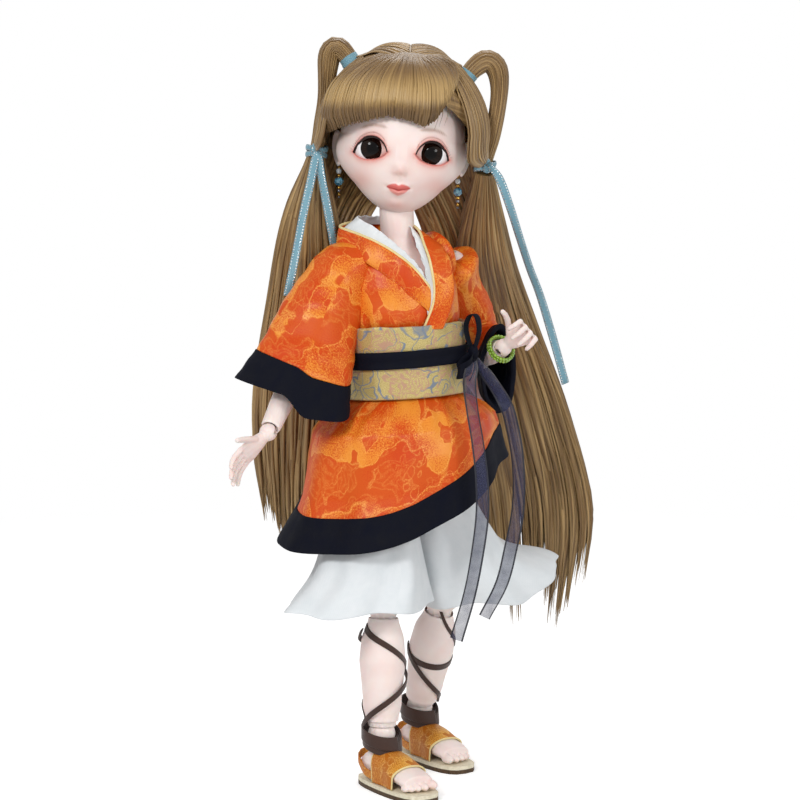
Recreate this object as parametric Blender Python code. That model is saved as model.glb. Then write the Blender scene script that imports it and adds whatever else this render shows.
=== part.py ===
"""Ball jointed doll of about 30 cm: strung resin body, wig, crossed jacket, wide trousers, laced sandals.

Metres, +Z up. The doll faces -Y and its right side is -X. The origin is the middle of the right sole.
Run with: blender --background --python part.py
"""
import math

import bmesh
import bpy
from mathutils import Matrix, Vector

# Body, all in metres
THIGH_LENGTH = 0.0610
SHIN_LENGTH = 0.0540
ANKLE_HEIGHT = 0.0215
WAIST_RISE = 0.0330
CHEST_HEIGHT = 0.0390
SHOULDER_SPREAD = 0.0530
NECK_LENGTH = 0.0240
UPPER_ARM_LENGTH = 0.0430
FOREARM_LENGTH = 0.0310
PELVIS_WIDTH = 0.0560
HIP_SPREAD = PELVIS_WIDTH * 29 / 56
PELVIS_DEPTH = 0.0380
CHEST_WIDTH = 0.0430
CHEST_DEPTH = 0.0360
NECK_RADIUS = 0.0070
HIP_BALL_RADIUS = 0.0100
KNEE_BALL_RADIUS = 0.0078
ANKLE_BALL_RADIUS = 0.0056
SHOULDER_BALL_RADIUS = 0.0064
ELBOW_BALL_RADIUS = 0.0050
WRIST_BALL_RADIUS = 0.0036
WAIST_BALL_RADIUS = 0.0150
BODY_WALL = 0.0032
ELASTIC_RADIUS = 0.0009
CORD_BORE_RADIUS = 0.0019
JOINT_CLEARANCE = 0.0003
SEAT_GAP = 0.0003

# Head
HEAD_WIDTH = 0.0500
HEAD_DEPTH = 0.0520
HEAD_HEIGHT = 0.0580
HEAD_WALL = 0.0030
HEAD_LIFT = 0.0290
EYE_RADIUS = 0.0066
EYE_SPREAD = 0.0234
EYE_RISE = -0.0050
EYE_OPENING_WIDTH = 0.0130
EYE_OPENING_HEIGHT = 0.0092
CAP_RISE = 0.0120
WIG_THICKNESS = 0.0022

# Hands and feet
PALM_LENGTH = 0.0125
PALM_WIDTH = 0.0110
PALM_THICKNESS = 0.0050
FINGER_LENGTH = 0.0125
FINGER_RADIUS = 0.00125
FOOT_LENGTH = 0.0400
FOOT_WIDTH = 0.0150
HEEL_REACH = 0.0095
SOLE_LENGTH = 0.0450
SOLE_WIDTH = 0.0215
SOLE_THICKNESS = 0.0032

# Clothes
CLOTH_GAP = 0.0004
CLOTH_THICKNESS = 0.0008
HEM_THICKNESS = 0.0010
OBI_HEIGHT = 0.0290
OBI_THICKNESS = 0.0012
SASH_HEIGHT = 0.0070
SKIRT_LENGTH = 0.0600
SKIRT_BORDER_HEIGHT = 0.0120
RIBBON_WIDTH = 0.0036
STRAP_WIDTH = 0.0026

# Stance: where each ankle stands from the body's middle, and how far the right leg is stretched
RIGHT_ANKLE_OFFSET = Vector((-0.0205, -0.0165, 0))
LEFT_ANKLE_OFFSET = Vector((0.0190, 0.0130, 0))
LEG_STRETCH_SHARE = 0.996
PELVIS_ROLL = math.radians(4.0)
CHEST_WAY = Vector((-0.03, 0.05, 1)).normalized()
HEAD_TURN = math.radians(-35.0)
HEAD_ROLL = math.radians(5.0)

LIMB_SIDES = 12
BODY_SIDES = 16
HEAD_SIDES = 24
CLOTH_SIDES = 20
TURN = 2 * math.pi
UP = Vector((0, 0, 1))
FORWARD = Vector((0, -1, 0))

# Outlines as shares of the length and of the widths they belong to
LIMB_SHARES = {
    # share of the length, share of the widest radius
    "upper_arm": ((0.22, 0.86), (0.45, 0.90), (0.70, 0.92)),
    "forearm": ((0.34, 0.96), (0.52, 0.98), (0.74, 0.86)),
    "thigh": ((0.26, 1.00), (0.46, 0.96), (0.70, 0.84)),
    "shin": ((0.26, 0.80), (0.46, 0.90), (0.74, 0.74)),
}

COLOURS = {
    "resin": ((0.87, 0.74, 0.68), 0.45, 0.0),
    "eye": ((0.05, 0.03, 0.02), 0.08, 0.0),
    "steel": ((0.70, 0.70, 0.72), 0.30, 1.0),
    "elastic": ((0.90, 0.90, 0.88), 0.70, 0.0),
    "hair": ((0.30, 0.19, 0.08), 0.45, 0.0),
    "ribbon": ((0.38, 0.62, 0.72), 0.45, 0.0),
    "orange_satin": ((0.85, 0.27, 0.03), 0.40, 0.0),
    "navy_satin": ((0.01, 0.015, 0.06), 0.50, 0.0),
    "piping": ((0.80, 0.62, 0.36), 0.50, 0.0),
    "brocade": ((0.62, 0.47, 0.20), 0.45, 0.2),
    "white_cloth": ((0.85, 0.85, 0.88), 0.80, 0.0),
    "organza": ((0.03, 0.03, 0.12), 0.60, 0.0),
    "sandal_brocade": ((0.75, 0.33, 0.05), 0.45, 0.1),
    "sole": ((0.82, 0.74, 0.60), 0.60, 0.0),
    "lace": ((0.06, 0.025, 0.015), 0.60, 0.0),
    "bead_green": ((0.20, 0.50, 0.08), 0.20, 0.0),
    "earring": ((0.75, 0.55, 0.22), 0.25, 1.0),
}


def clear_scene():
    for old in list(bpy.data.objects):
        bpy.data.objects.remove(old, do_unlink=True)


def material(slot):
    found = bpy.data.materials.get(slot)
    if found:
        return found
    colour, roughness, metallic = COLOURS[slot]
    made = bpy.data.materials.new(slot)
    made.use_nodes = True
    shader = made.node_tree.nodes["Principled BSDF"]
    shader.inputs["Base Color"].default_value = (*colour, 1)
    shader.inputs["Roughness"].default_value = roughness
    shader.inputs["Metallic"].default_value = metallic
    return made


def angles(sides):
    return [TURN * step / sides for step in range(sides)]


def ring(radius_x, radius_y, height, sides, middle_x=0.0, middle_y=0.0):
    """An ellipse across the local Z axis. It starts at the front and runs towards +X."""
    return [Vector((middle_x + radius_x * math.sin(turn), middle_y - radius_y * math.cos(turn), height))
            for turn in angles(sides)]


def extrude_ring(bm, edges, partner_of, target):
    """Extrudes an open ring of edges to the points of target. Returns the new edges and index of each vert."""
    grown = bmesh.ops.extrude_edge_only(bm, edges=edges)["geom"]
    new_verts = [part for part in grown if isinstance(part, bmesh.types.BMVert)]
    index_of = {}
    for vert in new_verts:
        for edge in vert.link_edges:
            other = edge.other_vert(vert)
            if other in partner_of:
                index_of[vert] = partner_of[other]
    for vert, index in index_of.items():
        vert.co = target[index]
    new_edges = [part for part in grown if isinstance(part, bmesh.types.BMEdge)]
    ring_edges = [edge for edge in new_edges if all(vert in index_of for vert in edge.verts)]
    return ring_edges, index_of


def loft(bm, rings, closed):
    """Skins rings of equal counts. A closed loft meets itself like a tube wall, an open one gets two caps."""
    sides = len(rings[0])
    circle = bmesh.ops.create_circle(bm, cap_ends=False, radius=1.0, segments=sides)["verts"]
    for index, vert in enumerate(circle):
        vert.co = rings[0][index]
    index_of = {vert: index for index, vert in enumerate(circle)}
    first_edges = [edge for edge in bm.edges if all(vert in index_of for vert in edge.verts)]
    edges = first_edges
    verts = dict(index_of)
    for target in rings[1:]:
        edges, index_of = extrude_ring(bm, edges, index_of, target)
        verts.update(index_of)
    if closed:
        edges, index_of = extrude_ring(bm, edges, index_of, rings[0])
        verts.update(index_of)
        bmesh.ops.remove_doubles(bm, verts=list(verts), dist=WELD)
    else:
        bmesh.ops.contextual_create(bm, geom=first_edges)
        bmesh.ops.contextual_create(bm, geom=edges)
    return verts


WELD = 1e-7


def finish_mesh(bm, name, slot, place=None, smooth=True):
    """Makes the node: normals out, one material, its place from the matrix."""
    bmesh.ops.recalc_face_normals(bm, faces=bm.faces)
    mesh = bpy.data.meshes.new(name)
    bm.to_mesh(mesh)
    bm.free()
    if smooth:
        mesh.shade_smooth()
        mesh.set_sharp_from_angle(angle=math.radians(35))
    mesh.materials.append(material(slot))
    node = bpy.data.objects.new(name, mesh)
    bpy.context.scene.collection.objects.link(node)
    if place is not None:
        node.matrix_world = place
    return node


def lofted(name, slot, rings, closed=False, place=None, smooth=True):
    bm = bmesh.new()
    loft(bm, rings, closed)
    return finish_mesh(bm, name, slot, place, smooth)


def shell(name, slot, outer, inner, place=None):
    """A wall between an outer and an inner row of rings that run the same way."""
    return lofted(name, slot, outer + inner[::-1], closed=True, place=place)


def cutter(bm, name, place=None):
    tool = finish_mesh(bm, name, "resin", place, smooth=False)
    tool.hide_render = True
    tool.display_type = "WIRE"
    return tool


def boolean(node, tool, operation="DIFFERENCE"):
    cut = node.modifiers.new(tool.name, "BOOLEAN")
    cut.operation = operation
    cut.solver = "EXACT"
    cut.object = tool
    return cut


def sphere_cutter(name, centre, radius, sides=BODY_SIDES + 1):
    """A ball whose flats, not its corners, lie at the radius."""
    rows = sides // 2
    outside = radius / (math.cos(math.pi / sides) * math.cos(math.pi / rows / 2))
    bm = bmesh.new()
    bmesh.ops.create_uvsphere(bm, u_segments=sides, v_segments=rows, radius=outside)
    bmesh.ops.translate(bm, verts=bm.verts, vec=centre)
    return cutter(bm, name)


def cylinder_cutter(name, start, end, radius, sides=LIMB_SIDES):
    bm = bmesh.new()
    span = end - start
    bmesh.ops.create_cone(bm, cap_ends=True, segments=sides, radius1=radius, radius2=radius, depth=span.length)
    turn = UP.rotation_difference(span).to_matrix().to_4x4()
    bmesh.ops.transform(bm, verts=bm.verts, matrix=Matrix.Translation((start + end) / 2) @ turn)
    return cutter(bm, name)


def box_cutter(name, low, high, place=None):
    bm = bmesh.new()
    bmesh.ops.create_cube(bm, size=1.0)
    span = high - low
    bmesh.ops.scale(bm, verts=bm.verts, vec=span)
    bmesh.ops.translate(bm, verts=bm.verts, vec=(low + high) / 2)
    return cutter(bm, name, place)


def frame_along(point, direction, hinge):
    """A frame whose -Z runs along direction and whose X lies as close as can be to hinge."""
    z_axis = -direction.normalized()
    x_axis = (hinge - hinge.dot(z_axis) * z_axis).normalized()
    y_axis = z_axis.cross(x_axis)
    turn = Matrix((x_axis, y_axis, z_axis)).transposed().to_4x4()
    return Matrix.Translation(point) @ turn


def empty(name, place):
    pivot = bpy.data.objects.new(name, None)
    bpy.context.scene.collection.objects.link(pivot)
    pivot.matrix_world = place
    return pivot


def attach(child, parent):
    """Parents without moving."""
    bpy.context.view_layer.update()
    child.parent = parent
    child.matrix_parent_inverse = parent.matrix_world.inverted()


def cord_tube(name, slot, points, radius):
    """A round cord through the points, with filled ends."""
    curve = bpy.data.curves.new(name, "CURVE")
    curve.dimensions = "3D"
    curve.bevel_depth = radius
    curve.bevel_resolution = 2
    curve.use_fill_caps = True
    spline = curve.splines.new("POLY")
    spline.points.add(len(points) - 1)
    for target, point in zip(spline.points, points):
        target.co = (*point, 1)
    curve.materials.append(material(slot))
    node = bpy.data.objects.new(name, curve)
    bpy.context.scene.collection.objects.link(node)
    return node


def smooth_route(knots, spacing):
    """Points at an even spacing on a smooth curve through the knots."""
    fine = []
    padded = [2 * knots[0] - knots[1]] + list(knots) + [2 * knots[-1] - knots[-2]]
    steps = 24
    for index in range(1, len(padded) - 2):
        before, start, end, after = padded[index - 1:index + 3]
        for step in range(steps):
            share = step / steps
            fine.append(0.5 * (2 * start + (end - before) * share
                               + (2 * before - 5 * start + 4 * end - after) * share ** 2
                               + (3 * start - before - 3 * end + after) * share ** 3))
    fine.append(Vector(knots[-1]))
    length = sum((b - a).length for a, b in zip(fine, fine[1:]))
    count = max(2, round(length / spacing))
    route = [fine[0]]
    walked = 0.0
    for a, b in zip(fine, fine[1:]):
        walked += (b - a).length
        if walked >= length * len(route) / count and len(route) < count:
            route.append(b)
    route.append(fine[-1])
    return route


def swept(name, slot, path, radii, sides, hinge=Vector((1, 0, 0)), place=None, closed_ends=True):
    """A tapering tube along a path. radii holds one (across, deep) pair for each point of the path."""
    rings = swept_rings(path, radii, sides, hinge)
    return lofted(name, slot, rings, closed=not closed_ends, place=place)


def swept_rings(path, radii, sides, hinge=Vector((1, 0, 0))):
    rings = []
    for index, point in enumerate(path):
        before = path[max(index - 1, 0)]
        after = path[min(index + 1, len(path) - 1)]
        frame = frame_along(point, after - before, hinge)
        across, deep = radii[index]
        rings.append([frame @ corner for corner in ring(across, deep, 0.0, sides)])
    return rings


def sheet(name, slot, columns, rows, point_of, thickness, place=None, middle=Vector()):
    """A thin closed solid over a grid of shares, thickened outward: point_of(across, down) gives each corner."""
    bm = bmesh.new()
    made = bmesh.ops.create_grid(bm, x_segments=columns, y_segments=rows, size=0.5)["verts"]
    for vert in made:
        vert.co = point_of(vert.co.x + 0.5, 0.5 - vert.co.y)
    face_away(bm, middle)
    return walled(bm, name, slot, thickness, 1.0, place)


def blend_points(points, share):
    """A point on the straight runs between the points, at a share of their count."""
    place = share * (len(points) - 1)
    index = min(int(place), len(points) - 2)
    return points[index].lerp(points[index + 1], place - index)


def blend_rows(rows, share):
    """A row of numbers between the rows, whose first column is the share each row stands at."""
    if share <= rows[0][0]:
        return rows[0][1:]
    for low, high in zip(rows, rows[1:]):
        if share <= high[0]:
            part = (share - low[0]) / (high[0] - low[0])
            return tuple(a + (b - a) * part for a, b in zip(low[1:], high[1:]))
    return rows[-1][1:]


# Where the joints stand

RIGHT_UPPER_ARM_WAY = Vector((-0.468, 0.102, -0.878)).normalized()
RIGHT_FOREARM_WAY = Vector((-0.62, -0.30, -0.72)).normalized()
RIGHT_HAND_WAY = Vector((-0.78, 0.05, -0.62)).normalized()
LEFT_UPPER_ARM_WAY = Vector((0.40, 0.09, -0.95)).normalized()
LEFT_FOREARM_WAY = Vector((-0.30, -0.93, 0.24)).normalized()
LEFT_HAND_WAY = Vector((0.24, -0.80, 0.55)).normalized()


def chest_frame(at):
    return frame_along(at["waist"], -CHEST_WAY, Vector((1, 0, 0)))


def knee_between(hip, ankle):
    span = ankle - hip
    way = span.normalized()
    along = (THIGH_LENGTH ** 2 - SHIN_LENGTH ** 2 + span.length ** 2) / (2 * span.length)
    out = math.sqrt(max(THIGH_LENGTH ** 2 - along ** 2, 0.0))
    ahead = (FORWARD - FORWARD.dot(way) * way).normalized()
    return hip + along * way + out * ahead


def stand():
    """Every joint's place, worked out from the soles up."""
    at = {}
    sole_behind = HEEL_REACH + (SOLE_LENGTH - FOOT_LENGTH) / 2
    at["ankle_right"] = Vector((0, SOLE_LENGTH / 2 - sole_behind, ANKLE_HEIGHT))
    middle = at["ankle_right"] - RIGHT_ANKLE_OFFSET
    at["ankle_left"] = middle + LEFT_ANKLE_OFFSET
    half = Vector((math.cos(PELVIS_ROLL), 0, -math.sin(PELVIS_ROLL))) * HIP_SPREAD / 2
    lean = middle - half - at["ankle_right"]
    lean.z = 0
    rise = math.sqrt((LEG_STRETCH_SHARE * (THIGH_LENGTH + SHIN_LENGTH)) ** 2 - lean.length_squared)
    at["hip_right"] = at["ankle_right"] + lean + rise * UP
    at["pelvis"] = at["hip_right"] + half
    at["hip_left"] = at["pelvis"] + half
    at["knee_right"] = knee_between(at["hip_right"], at["ankle_right"])
    at["knee_left"] = knee_between(at["hip_left"], at["ankle_left"])
    at["waist"] = at["pelvis"] + Matrix.Rotation(PELVIS_ROLL, 3, "Y") @ (WAIST_RISE * UP)
    chest = chest_frame(at)
    at["shoulders"] = chest @ Vector((0, 0, CHEST_HEIGHT))
    at["neck"] = chest @ Vector((0, 0, CHEST_HEIGHT + NECK_LENGTH))
    ways = {"right": (RIGHT_UPPER_ARM_WAY, RIGHT_FOREARM_WAY, RIGHT_HAND_WAY),
            "left": (LEFT_UPPER_ARM_WAY, LEFT_FOREARM_WAY, LEFT_HAND_WAY)}
    for side, sign in SIDES:
        upper, fore, hand = ways[side]
        at["shoulder_" + side] = chest @ Vector((sign * SHOULDER_SPREAD / 2, 0, CHEST_HEIGHT))
        at["elbow_" + side] = at["shoulder_" + side] + UPPER_ARM_LENGTH * upper
        at["wrist_" + side] = at["elbow_" + side] + FOREARM_LENGTH * fore
        at["hand_way_" + side] = hand
    return at


SIDES = (("right", -1), ("left", 1))


def limb_rings(ball, neck_share, length, widest, shares, end_ball, rim_shares, sides=LIMB_SIDES):
    """Outer and inner rings of a hollow limb: ball at the top, cut-away cup at the lower end, cord bore."""
    cup = (end_ball + JOINT_CLEARANCE) * FLAT_ALLOWANCE
    low_share, high_share = rim_shares
    mouth = math.asin(CORD_BORE_RADIUS / ball)
    neck = math.pi - math.asin(neck_share)
    outer = []
    for step in range(BALL_STEPS + 1):
        turn = mouth + (neck - mouth) * step / BALL_STEPS
        outer.append(ring(ball * math.sin(turn), ball * math.sin(turn), ball * math.cos(turn), sides))
    for along, wide in shares:
        outer.append(ring(widest * wide, widest * wide, -length * along, sides))
    rim_turns = [math.acos(low_share + (high_share - low_share) * max(0.0, -math.cos(turn)) ** 2)
                 for turn in angles(sides)]
    rim_wall = cup + CUP_WALL
    outer.append([Vector((rim_wall * math.sin(low) * math.sin(turn), -rim_wall * math.sin(low) * math.cos(turn),
                          cup * math.cos(low) - length)) for low, turn in zip(rim_turns, angles(sides))])
    top = math.asin(CORD_BORE_RADIUS / cup)
    inner = []
    for step in range(CUP_STEPS + 1):
        part = step / CUP_STEPS
        turns = [low + (top - low) * part for low in rim_turns]
        inner.append([Vector((cup * math.sin(low) * math.sin(turn), -cup * math.sin(low) * math.cos(turn),
                              cup * math.cos(low) - length)) for low, turn in zip(turns, angles(sides))])
    return outer, inner


BALL_STEPS = 6
CUP_STEPS = 3
CUP_WALL = 0.0009
FLAT_ALLOWANCE = 1.035  # a cup of flat sides is made this much wider, so that the ball inside clears the flats


def make_limb(name, ball, neck_share, length, widest, end_ball, rim_shares, place):
    outer, inner = limb_rings(ball, neck_share, length, widest, LIMB_SHARES[name.rsplit("_", 1)[0]], end_ball,
                              rim_shares)
    return lofted(name, "resin", outer + inner, closed=True, place=place)


def make_limbs(at, pivots):
    """Arms and legs of both sides. Each limb hangs from the empty on its joint's axis."""
    nodes = {}
    for side, sign in SIDES:
        rows = (
            ("upper_arm", "shoulder", "elbow", "wrist", SHOULDER_BALL_RADIUS, 0.82, 0.0062, ELBOW_BALL_RADIUS,
             (0.40, 0.93)),
            ("forearm", "elbow", "wrist", None, ELBOW_BALL_RADIUS, 0.52, 0.0050, WRIST_BALL_RADIUS, (0.55, 0.70)),
            ("thigh", "hip", "knee", "ankle", HIP_BALL_RADIUS, 0.90, 0.0108, KNEE_BALL_RADIUS, (0.40, 0.82)),
            ("shin", "knee", "ankle", None, KNEE_BALL_RADIUS, 0.60, 0.0086, ANKLE_BALL_RADIUS, (0.50, 0.60)),
        )
        above = {"upper_arm": at["shoulders"], "thigh": cord_turn(at, side, sign)}
        above_joint = {"forearm": "shoulder", "shin": "hip"}
        for kind, top, low, beyond, ball, neck_share, widest, end_ball, rim_shares in rows:
            start, end = at[top + "_" + side], at[low + "_" + side]
            if beyond:
                hinge = (end - start).cross(at[beyond + "_" + side] - end).normalized()
            way = (end - start).normalized()
            place = frame_along(start, way, hinge)
            pivot = empty(top + "_" + side + "_axis", place)
            pivots[top + "_" + side] = pivot
            limb = make_limb(kind + "_" + side, ball, neck_share, (end - start).length, widest, end_ball,
                             rim_shares, place)
            cord_from = above[kind] if kind in above else at[above_joint[kind] + "_" + side]
            cord_way = (cord_from - start).normalized()
            boolean(limb, cylinder_cutter("cord_way_%s_%s" % (kind, side), start - cord_way * ELASTIC_RADIUS,
                                          start + cord_way * ball * 1.5, CORD_BORE_RADIUS, 9))
            attach(limb, pivot)
            nodes[kind + "_" + side] = limb
        pivots["hand_" + side] = hinge_frame(at, side)
    return nodes


def cord_turn(at, side, sign):
    """Where the leg's elastic leaves the hip ball, inside the lower torso."""
    return at["hip_" + side] + Vector((-sign * HIP_SPREAD / 3, 0, WAIST_RISE * PELVIS_SHARES[3][0] + BODY_WALL * 2))


def hinge_frame(at, side):
    """The wrist's own frame: its X is the axis that the hand bends about."""
    fore = at["wrist_" + side] - at["elbow_" + side]
    hand = at["hand_way_" + side]
    across = hand.cross(fore).normalized()
    return empty("wrist_" + side + "_axis", frame_along(at["wrist_" + side], hand, across))


# Torso

PELVIS_SHARES = (
    # height as a share of the waist's rise, then shares of the pelvis width and depth
    (-0.40, 0.26, 0.42), (-0.30, 0.50, 0.72), (-0.08, 0.86, 0.94), (0.16, 1.00, 1.00), (0.38, 0.92, 0.96),
    (0.54, 0.80, 0.90), (0.62, 0.64, 0.76),
)
CHEST_SHARES = (
    # height as a share of the chest's height above the waist, then shares of the chest width and depth
    (-0.08, 0.93, 0.95), (0.10, 0.94, 0.96), (0.34, 0.96, 1.00), (0.58, 1.00, 1.04), (0.84, 1.00, 0.98),
    (1.03, 0.90, 0.78), (1.14, 0.58, 0.56), (1.22, 0.36, 0.45),
)
WAIST_HOLE_RADIUS = 0.0065
NECK_BORE_RADIUS = 0.0024
CAVITY_SHARE = 0.86


def make_pelvis(at):
    """Lower torso: hollow, with a waist ball on top and two leg sockets that let the doll sit."""
    frame = Matrix.Translation(at["pelvis"]) @ Matrix.Rotation(PELVIS_ROLL, 4, "Y")
    outer = [ring(PELVIS_WIDTH / 2 * wide, PELVIS_DEPTH / 2 * deep, WAIST_RISE * high, BODY_SIDES)
             for high, wide, deep in PELVIS_SHARES]
    low_turn = math.radians(132)
    top_turn = math.asin(WAIST_HOLE_RADIUS / WAIST_BALL_RADIUS)
    turns = [low_turn + (top_turn - low_turn) * step / BALL_STEPS for step in range(BALL_STEPS + 1)]
    for turn in turns:
        outer.append(ring(WAIST_BALL_RADIUS * math.sin(turn), WAIST_BALL_RADIUS * math.sin(turn),
                          WAIST_RISE + WAIST_BALL_RADIUS * math.cos(turn), BODY_SIDES))
    inner_ball = WAIST_BALL_RADIUS - BODY_WALL
    inner = []
    for turn in turns[::-1]:
        inner.append(ring(inner_ball * math.sin(turn), inner_ball * math.sin(turn),
                          WAIST_RISE + inner_ball * math.cos(turn), BODY_SIDES))
    for high, wide, deep in PELVIS_SHARES[4:2:-1]:
        inner.append(ring(PELVIS_WIDTH / 2 * wide - BODY_WALL * 2, PELVIS_DEPTH / 2 * deep - BODY_WALL * 2,
                          WAIST_RISE * high, BODY_SIDES))
    pelvis = lofted("pelvis", "resin", outer + inner, place=frame)
    for side, sign in SIDES:
        hip = at["hip_" + side]
        boolean(pelvis, sphere_cutter("hip_socket_" + side, hip, HIP_BALL_RADIUS + JOINT_CLEARANCE))
        boolean(pelvis, cylinder_cutter("hip_bore_" + side, hip, cord_turn(at, side, sign), CORD_BORE_RADIUS))
        for label, swing, ahead in (("sit", HIP_SWING_FORWARD, 1), ("back", -HIP_SWING_BACK, -1)):
            boolean(pelvis, swing_cutter("hip_" + label + "_clearance_" + side, at, side, sign, swing, ahead))
    return pelvis


HIP_SWING_FORWARD = math.radians(70)
HIP_SWING_BACK = math.radians(12)
SWING_ROOM = 0.0009
CENTRE_WEB = 0.0022


def swing_cutter(name, at, side, sign, swing, ahead):
    """A block beside the thigh at the end of its swing: everything on the thigh's side of it is cut away."""
    hip = at["hip_" + side]
    way = (at["knee_" + side] - hip).normalized()
    thigh_radius = HIP_BALL_RADIUS + SWING_ROOM
    low = Vector((CENTRE_WEB, -PELVIS_WIDTH, -PELVIS_WIDTH))
    high = Vector((PELVIS_WIDTH, thigh_radius, 0))
    if ahead < 0:
        low = Vector((CENTRE_WEB + SEAT_GAP, -thigh_radius, -PELVIS_WIDTH))
        high = Vector((PELVIS_WIDTH, PELVIS_WIDTH, 0))
    tool = box_cutter(name, low, high)
    centre = Vector((at["pelvis"].x, hip.y, hip.z))
    lean = math.atan2(way.y, -way.z)
    mirror = Matrix.Diagonal((sign, 1, 1, 1))
    turn = Matrix.Rotation(lean - swing, 4, "X")
    tool.data.transform(Matrix.Translation(centre) @ turn @ mirror)
    if sign < 0:
        tool.data.flip_normals()
    return tool


def chest_section(share, grow):
    """Half width and half depth of the upper torso at a share of its height, grown outward."""
    wide, deep = blend_rows(CHEST_SHARES, share)
    return CHEST_WIDTH / 2 * wide + grow, CHEST_DEPTH / 2 * deep + grow


def make_chest(at):
    """Upper torso with the neck: a tube with a waist cup below and a ball on the neck."""
    frame = chest_frame(at)
    cup = (WAIST_BALL_RADIUS + JOINT_CLEARANCE) * FLAT_ALLOWANCE
    outer = [ring(*chest_section(share, 0.0), CHEST_HEIGHT * share, BODY_SIDES) for share, _, _ in CHEST_SHARES]
    neck_top = CHEST_HEIGHT + NECK_LENGTH
    outer.append(ring(NECK_RADIUS, NECK_RADIUS, neck_top - NECK_RADIUS * 1.6, BODY_SIDES))
    mouth = math.asin(NECK_BORE_RADIUS / NECK_RADIUS)
    for step in range(CUP_STEPS + 2):
        turn = math.pi / 2 + (mouth - math.pi / 2) * step / (CUP_STEPS + 1)
        outer.append(ring(NECK_RADIUS * math.sin(turn), NECK_RADIUS * math.sin(turn),
                          neck_top + NECK_RADIUS * math.cos(turn), BODY_SIDES))
    inner = [ring(NECK_BORE_RADIUS, NECK_BORE_RADIUS, CHEST_HEIGHT * CHEST_SHARES[-1][0], BODY_SIDES)]
    for share in (CHEST_SHARES[5][0], CHEST_SHARES[3][0]):
        wide, deep = chest_section(share, -BODY_WALL)
        inner.append(ring(wide * CAVITY_SHARE / 2, deep * CAVITY_SHARE, CHEST_HEIGHT * share, BODY_SIDES))
    rim_turn = math.acos(CHEST_HEIGHT * CHEST_SHARES[0][0] / cup)
    top_turn = math.asin(WAIST_CUP_HOLE / cup)
    for step in range(CUP_STEPS + 2):
        turn = top_turn + (rim_turn - top_turn) * step / (CUP_STEPS + 1)
        inner.append(ring(cup * math.sin(turn), cup * math.sin(turn), cup * math.cos(turn), BODY_SIDES))
    chest = lofted("chest", "resin", outer + inner, closed=True, place=frame)
    for side, sign in SIDES:
        shoulder = at["shoulder_" + side]
        boolean(chest, sphere_cutter("shoulder_socket_" + side, shoulder, SHOULDER_BALL_RADIUS + JOINT_CLEARANCE))
        boolean(chest, cylinder_cutter("shoulder_bore_" + side, shoulder, at["shoulders"], CORD_BORE_RADIUS))
    return chest


WAIST_CUP_HOLE = 0.0085


# Head, eyes and wig

HEAD_FLOOR = 0.0028
JAW_SHARE = 0.30
CHEEK_SHARE = 0.05
NOSE_RISE = 0.0022
NOSE_DROP = -0.0095
LIP_RISE = 0.0010
LIP_DROP = -0.0175
SKULL_BACK_SHARE = 0.06


def head_surface(way, grow):
    """A point of the head for a direction from its middle: round skull, full cheeks and a small chin."""
    low = max(0.0, -way.z)
    wide = HEAD_WIDTH / 2 * (1 - JAW_SHARE * low ** 2.2 + CHEEK_SHARE * math.sin(math.pi * min(1.0, low * 1.6)))
    front = 1 - SKULL_BACK_SHARE * way.z if way.y < 0 else 1 - JAW_SHARE * low ** 1.5
    deep = HEAD_DEPTH / 2 * front
    high = HEAD_HEIGHT / 2
    return Vector((way.x * (wide + grow), way.y * (deep + grow), way.z * (high + grow) + HEAD_LIFT))


def face_relief(point):
    """Nose and lips, as a push along -Y on the front of the head."""
    nose = NOSE_RISE * math.exp(-((point.x / NOSE_HALF_WIDTH) ** 2)
                                - ((point.z - HEAD_LIFT - NOSE_DROP) / NOSE_HALF_HEIGHT) ** 2)
    lips = LIP_RISE * math.exp(-((point.x / LIP_HALF_WIDTH) ** 2)
                               - ((point.z - HEAD_LIFT - LIP_DROP) / LIP_HALF_HEIGHT) ** 2)
    return nose + lips


NOSE_HALF_WIDTH = 0.0030
NOSE_HALF_HEIGHT = 0.0034
LIP_HALF_WIDTH = 0.0048
LIP_HALF_HEIGHT = 0.0020
EAR_HEIGHT = 0.0110
EAR_THICKNESS = 0.0034
EAR_DEPTH = 0.0066


def head_solid(name, place):
    bm = bmesh.new()
    made = bmesh.ops.create_uvsphere(bm, u_segments=HEAD_SIDES, v_segments=HEAD_SIDES * 3 // 4, radius=1.0)["verts"]
    for vert in made:
        vert.co = head_surface(vert.co.normalized(), 0.0)
        if vert.co.y < 0:
            vert.co.y -= face_relief(vert.co)
    return finish_mesh(bm, name, "resin", place)


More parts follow.
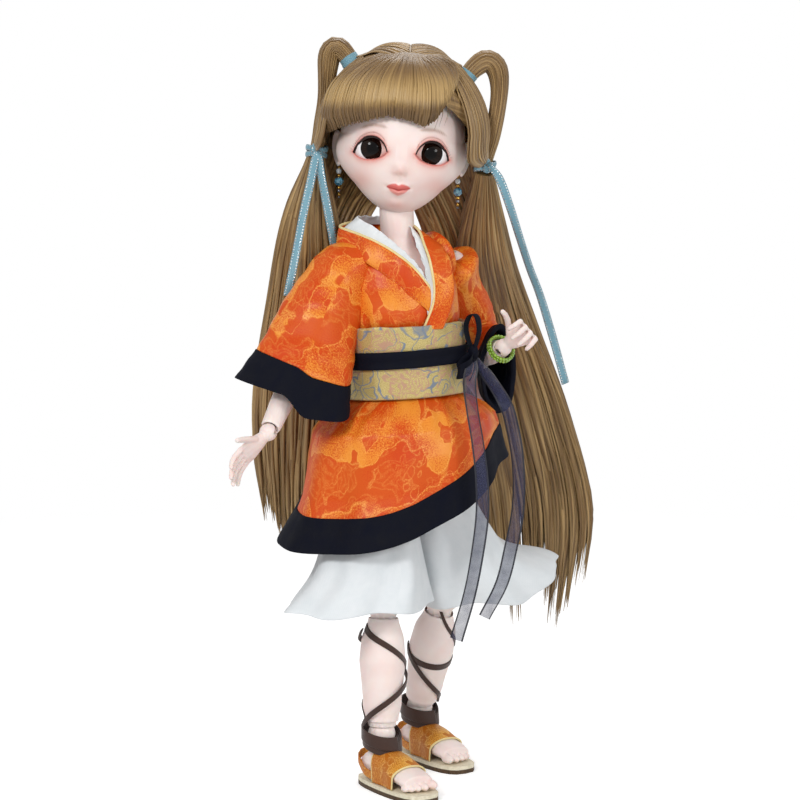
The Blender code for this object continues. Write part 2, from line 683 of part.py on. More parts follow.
def make_head(at, pivots):
    place = (Matrix.Translation(at["neck"]) @ Matrix.Rotation(HEAD_TURN, 4, "Z")
             @ Matrix.Rotation(HEAD_ROLL, 4, "Y"))
    pivots["head"] = empty("neck_axis", place)
    hollow = hollow_cutter(place)
    lid = CAP_RISE + HEAD_LIFT
    reach = Vector((HEAD_WIDTH, HEAD_DEPTH, HEAD_HEIGHT))
    shell_node = head_solid("head_shell", place)
    cap = head_solid("head_cap", place)
    above = box_cutter("lid_space", Vector((-reach.x, -reach.y, lid)), reach * 2, place)
    below = box_cutter("face_space", -reach, Vector((reach.x, reach.y, lid + SEAT_GAP)), place)
    for side, sign in SIDES:
        boolean(shell_node, ear(side, sign, place), "UNION")
    boolean(shell_node, hollow)
    boolean(cap, hollow)
    boolean(shell_node, above)
    boolean(cap, below)
    seat = sphere_cutter("neck_seat", at["neck"], NECK_RADIUS + JOINT_CLEARANCE)
    boolean(shell_node, seat)
    turn = place.to_3x3()
    boolean(shell_node, fan_cutter("neck_slot", at["neck"], turn @ Vector((1, 0, 0)), turn @ UP, -NECK_NOD, NECK_NOD,
                                   HEAD_LIFT, NECK_HOOK_WIRE))
    nodes = [shell_node, cap]
    for side, sign in SIDES:
        middle = eye_middle(sign)
        world = place @ middle
        boolean(shell_node, sphere_cutter("eye_seat_" + side, world, EYE_RADIUS + SEAT_GAP))
        boolean(shell_node, almond_cutter("eye_opening_" + side, middle, place))
        nodes.append(make_eye("eye_" + side, middle, place))
    for node in nodes:
        attach(node, pivots["head"])
    return place


EYE_INSET = 0.0064
EYE_FLAT_SHARE = 0.45


def eye_middle(sign):
    way_x = EYE_SPREAD / HEAD_WIDTH
    way_z = EYE_RISE / (HEAD_HEIGHT / 2)
    way_y = math.sqrt(1 - way_x ** 2 - way_z ** 2)
    return Vector((sign * EYE_SPREAD / 2, EYE_INSET - HEAD_DEPTH / 2 * way_y, HEAD_LIFT + EYE_RISE))


def hollow_cutter(place):
    bm = bmesh.new()
    bmesh.ops.create_uvsphere(bm, u_segments=BODY_SIDES, v_segments=BODY_SIDES // 2, radius=1.0)
    floor = NECK_RADIUS + JOINT_CLEARANCE + HEAD_FLOOR
    ceiling = HEAD_HEIGHT - HEAD_WALL
    span = Vector((HEAD_WIDTH / 2 - HEAD_WALL, HEAD_DEPTH / 2 - HEAD_WALL, (ceiling - floor) / 2))
    bmesh.ops.scale(bm, verts=bm.verts, vec=span)
    bmesh.ops.translate(bm, verts=bm.verts, vec=Vector((0, 0, (ceiling + floor) / 2)))
    return cutter(bm, "head_hollow", place)


def ear(side, sign, place):
    bm = bmesh.new()
    bmesh.ops.create_uvsphere(bm, u_segments=10, v_segments=8, radius=1.0)
    bmesh.ops.scale(bm, verts=bm.verts, vec=Vector((EAR_THICKNESS / 2, EAR_DEPTH / 2, EAR_HEIGHT / 2)))
    bmesh.ops.translate(bm, verts=bm.verts, vec=ear_middle(sign))
    return cutter(bm, "ear_" + side, place)


def ear_middle(sign):
    return Vector((sign * (HEAD_WIDTH / 2 - EAR_THICKNESS * 0.25), EAR_DEPTH / 2, HEAD_LIFT + EYE_RISE * 1.3))


def almond_cutter(name, middle, place):
    """The lid opening: a lens shape that runs through the wall in front of the eye."""
    bm = bmesh.new()
    sides = 14
    bmesh.ops.create_cone(bm, cap_ends=True, segments=sides, radius1=1.0, radius2=1.0, depth=1.0)
    bmesh.ops.rotate(bm, verts=bm.verts, cent=Vector(), matrix=Matrix.Rotation(math.pi / 2, 3, "X"))
    for vert in bm.verts:
        lens = 1 - 0.25 * vert.co.x ** 2
        vert.co = Vector((vert.co.x * EYE_OPENING_WIDTH / 2, vert.co.y * EYE_RADIUS * 2 - EYE_RADIUS,
                          vert.co.z * EYE_OPENING_HEIGHT / 2 * lens)) + middle
    return cutter(bm, name, place)


def make_eye(name, middle, place):
    """A domed eye with a flat back."""
    bm = bmesh.new()
    bmesh.ops.create_uvsphere(bm, u_segments=14, v_segments=10, radius=EYE_RADIUS)
    back = Vector((0, EYE_RADIUS * EYE_FLAT_SHARE, 0))
    geom = list(bm.verts) + list(bm.edges) + list(bm.faces)
    cut = bmesh.ops.bisect_plane(bm, geom=geom, plane_co=back, plane_no=-FORWARD, clear_outer=True)["geom_cut"]
    bmesh.ops.contextual_create(bm, geom=[part for part in cut if isinstance(part, bmesh.types.BMEdge)])
    bmesh.ops.translate(bm, verts=bm.verts, vec=middle)
    return finish_mesh(bm, name, "eye", place)


HAIRLINE_FRONT = math.radians(50)
HAIRLINE_BACK = math.radians(118)
HAIRLINE_SIDE = math.radians(94)
WIG_GAP = 0.0017


WIG_CROWN_SHARE = 2.1
WIG_SIDE_SHARE = 1.9


def wig_surface(way, grow):
    """The outside of the combed hair: thin over the brow, full over the crown and the sides."""
    full = 1 + WIG_CROWN_SHARE * max(0.0, way.z) ** 2 + WIG_SIDE_SHARE * way.x ** 2
    return head_surface(way, WIG_GAP + WIG_THICKNESS * full + grow)


def crown_way(turn, fall):
    """A direction from the head's middle: fall is the angle down from the crown, turn goes round from the face."""
    return Vector((math.sin(fall) * math.sin(turn), -math.sin(fall) * math.cos(turn), math.cos(fall)))


def hairline(turn):
    """How far down from the crown the wig reaches at each side of the head."""
    front = max(0.0, math.cos(turn))
    back = max(0.0, -math.cos(turn))
    return HAIRLINE_SIDE + (HAIRLINE_FRONT - HAIRLINE_SIDE) * front ** 1.5 + (HAIRLINE_BACK - HAIRLINE_SIDE) * back


def make_wig_cap(place):
    """The combed scalp hair: a cap over the skull that stops at the hairline."""
    rows = 7
    outer = []
    inner = []
    for row in range(1, rows + 1):
        falls = [hairline(turn) * row / rows for turn in angles(CLOTH_SIDES)]
        outer.append([wig_surface(crown_way(turn, fall), 0.0)
                      for turn, fall in zip(angles(CLOTH_SIDES), falls)])
        inner.append([head_surface(crown_way(turn, fall), WIG_GAP)
                      for turn, fall in zip(angles(CLOTH_SIDES), falls)])
    cap = lofted("wig_cap", "hair", outer + inner[::-1], place=place)
    for side, sign in SIDES:
        path = [beside_head(sign, *row[:3]) for row in GATHER_SHARES]
        rings = swept_rings(path, [(row[3], row[3]) for row in GATHER_SHARES], 9, Vector((0, 1, 0)))
        gather = lofted("gather_" + side, "hair", rings, place=place)
        gather.hide_render = True
        gather.display_type = "WIRE"
        boolean(cap, gather, "UNION")
    return cap


GATHER_SHARES = (
    # the side hair drawn down to the tie: places beside the head in its own frame, then the radius
    (1.12, 0.045, 0.64, 0.0015), (1.22, 0.05, 0.54, 0.0030), (1.275, 0.058, 0.46, 0.0025),
    (1.275, 0.058, 0.407, 0.0018),
)


FRINGE_TURN = math.radians(62)
FRINGE_LOW = math.radians(80)
FRINGE_HIGH = math.radians(22)
FRINGE_THICKNESS = 0.0020
FRINGE_PUFF = 0.0030


def make_fringe(place):
    """The curved fringe: longest over the right brow, lifting to the left temple."""

    def point_of(across, down):
        turn = FRINGE_TURN * (2 * across - 1)
        low = FRINGE_LOW - (FRINGE_LOW - HAIRLINE_FRONT) * 0.55 * max(0.0, 2 * across - 1) ** 2
        fall = FRINGE_HIGH + (low - FRINGE_HIGH) * down
        return wig_surface(crown_way(turn, fall), SEAT_GAP + FRINGE_PUFF * math.sin(math.pi * down))

    return sheet("fringe", "hair", 10, 6, point_of, FRINGE_THICKNESS, place)


LOOP_RADIUS = 0.0036
LOOP_ROOT = (0.65, 0.03, 0.76)
LOOP_SHARES = (
    # places beside the head in its own frame: shares of half the head width, its depth and its height
    (1.08, 0.04, 1.09), (1.21, 0.06, 1.13), (1.38, 0.08, 1.11), (1.50, 0.09, 1.00),
    (1.54, 0.09, 0.82), (1.54, 0.08, 0.64), (1.50, 0.07, 0.50),
    (1.452, 0.06, 0.44), (1.452, 0.06, 0.407),
)


def beside_head(sign, wide, deep, high):
    return Vector((sign * HEAD_WIDTH / 2 * wide, HEAD_DEPTH * deep, HEAD_HEIGHT * high))


def tie_middle(sign):
    return beside_head(sign, *TIE_SHARES)


TIE_SHARES = (1.36, 0.06, 0.36)
TIE_RADIUS = 0.0046
TIE_HEIGHT = 0.0022
TIED_HAIR_RADIUS = 0.0034


def make_hair_loops(place, pivots):
    for side, sign in SIDES:
        root = Vector((sign * LOOP_ROOT[0], *LOOP_ROOT[1:])).normalized()
        knots = [wig_surface(root, SEAT_GAP * 2), wig_surface(root, LOOP_RADIUS)]
        path = smooth_route(knots + [beside_head(sign, *row) for row in LOOP_SHARES], LOOP_RADIUS * 1.1)
        last = len(path) - 1
        radii = [(LOOP_RADIUS * (0.55 + 0.45 * math.sin(math.pi * index / last)),) * 2 for index in range(last + 1)]
        loop = swept("hair_loop_" + side, "hair", path, radii, 8, Vector((0, 1, 0)), place)
        tie = make_tie(side, sign, place)
        attach(loop, pivots["head"])
        attach(tie, pivots["head"])


def make_tie(side, sign, place):
    """The band that gathers the loop and the long hair beside the ear."""
    middle = tie_middle(sign)
    outer, inner = [[ring(radius, radius, middle.z + half, 14, middle.x, middle.y)
                     for half in (-TIE_HEIGHT / 2, TIE_HEIGHT / 2)]
                    for radius in (TIE_RADIUS, TIED_HAIR_RADIUS + SEAT_GAP)]
    return shell("hair_tie_" + side, "ribbon", outer, inner, place)


HAIR_LENGTH_RIGHT = 0.1700
HAIR_LENGTH_LEFT = 0.2000
LENGTH_SHARES = {
    # share of the way down, then the middle's place beside and behind the neck and the curtain's half width and
    # half thickness, all as shares of the shoulder spread
    "right": ((0.16, 0.50, 0.44, 0.20, 0.09), (0.34, 0.42, 0.58, 0.30, 0.09), (0.60, 0.32, 0.84, 0.36, 0.09),
              (0.82, 0.27, 0.97, 0.30, 0.07), (1.00, 0.25, 0.97, 0.16, 0.03)),
    "left": ((0.16, 0.88, 0.08, 0.20, 0.09), (0.32, 1.22, 0.40, 0.32, 0.09), (0.52, 1.44, 0.42, 0.44, 0.09),
             (0.74, 1.64, 0.42, 0.48, 0.07), (1.00, 1.66, 0.44, 0.26, 0.03)),
}


def make_hair_lengths(at, place, pivots):
    """The long straight hair: one flat lock from each tie, widest near the waist."""
    middle = at["neck"]
    flat = place.to_3x3() @ Vector((1, 0, 0))
    for side, sign in SIDES:
        length = HAIR_LENGTH_RIGHT if sign < 0 else HAIR_LENGTH_LEFT
        start = place @ (tie_middle(sign) - Vector((0, 0, TIE_HEIGHT)))
        knots = [start]
        sizes = [(TIED_HAIR_RADIUS, TIED_HAIR_RADIUS)]
        for down, out, back, wide, thick in LENGTH_SHARES[side]:
            knots.append(Vector((middle.x + sign * SHOULDER_SPREAD * out, middle.y + SHOULDER_SPREAD * back,
                                 start.z - length * down)))
            sizes.append((SHOULDER_SPREAD * wide, SHOULDER_SPREAD * thick))
        path = []
        radii = []
        path.append(place @ (tie_middle(sign) + Vector((0, 0, TIE_HEIGHT))))
        radii.append(sizes[0])
        for index in range(HAIR_STEPS + 1):
            share = index / HAIR_STEPS
            path.append(blend_points(knots, share))
            radii.append(tuple(blend_points([Vector((*size, 0)) for size in sizes], share)[:2]))
        lock = swept("hair_length_" + side, "hair", path, radii, 12, flat)
        attach(lock, pivots["head"])


HAIR_STEPS = 10
RIBBON_THICKNESS = 0.0004
RIBBON_SHARES = {
    # tails of each ribbon, as places beside and behind the neck and below the tie, in shoulder spreads
    "right": (((0.64, 0.22, 0.30), (0.72, 0.26, 0.70), (0.80, 0.30, 1.14)),
              ((0.50, 0.20, 0.25), (0.44, 0.24, 0.52), (0.40, 0.28, 0.80))),
    "left": (((0.74, -0.46, 0.26), (1.10, -0.20, 0.58), (1.46, 0.10, 1.10), (1.84, 0.14, 1.92)),),
}


def make_hair_ribbons(at, place, pivots):
    flat = place.to_3x3() @ Vector((1, 0, 0))
    for side, sign in SIDES:
        start = place @ (tie_middle(sign) + Vector((0, -TIE_RADIUS - RIBBON_THICKNESS / 2 - SEAT_GAP * 1.5, 0)))
        runs = []
        for tail in RIBBON_SHARES[side]:
            knots = [start, start + place.to_3x3() @ Vector((0, -RIBBON_WIDTH / 2, -RIBBON_WIDTH * 1.3))]
            for out, back, down in tail:
                knots.append(Vector((at["neck"].x + sign * SHOULDER_SPREAD * out,
                                     at["neck"].y + SHOULDER_SPREAD * back, start.z - SHOULDER_SPREAD * down)))
            runs.append(knots)
            start = start + flat * sign * RIBBON_WIDTH / 4 - FORWARD * RIBBON_THICKNESS / 3
        node = strips("hair_ribbon_" + side, "ribbon", runs, RIBBON_WIDTH, RIBBON_THICKNESS, flat, 8)
        attach(node, pivots["head"])


def strips(name, slot, runs, width, thickness, across, rows):
    """Flat strips that leave one place, one along each run of knots, joined where they start."""
    first = None
    for index, knots in enumerate(runs):
        path = smooth_route(knots, route_length(knots) / rows)
        bm = bmesh.new()
        made = bmesh.ops.create_grid(bm, x_segments=2, y_segments=len(path) - 1, size=0.5)["verts"]
        for vert in made:
            down = round((0.5 - vert.co.y) * (len(path) - 1))
            vert.co = path[down] + across * width * vert.co.x
        node = walled(bm, name if first is None else "%s_%d" % (name, index), slot, thickness, 0.0)
        if first is None:
            first = node
        else:
            node.hide_render = True
            node.display_type = "WIRE"
            boolean(first, node, "UNION")
    return first


def face_away(bm, middle):
    """Turns an open sheet so that its front looks away from the upright line through middle."""
    bmesh.ops.recalc_face_normals(bm, faces=bm.faces)
    bm.normal_update()
    outward = 0.0
    for face in bm.faces:
        arm = face.calc_center_median() - middle
        outward += face.normal.dot(Vector((arm.x, arm.y, 0))) * face.calc_area()
    if outward < 0:
        bmesh.ops.reverse_faces(bm, faces=bm.faces)


def walled(bm, name, slot, thickness, offset, place=None):
    """Gives an open sheet its thickness."""
    mesh = bpy.data.meshes.new(name)
    bm.to_mesh(mesh)
    bm.free()
    mesh.shade_smooth()
    mesh.materials.append(material(slot))
    node = bpy.data.objects.new(name, mesh)
    bpy.context.scene.collection.objects.link(node)
    if place is not None:
        node.matrix_world = place
    wall = node.modifiers.new("wall", "SOLIDIFY")
    wall.thickness = thickness
    wall.offset = offset
    return node


def route_length(knots):
    return sum((b - a).length for a, b in zip(knots, knots[1:]))


EARRING_WIRE = 0.0004
BEAD_RADIUS = 0.0013
EARRING_SHARES = ((0.55, 0.62), (0.75, 0.78), (0.95, 1.00), (1.0, 0.70), (1.0, 0.52))


def make_earrings(place, pivots):
    """A stack of beads on a wire, hung below the ear lobe: one turned profile."""
    for side, sign in SIDES:
        lobe = ear_middle(sign) - Vector((0, 0, EAR_HEIGHT / 2 + SEAT_GAP))
        rings = []
        height = lobe.z
        for wide, tall in EARRING_SHARES:
            for share, radius in ((0.0, EARRING_WIRE), (0.25, BEAD_RADIUS * wide), (0.75, BEAD_RADIUS * wide)):
                level = height - share * BEAD_RADIUS * 2 * tall
                rings.append(ring(radius, radius, level, 8, lobe.x, lobe.y))
            height -= BEAD_RADIUS * 2 * tall
        rings.append(ring(EARRING_WIRE, EARRING_WIRE, height, 8, lobe.x, lobe.y))
        node = lofted("earring_" + side, "earring", rings, place=place)
        attach(node, pivots["head"])


# Hands, feet, hooks and elastic

HOOK_WIRE = 0.0006
HOOK_REACH = 0.0042
HOOK_HOLD = 0.0021
FAN_STEPS = 8
WRIST_BEND = {"right": (math.radians(-39), math.radians(80)), "left": (math.radians(-23), math.radians(90))}
ANKLE_BEND = math.radians(20)
NECK_NOD = math.radians(18)


def fan_cutter(name, centre, axis, way, low, high, reach, wire):
    """The room that a hook's arm needs inside a piece that bends about it: a fan a little thicker than the wire."""
    half = wire + JOINT_CLEARANCE * 1.7
    spare = math.asin(half / reach)
    span = high - low + spare * 2
    corners = [(low - spare + span * step / FAN_STEPS, reach) for step in range(FAN_STEPS + 1)]
    corners += [(high + math.pi / 2, half), ((low + high) / 2 + math.pi, half), (low - math.pi / 2, half)]
    rings = [[centre + axis * depth + Matrix.Rotation(turn, 3, axis) @ way * far for turn, far in corners]
             for depth in (-half, half)]
    tool = lofted(name, "resin", rings)
    tool.hide_render = True
    tool.display_type = "WIRE"
    return tool
FINGER_SHARES = (
    # place across the palm as a share of its half width, length share, spread angle share
    (-0.78, 0.80, -0.5), (-0.26, 1.00, -0.15), (0.26, 0.96, 0.15), (0.78, 0.76, 0.5),
)
FINGER_SPREAD = math.radians(14)
THUMB_SPREAD = math.radians(48)
THUMB_LENGTH_SHARE = 0.74
HAND_CURL = {"right": (math.radians(10), math.radians(16), math.radians(14)),
             "left": (math.radians(58), math.radians(62), math.radians(44))}


def bent_path(start, way, bend_axis, curls, lengths):
    path = [start]
    for curl, length in zip(curls, lengths):
        way = Matrix.Rotation(curl, 3, bend_axis) @ way
        path.append(path[-1] + way * length)
    return path


def make_hand(side, sign, place, fore):
    """Palm with a wrist ball, four fingers and a thumb, in the hand's frame: fingers along -Z, palm to +Y."""
    bm = bmesh.new()
    bmesh.ops.create_uvsphere(bm, u_segments=12, v_segments=8, radius=WRIST_BALL_RADIUS)
    hand = finish_mesh(bm, "hand_" + side, "resin", place)
    top = -WRIST_BALL_RADIUS * 0.55
    bottom = top - PALM_LENGTH
    widths = ((0.0, 0.42, 0.86), (0.25, 0.66, 1.0), (0.65, 0.96, 0.98), (0.90, 1.0, 0.74), (1.0, 0.86, 0.44))
    palm_rings = [ring(PALM_WIDTH / 2 * wide, PALM_THICKNESS / 2 * deep, top - PALM_LENGTH * down, 12)
                  for down, wide, deep in widths]
    palm = lofted("palm_" + side, "resin", palm_rings, place=place)
    parts = [palm]
    lengths = [FINGER_LENGTH * part for part in (0.42, 0.32, 0.26)]
    for index, (across, long, spread) in enumerate(FINGER_SHARES):
        root = Vector((across * PALM_WIDTH / 2 * 0.92, 0, bottom + FINGER_RADIUS * 2))
        way = Matrix.Rotation(-spread * FINGER_SPREAD, 3, "Y") @ Vector((0, 0, -1))
        first = root + way * FINGER_RADIUS * 1.6
        path = [root] + bent_path(first, way, Vector((1, 0, 0)), HAND_CURL[side],
                                  [length * long for length in lengths])
        parts.append(finger("finger_%s_%d" % (side, index), path, FINGER_RADIUS, place))
    thumb_side = -sign
    root = Vector((thumb_side * PALM_WIDTH / 2 * 0.55, FINGER_RADIUS * 0.5, top - PALM_LENGTH * 0.35))
    way = Matrix.Rotation(-thumb_side * THUMB_SPREAD, 3, "Y") @ Vector((0, 0, -1))
    curls = [curl * 0.35 for curl in HAND_CURL[side]]
    path = [root] + bent_path(root + way * FINGER_RADIUS * 2.4, way, Vector((1, 0, 0)), curls,
                              [length * THUMB_LENGTH_SHARE for length in lengths])
    parts.append(finger("thumb_" + side, path, FINGER_RADIUS * 1.1, place))
    for part in parts:
        part.hide_render = True
        part.display_type = "WIRE"
        boolean(hand, part, "UNION")
    wrist = place.translation
    turn = place.to_3x3()
    low, high = WRIST_BEND[side]
    for label, way, reach in (("hold", turn @ Vector((0, 0, -1)), HOOK_HOLD + JOINT_CLEARANCE * 2),
                              ("way", -fore, WRIST_BALL_RADIUS * 1.5)):
        boolean(hand, fan_cutter("hand_hook_%s_%s" % (label, side), wrist, turn @ Vector((1, 0, 0)), way, -high, -low,
                                 reach, HOOK_WIRE))
    return hand


def finger(name, path, radius, place):
    radii = [radius * share for share in (1.0, 1.0, 0.98, 0.92, 0.80)]
    tip_way = (path[-1] - path[-2]).normalized()
    path = path + [path[-1] + tip_way * radius * 0.5, path[-1] + tip_way * radius * 0.8]
    radii += [radius * 0.62, radius * 0.28]
    rings = swept_rings(path, [(size, size) for size in radii[:len(path)]], 7)
    return lofted(name, "resin", rings, place=place)


def make_hooks_and_hands(at, pivots, nodes):
    for side, sign in SIDES:
        wrist = at["wrist_" + side]
        fore = (wrist - at["elbow_" + side]).normalized()
        hand_way = at["hand_way_" + side]
        place = pivots["hand_" + side].matrix_world.copy()
        bpy.context.view_layer.update()
        hand = make_hand(side, sign, place, fore)
        points = [wrist - fore * HOOK_REACH, wrist - fore * HOOK_REACH * 0.5, wrist,
                  wrist + hand_way * HOOK_HOLD * 0.5, wrist + hand_way * HOOK_HOLD]
        hook = cord_tube("hand_hook_" + side, "steel", points, HOOK_WIRE)
        attach(hook, pivots["hand_" + side])
        attach(hand, pivots["hand_" + side])
        nodes["hand_" + side] = hand


FOOT_SHARES = (
    # share of the way from heel to toe, height of the section's middle, half width and half height, as shares of
    # the foot's width
    (0.00, 0.22, 0.20, 0.14), (0.05, 0.34, 0.36, 0.30), (0.20, 0.44, 0.42, 0.40), (0.42, 0.42, 0.42, 0.38),
    (0.62, 0.34, 0.46, 0.30), (0.80, 0.26, 0.50, 0.22), (0.88, 0.22, 0.46, 0.18),
)
TOE_SHARES = ((0.34, 0.17, 0.14), (0.09, 0.14, 0.14), (-0.11, 0.13, 0.11), (-0.27, 0.12, 0.06), (-0.40, 0.11, -0.02))


ANKLE_COLUMN_SHARES = ((0.41, 0.80), (1.13, 0.86), (2.17, 0.96))
TOE_TWIST = math.radians(13)


def make_feet(at, pivots):
    """Foot with an ankle ball, a hook slot and five toes. It stands on the sandal with a thin gap."""
    for side, sign in SIDES:
        ankle = at["ankle_" + side]
        floor = SOLE_THICKNESS + SEAT_GAP
        heel = ankle + Vector((0, HEEL_REACH, 0))
        rings = []
        for along, high, wide, tall in FOOT_SHARES:
            middle = Vector((ankle.x, heel.y - FOOT_LENGTH * along, floor + FOOT_WIDTH * max(high, tall)))
            rings.append([middle + Vector((FOOT_WIDTH * wide * math.sin(turn), 0, FOOT_WIDTH * tall * math.cos(turn)))
                          for turn in angles(12)])
        foot = lofted("foot_" + side, "resin", rings)
        bm = bmesh.new()
        bmesh.ops.create_uvsphere(bm, u_segments=12, v_segments=8, radius=ANKLE_BALL_RADIUS)
        bmesh.ops.translate(bm, verts=bm.verts, vec=ankle)
        boolean(foot, cutter(bm, "ankle_ball_" + side), "UNION")
        leg = [ring(ANKLE_BALL_RADIUS * wide, ANKLE_BALL_RADIUS * wide, ankle.z - ANKLE_BALL_RADIUS * down, 11,
                    ankle.x, ankle.y) for down, wide in ANKLE_COLUMN_SHARES]
        column = lofted("ankle_column_" + side, "resin", leg)
        column.hide_render = True
        column.display_type = "WIRE"
        boolean(foot, column, "UNION")
        for index, (across, size, ahead) in enumerate(TOE_SHARES):
            bm = bmesh.new()
            bmesh.ops.create_uvsphere(bm, u_segments=7, v_segments=5, radius=FOOT_WIDTH * size)
            bmesh.ops.rotate(bm, verts=bm.verts, cent=Vector(), matrix=Matrix.Rotation(TOE_TWIST * (index + 1), 3, "Z"))
            bmesh.ops.scale(bm, verts=bm.verts, vec=Vector((0.8, 1.5, 0.8)))
            toe = Vector((ankle.x - sign * FOOT_WIDTH * across, heel.y - FOOT_LENGTH * 0.86 - FOOT_WIDTH * ahead,
                          floor + FOOT_WIDTH * size * 0.85))
            bmesh.ops.translate(bm, verts=bm.verts, vec=toe)
            boolean(foot, cutter(bm, "toe_%s_%d" % (side, index)), "UNION")
        shin_way = (ankle - at["knee_" + side]).normalized()
        for label, way, reach in (("hold", -UP, HOOK_REACH + JOINT_CLEARANCE),
                                  ("way", -shin_way, ANKLE_BALL_RADIUS * 1.4)):
            boolean(foot, fan_cutter("foot_hook_%s_%s" % (label, side), ankle, Vector((1, 0, 0)), way, -ANKLE_BEND,
                                     ANKLE_BEND, reach, HOOK_WIRE))
        points = [ankle - shin_way * HOOK_REACH * 1.6, ankle - shin_way * HOOK_REACH * 0.8, ankle,
                  ankle - UP * HOOK_REACH * 0.5, ankle - UP * (HOOK_REACH - JOINT_CLEARANCE)]
        hook = cord_tube("foot_hook_" + side, "steel", points, HOOK_WIRE)
        pivot = empty("ankle_" + side + "_axis", Matrix.Translation(ankle))
        pivots["ankle_" + side] = pivot
        attach(foot, pivot)
        attach(hook, pivot)


def make_neck_hook(at, place):
    """S-hook of the neck: its lower end holds the leg elastics, its upper end bears on the head's inner floor."""
    neck = at["neck"]
    shank_low = neck - CHEST_WAY * (NECK_RADIUS + HOOK_REACH)
    floor = NECK_RADIUS + JOINT_CLEARANCE * 4 + HEAD_FLOOR + NECK_HOOK_WIRE
    across = place.to_3x3() @ Vector((1, 0, 0))
    up = (place.to_3x3() @ UP).normalized()
    bar = neck + up * (floor + JOINT_CLEARANCE)
    points = [shank_low, neck - CHEST_WAY * NECK_RADIUS * 0.5, neck + up * NECK_RADIUS * 0.4,
              bar + up * NECK_HOOK_WIRE * 2]
    points += [bar + up * NECK_HOOK_WIRE * 3 + across * NECK_HOOK_WIRE * 2,
               bar + up * NECK_HOOK_WIRE * 1.6 + across * NECK_HOOK_WIRE * 4.9,
               bar + up * NECK_HOOK_WIRE * 1.5 + across * NECK_HOOK_WIRE * 6.8]
    return cord_tube("neck_hook", "steel", smooth_route(points, NECK_HOOK_WIRE * 2.5), NECK_HOOK_WIRE)


NECK_HOOK_WIRE = 0.0009


def make_elastics(at, pivots):
    """The stringing: one elastic through both arms, one from the neck hook down each leg."""
    reach = HOOK_REACH + JOINT_CLEARANCE
    behind = at["shoulders"] - FORWARD * (ELASTIC_RADIUS * 2 + JOINT_CLEARANCE * 3)
    arm = []
    for side, order in (("right", 1), ("left", -1)):
        fore = (at["wrist_" + side] - at["elbow_" + side]).normalized()
        run = [at["wrist_" + side] - fore * reach, at["elbow_" + side], at["shoulder_" + side],
               at["shoulders"].lerp(at["shoulder_" + side], 0.26)]
        arm.append(run[::order])
    points = arm[0] + [behind] + arm[1]
    cord_tube("arm_elastic", "elastic", even_points(points, ELASTIC_RADIUS * 6), ELASTIC_RADIUS)
    for side, sign in SIDES:
        shin_way = (at["ankle_" + side] - at["knee_" + side]).normalized()
        low = at["ankle_" + side] - shin_way * (HOOK_REACH * 1.6 + JOINT_CLEARANCE)
        beside = Vector((sign * (ELASTIC_RADIUS + JOINT_CLEARANCE / 2), 0, 0))
        top = at["neck"] - CHEST_WAY * (NECK_RADIUS + HOOK_REACH + JOINT_CLEARANCE)
        points = [low, at["knee_" + side], at["hip_" + side], cord_turn(at, side, sign), at["waist"] + beside * 2.4,
                  top + beside]
        cord_tube("leg_elastic_" + side, "elastic", even_points(points, ELASTIC_RADIUS * 6), ELASTIC_RADIUS)


def even_points(knots, spacing):
    """Points at about the same spacing along straight runs, with every knot kept."""
    route = [knots[0]]
    for a, b in zip(knots, knots[1:]):
        count = max(1, round((b - a).length / spacing))
        route += [a.lerp(b, step / count) for step in range(1, count + 1)]
    return route


# Clothes: each layer lies outside the one before it

SHIRT_INSIDE = CLOTH_GAP
SHIRT_THICKNESS = 0.0007
JACKET_INSIDE = SHIRT_INSIDE + SHIRT_THICKNESS + CLOTH_GAP
COLLAR_INSIDE = JACKET_INSIDE + CLOTH_THICKNESS + CLOTH_GAP * 2
OBI_INSIDE = COLLAR_INSIDE + HEM_THICKNESS + CLOTH_GAP
SASH_INSIDE = OBI_INSIDE + OBI_THICKNESS + CLOTH_GAP
OBI_LOW_SHARE = -0.30
OBI_HIGH_SHARE = OBI_LOW_SHARE + OBI_HEIGHT / CHEST_HEIGHT
SASH_LOW_SHARE = OBI_LOW_SHARE + 0.42 * OBI_HEIGHT / CHEST_HEIGHT
SASH_HIGH_SHARE = SASH_LOW_SHARE + SASH_HEIGHT / CHEST_HEIGHT
NECKLINE_BACK_SHARE = 1.21
SHIRT_LOW_SHARE = 0.60
SHIRT_OPENING_SHARE = 0.92
SHIRT_OPENING_WIDTH = 0.0180
JACKET_OPENING_SHARE = 0.62
JACKET_OPENING_WIDTH = 0.0230
SKIRT_LAP_SHARE = 0.04


def torso_point(turn, share, grow):
    """A point round the torso, grown outward; over the shoulders it grows upward too."""
    wide, deep = chest_section(share, grow)
    rise = grow * min(1.0, max(0.0, (share - SHOULDER_SLOPE_SHARES[0]) * SHOULDER_SLOPE_SHARES[1]))
    return Vector((wide * math.sin(turn), -deep * math.cos(turn), CHEST_HEIGHT * share + rise))


SHOULDER_SLOPE_SHARES = (0.90, 5.0)
NECK_OPENING_TOP_SHARE = 1.34
NECK_OPENING_POINT_SHARE = 0.04


def torso_wrap(name, slot, low, high, inside, thickness, place):
    """A cloth tube round the torso. Its rows stand where the torso's own do, so that the gap stays even."""
    shares = [low] + [row[0] for row in CHEST_SHARES if low < row[0] < high] + [high]
    layers = [[[torso_point(turn, share, grow) for turn in angles(BODY_SIDES)] for share in shares]
              for grow in (inside + thickness, inside)]
    return shell(name, slot, layers[0], layers[1], place)


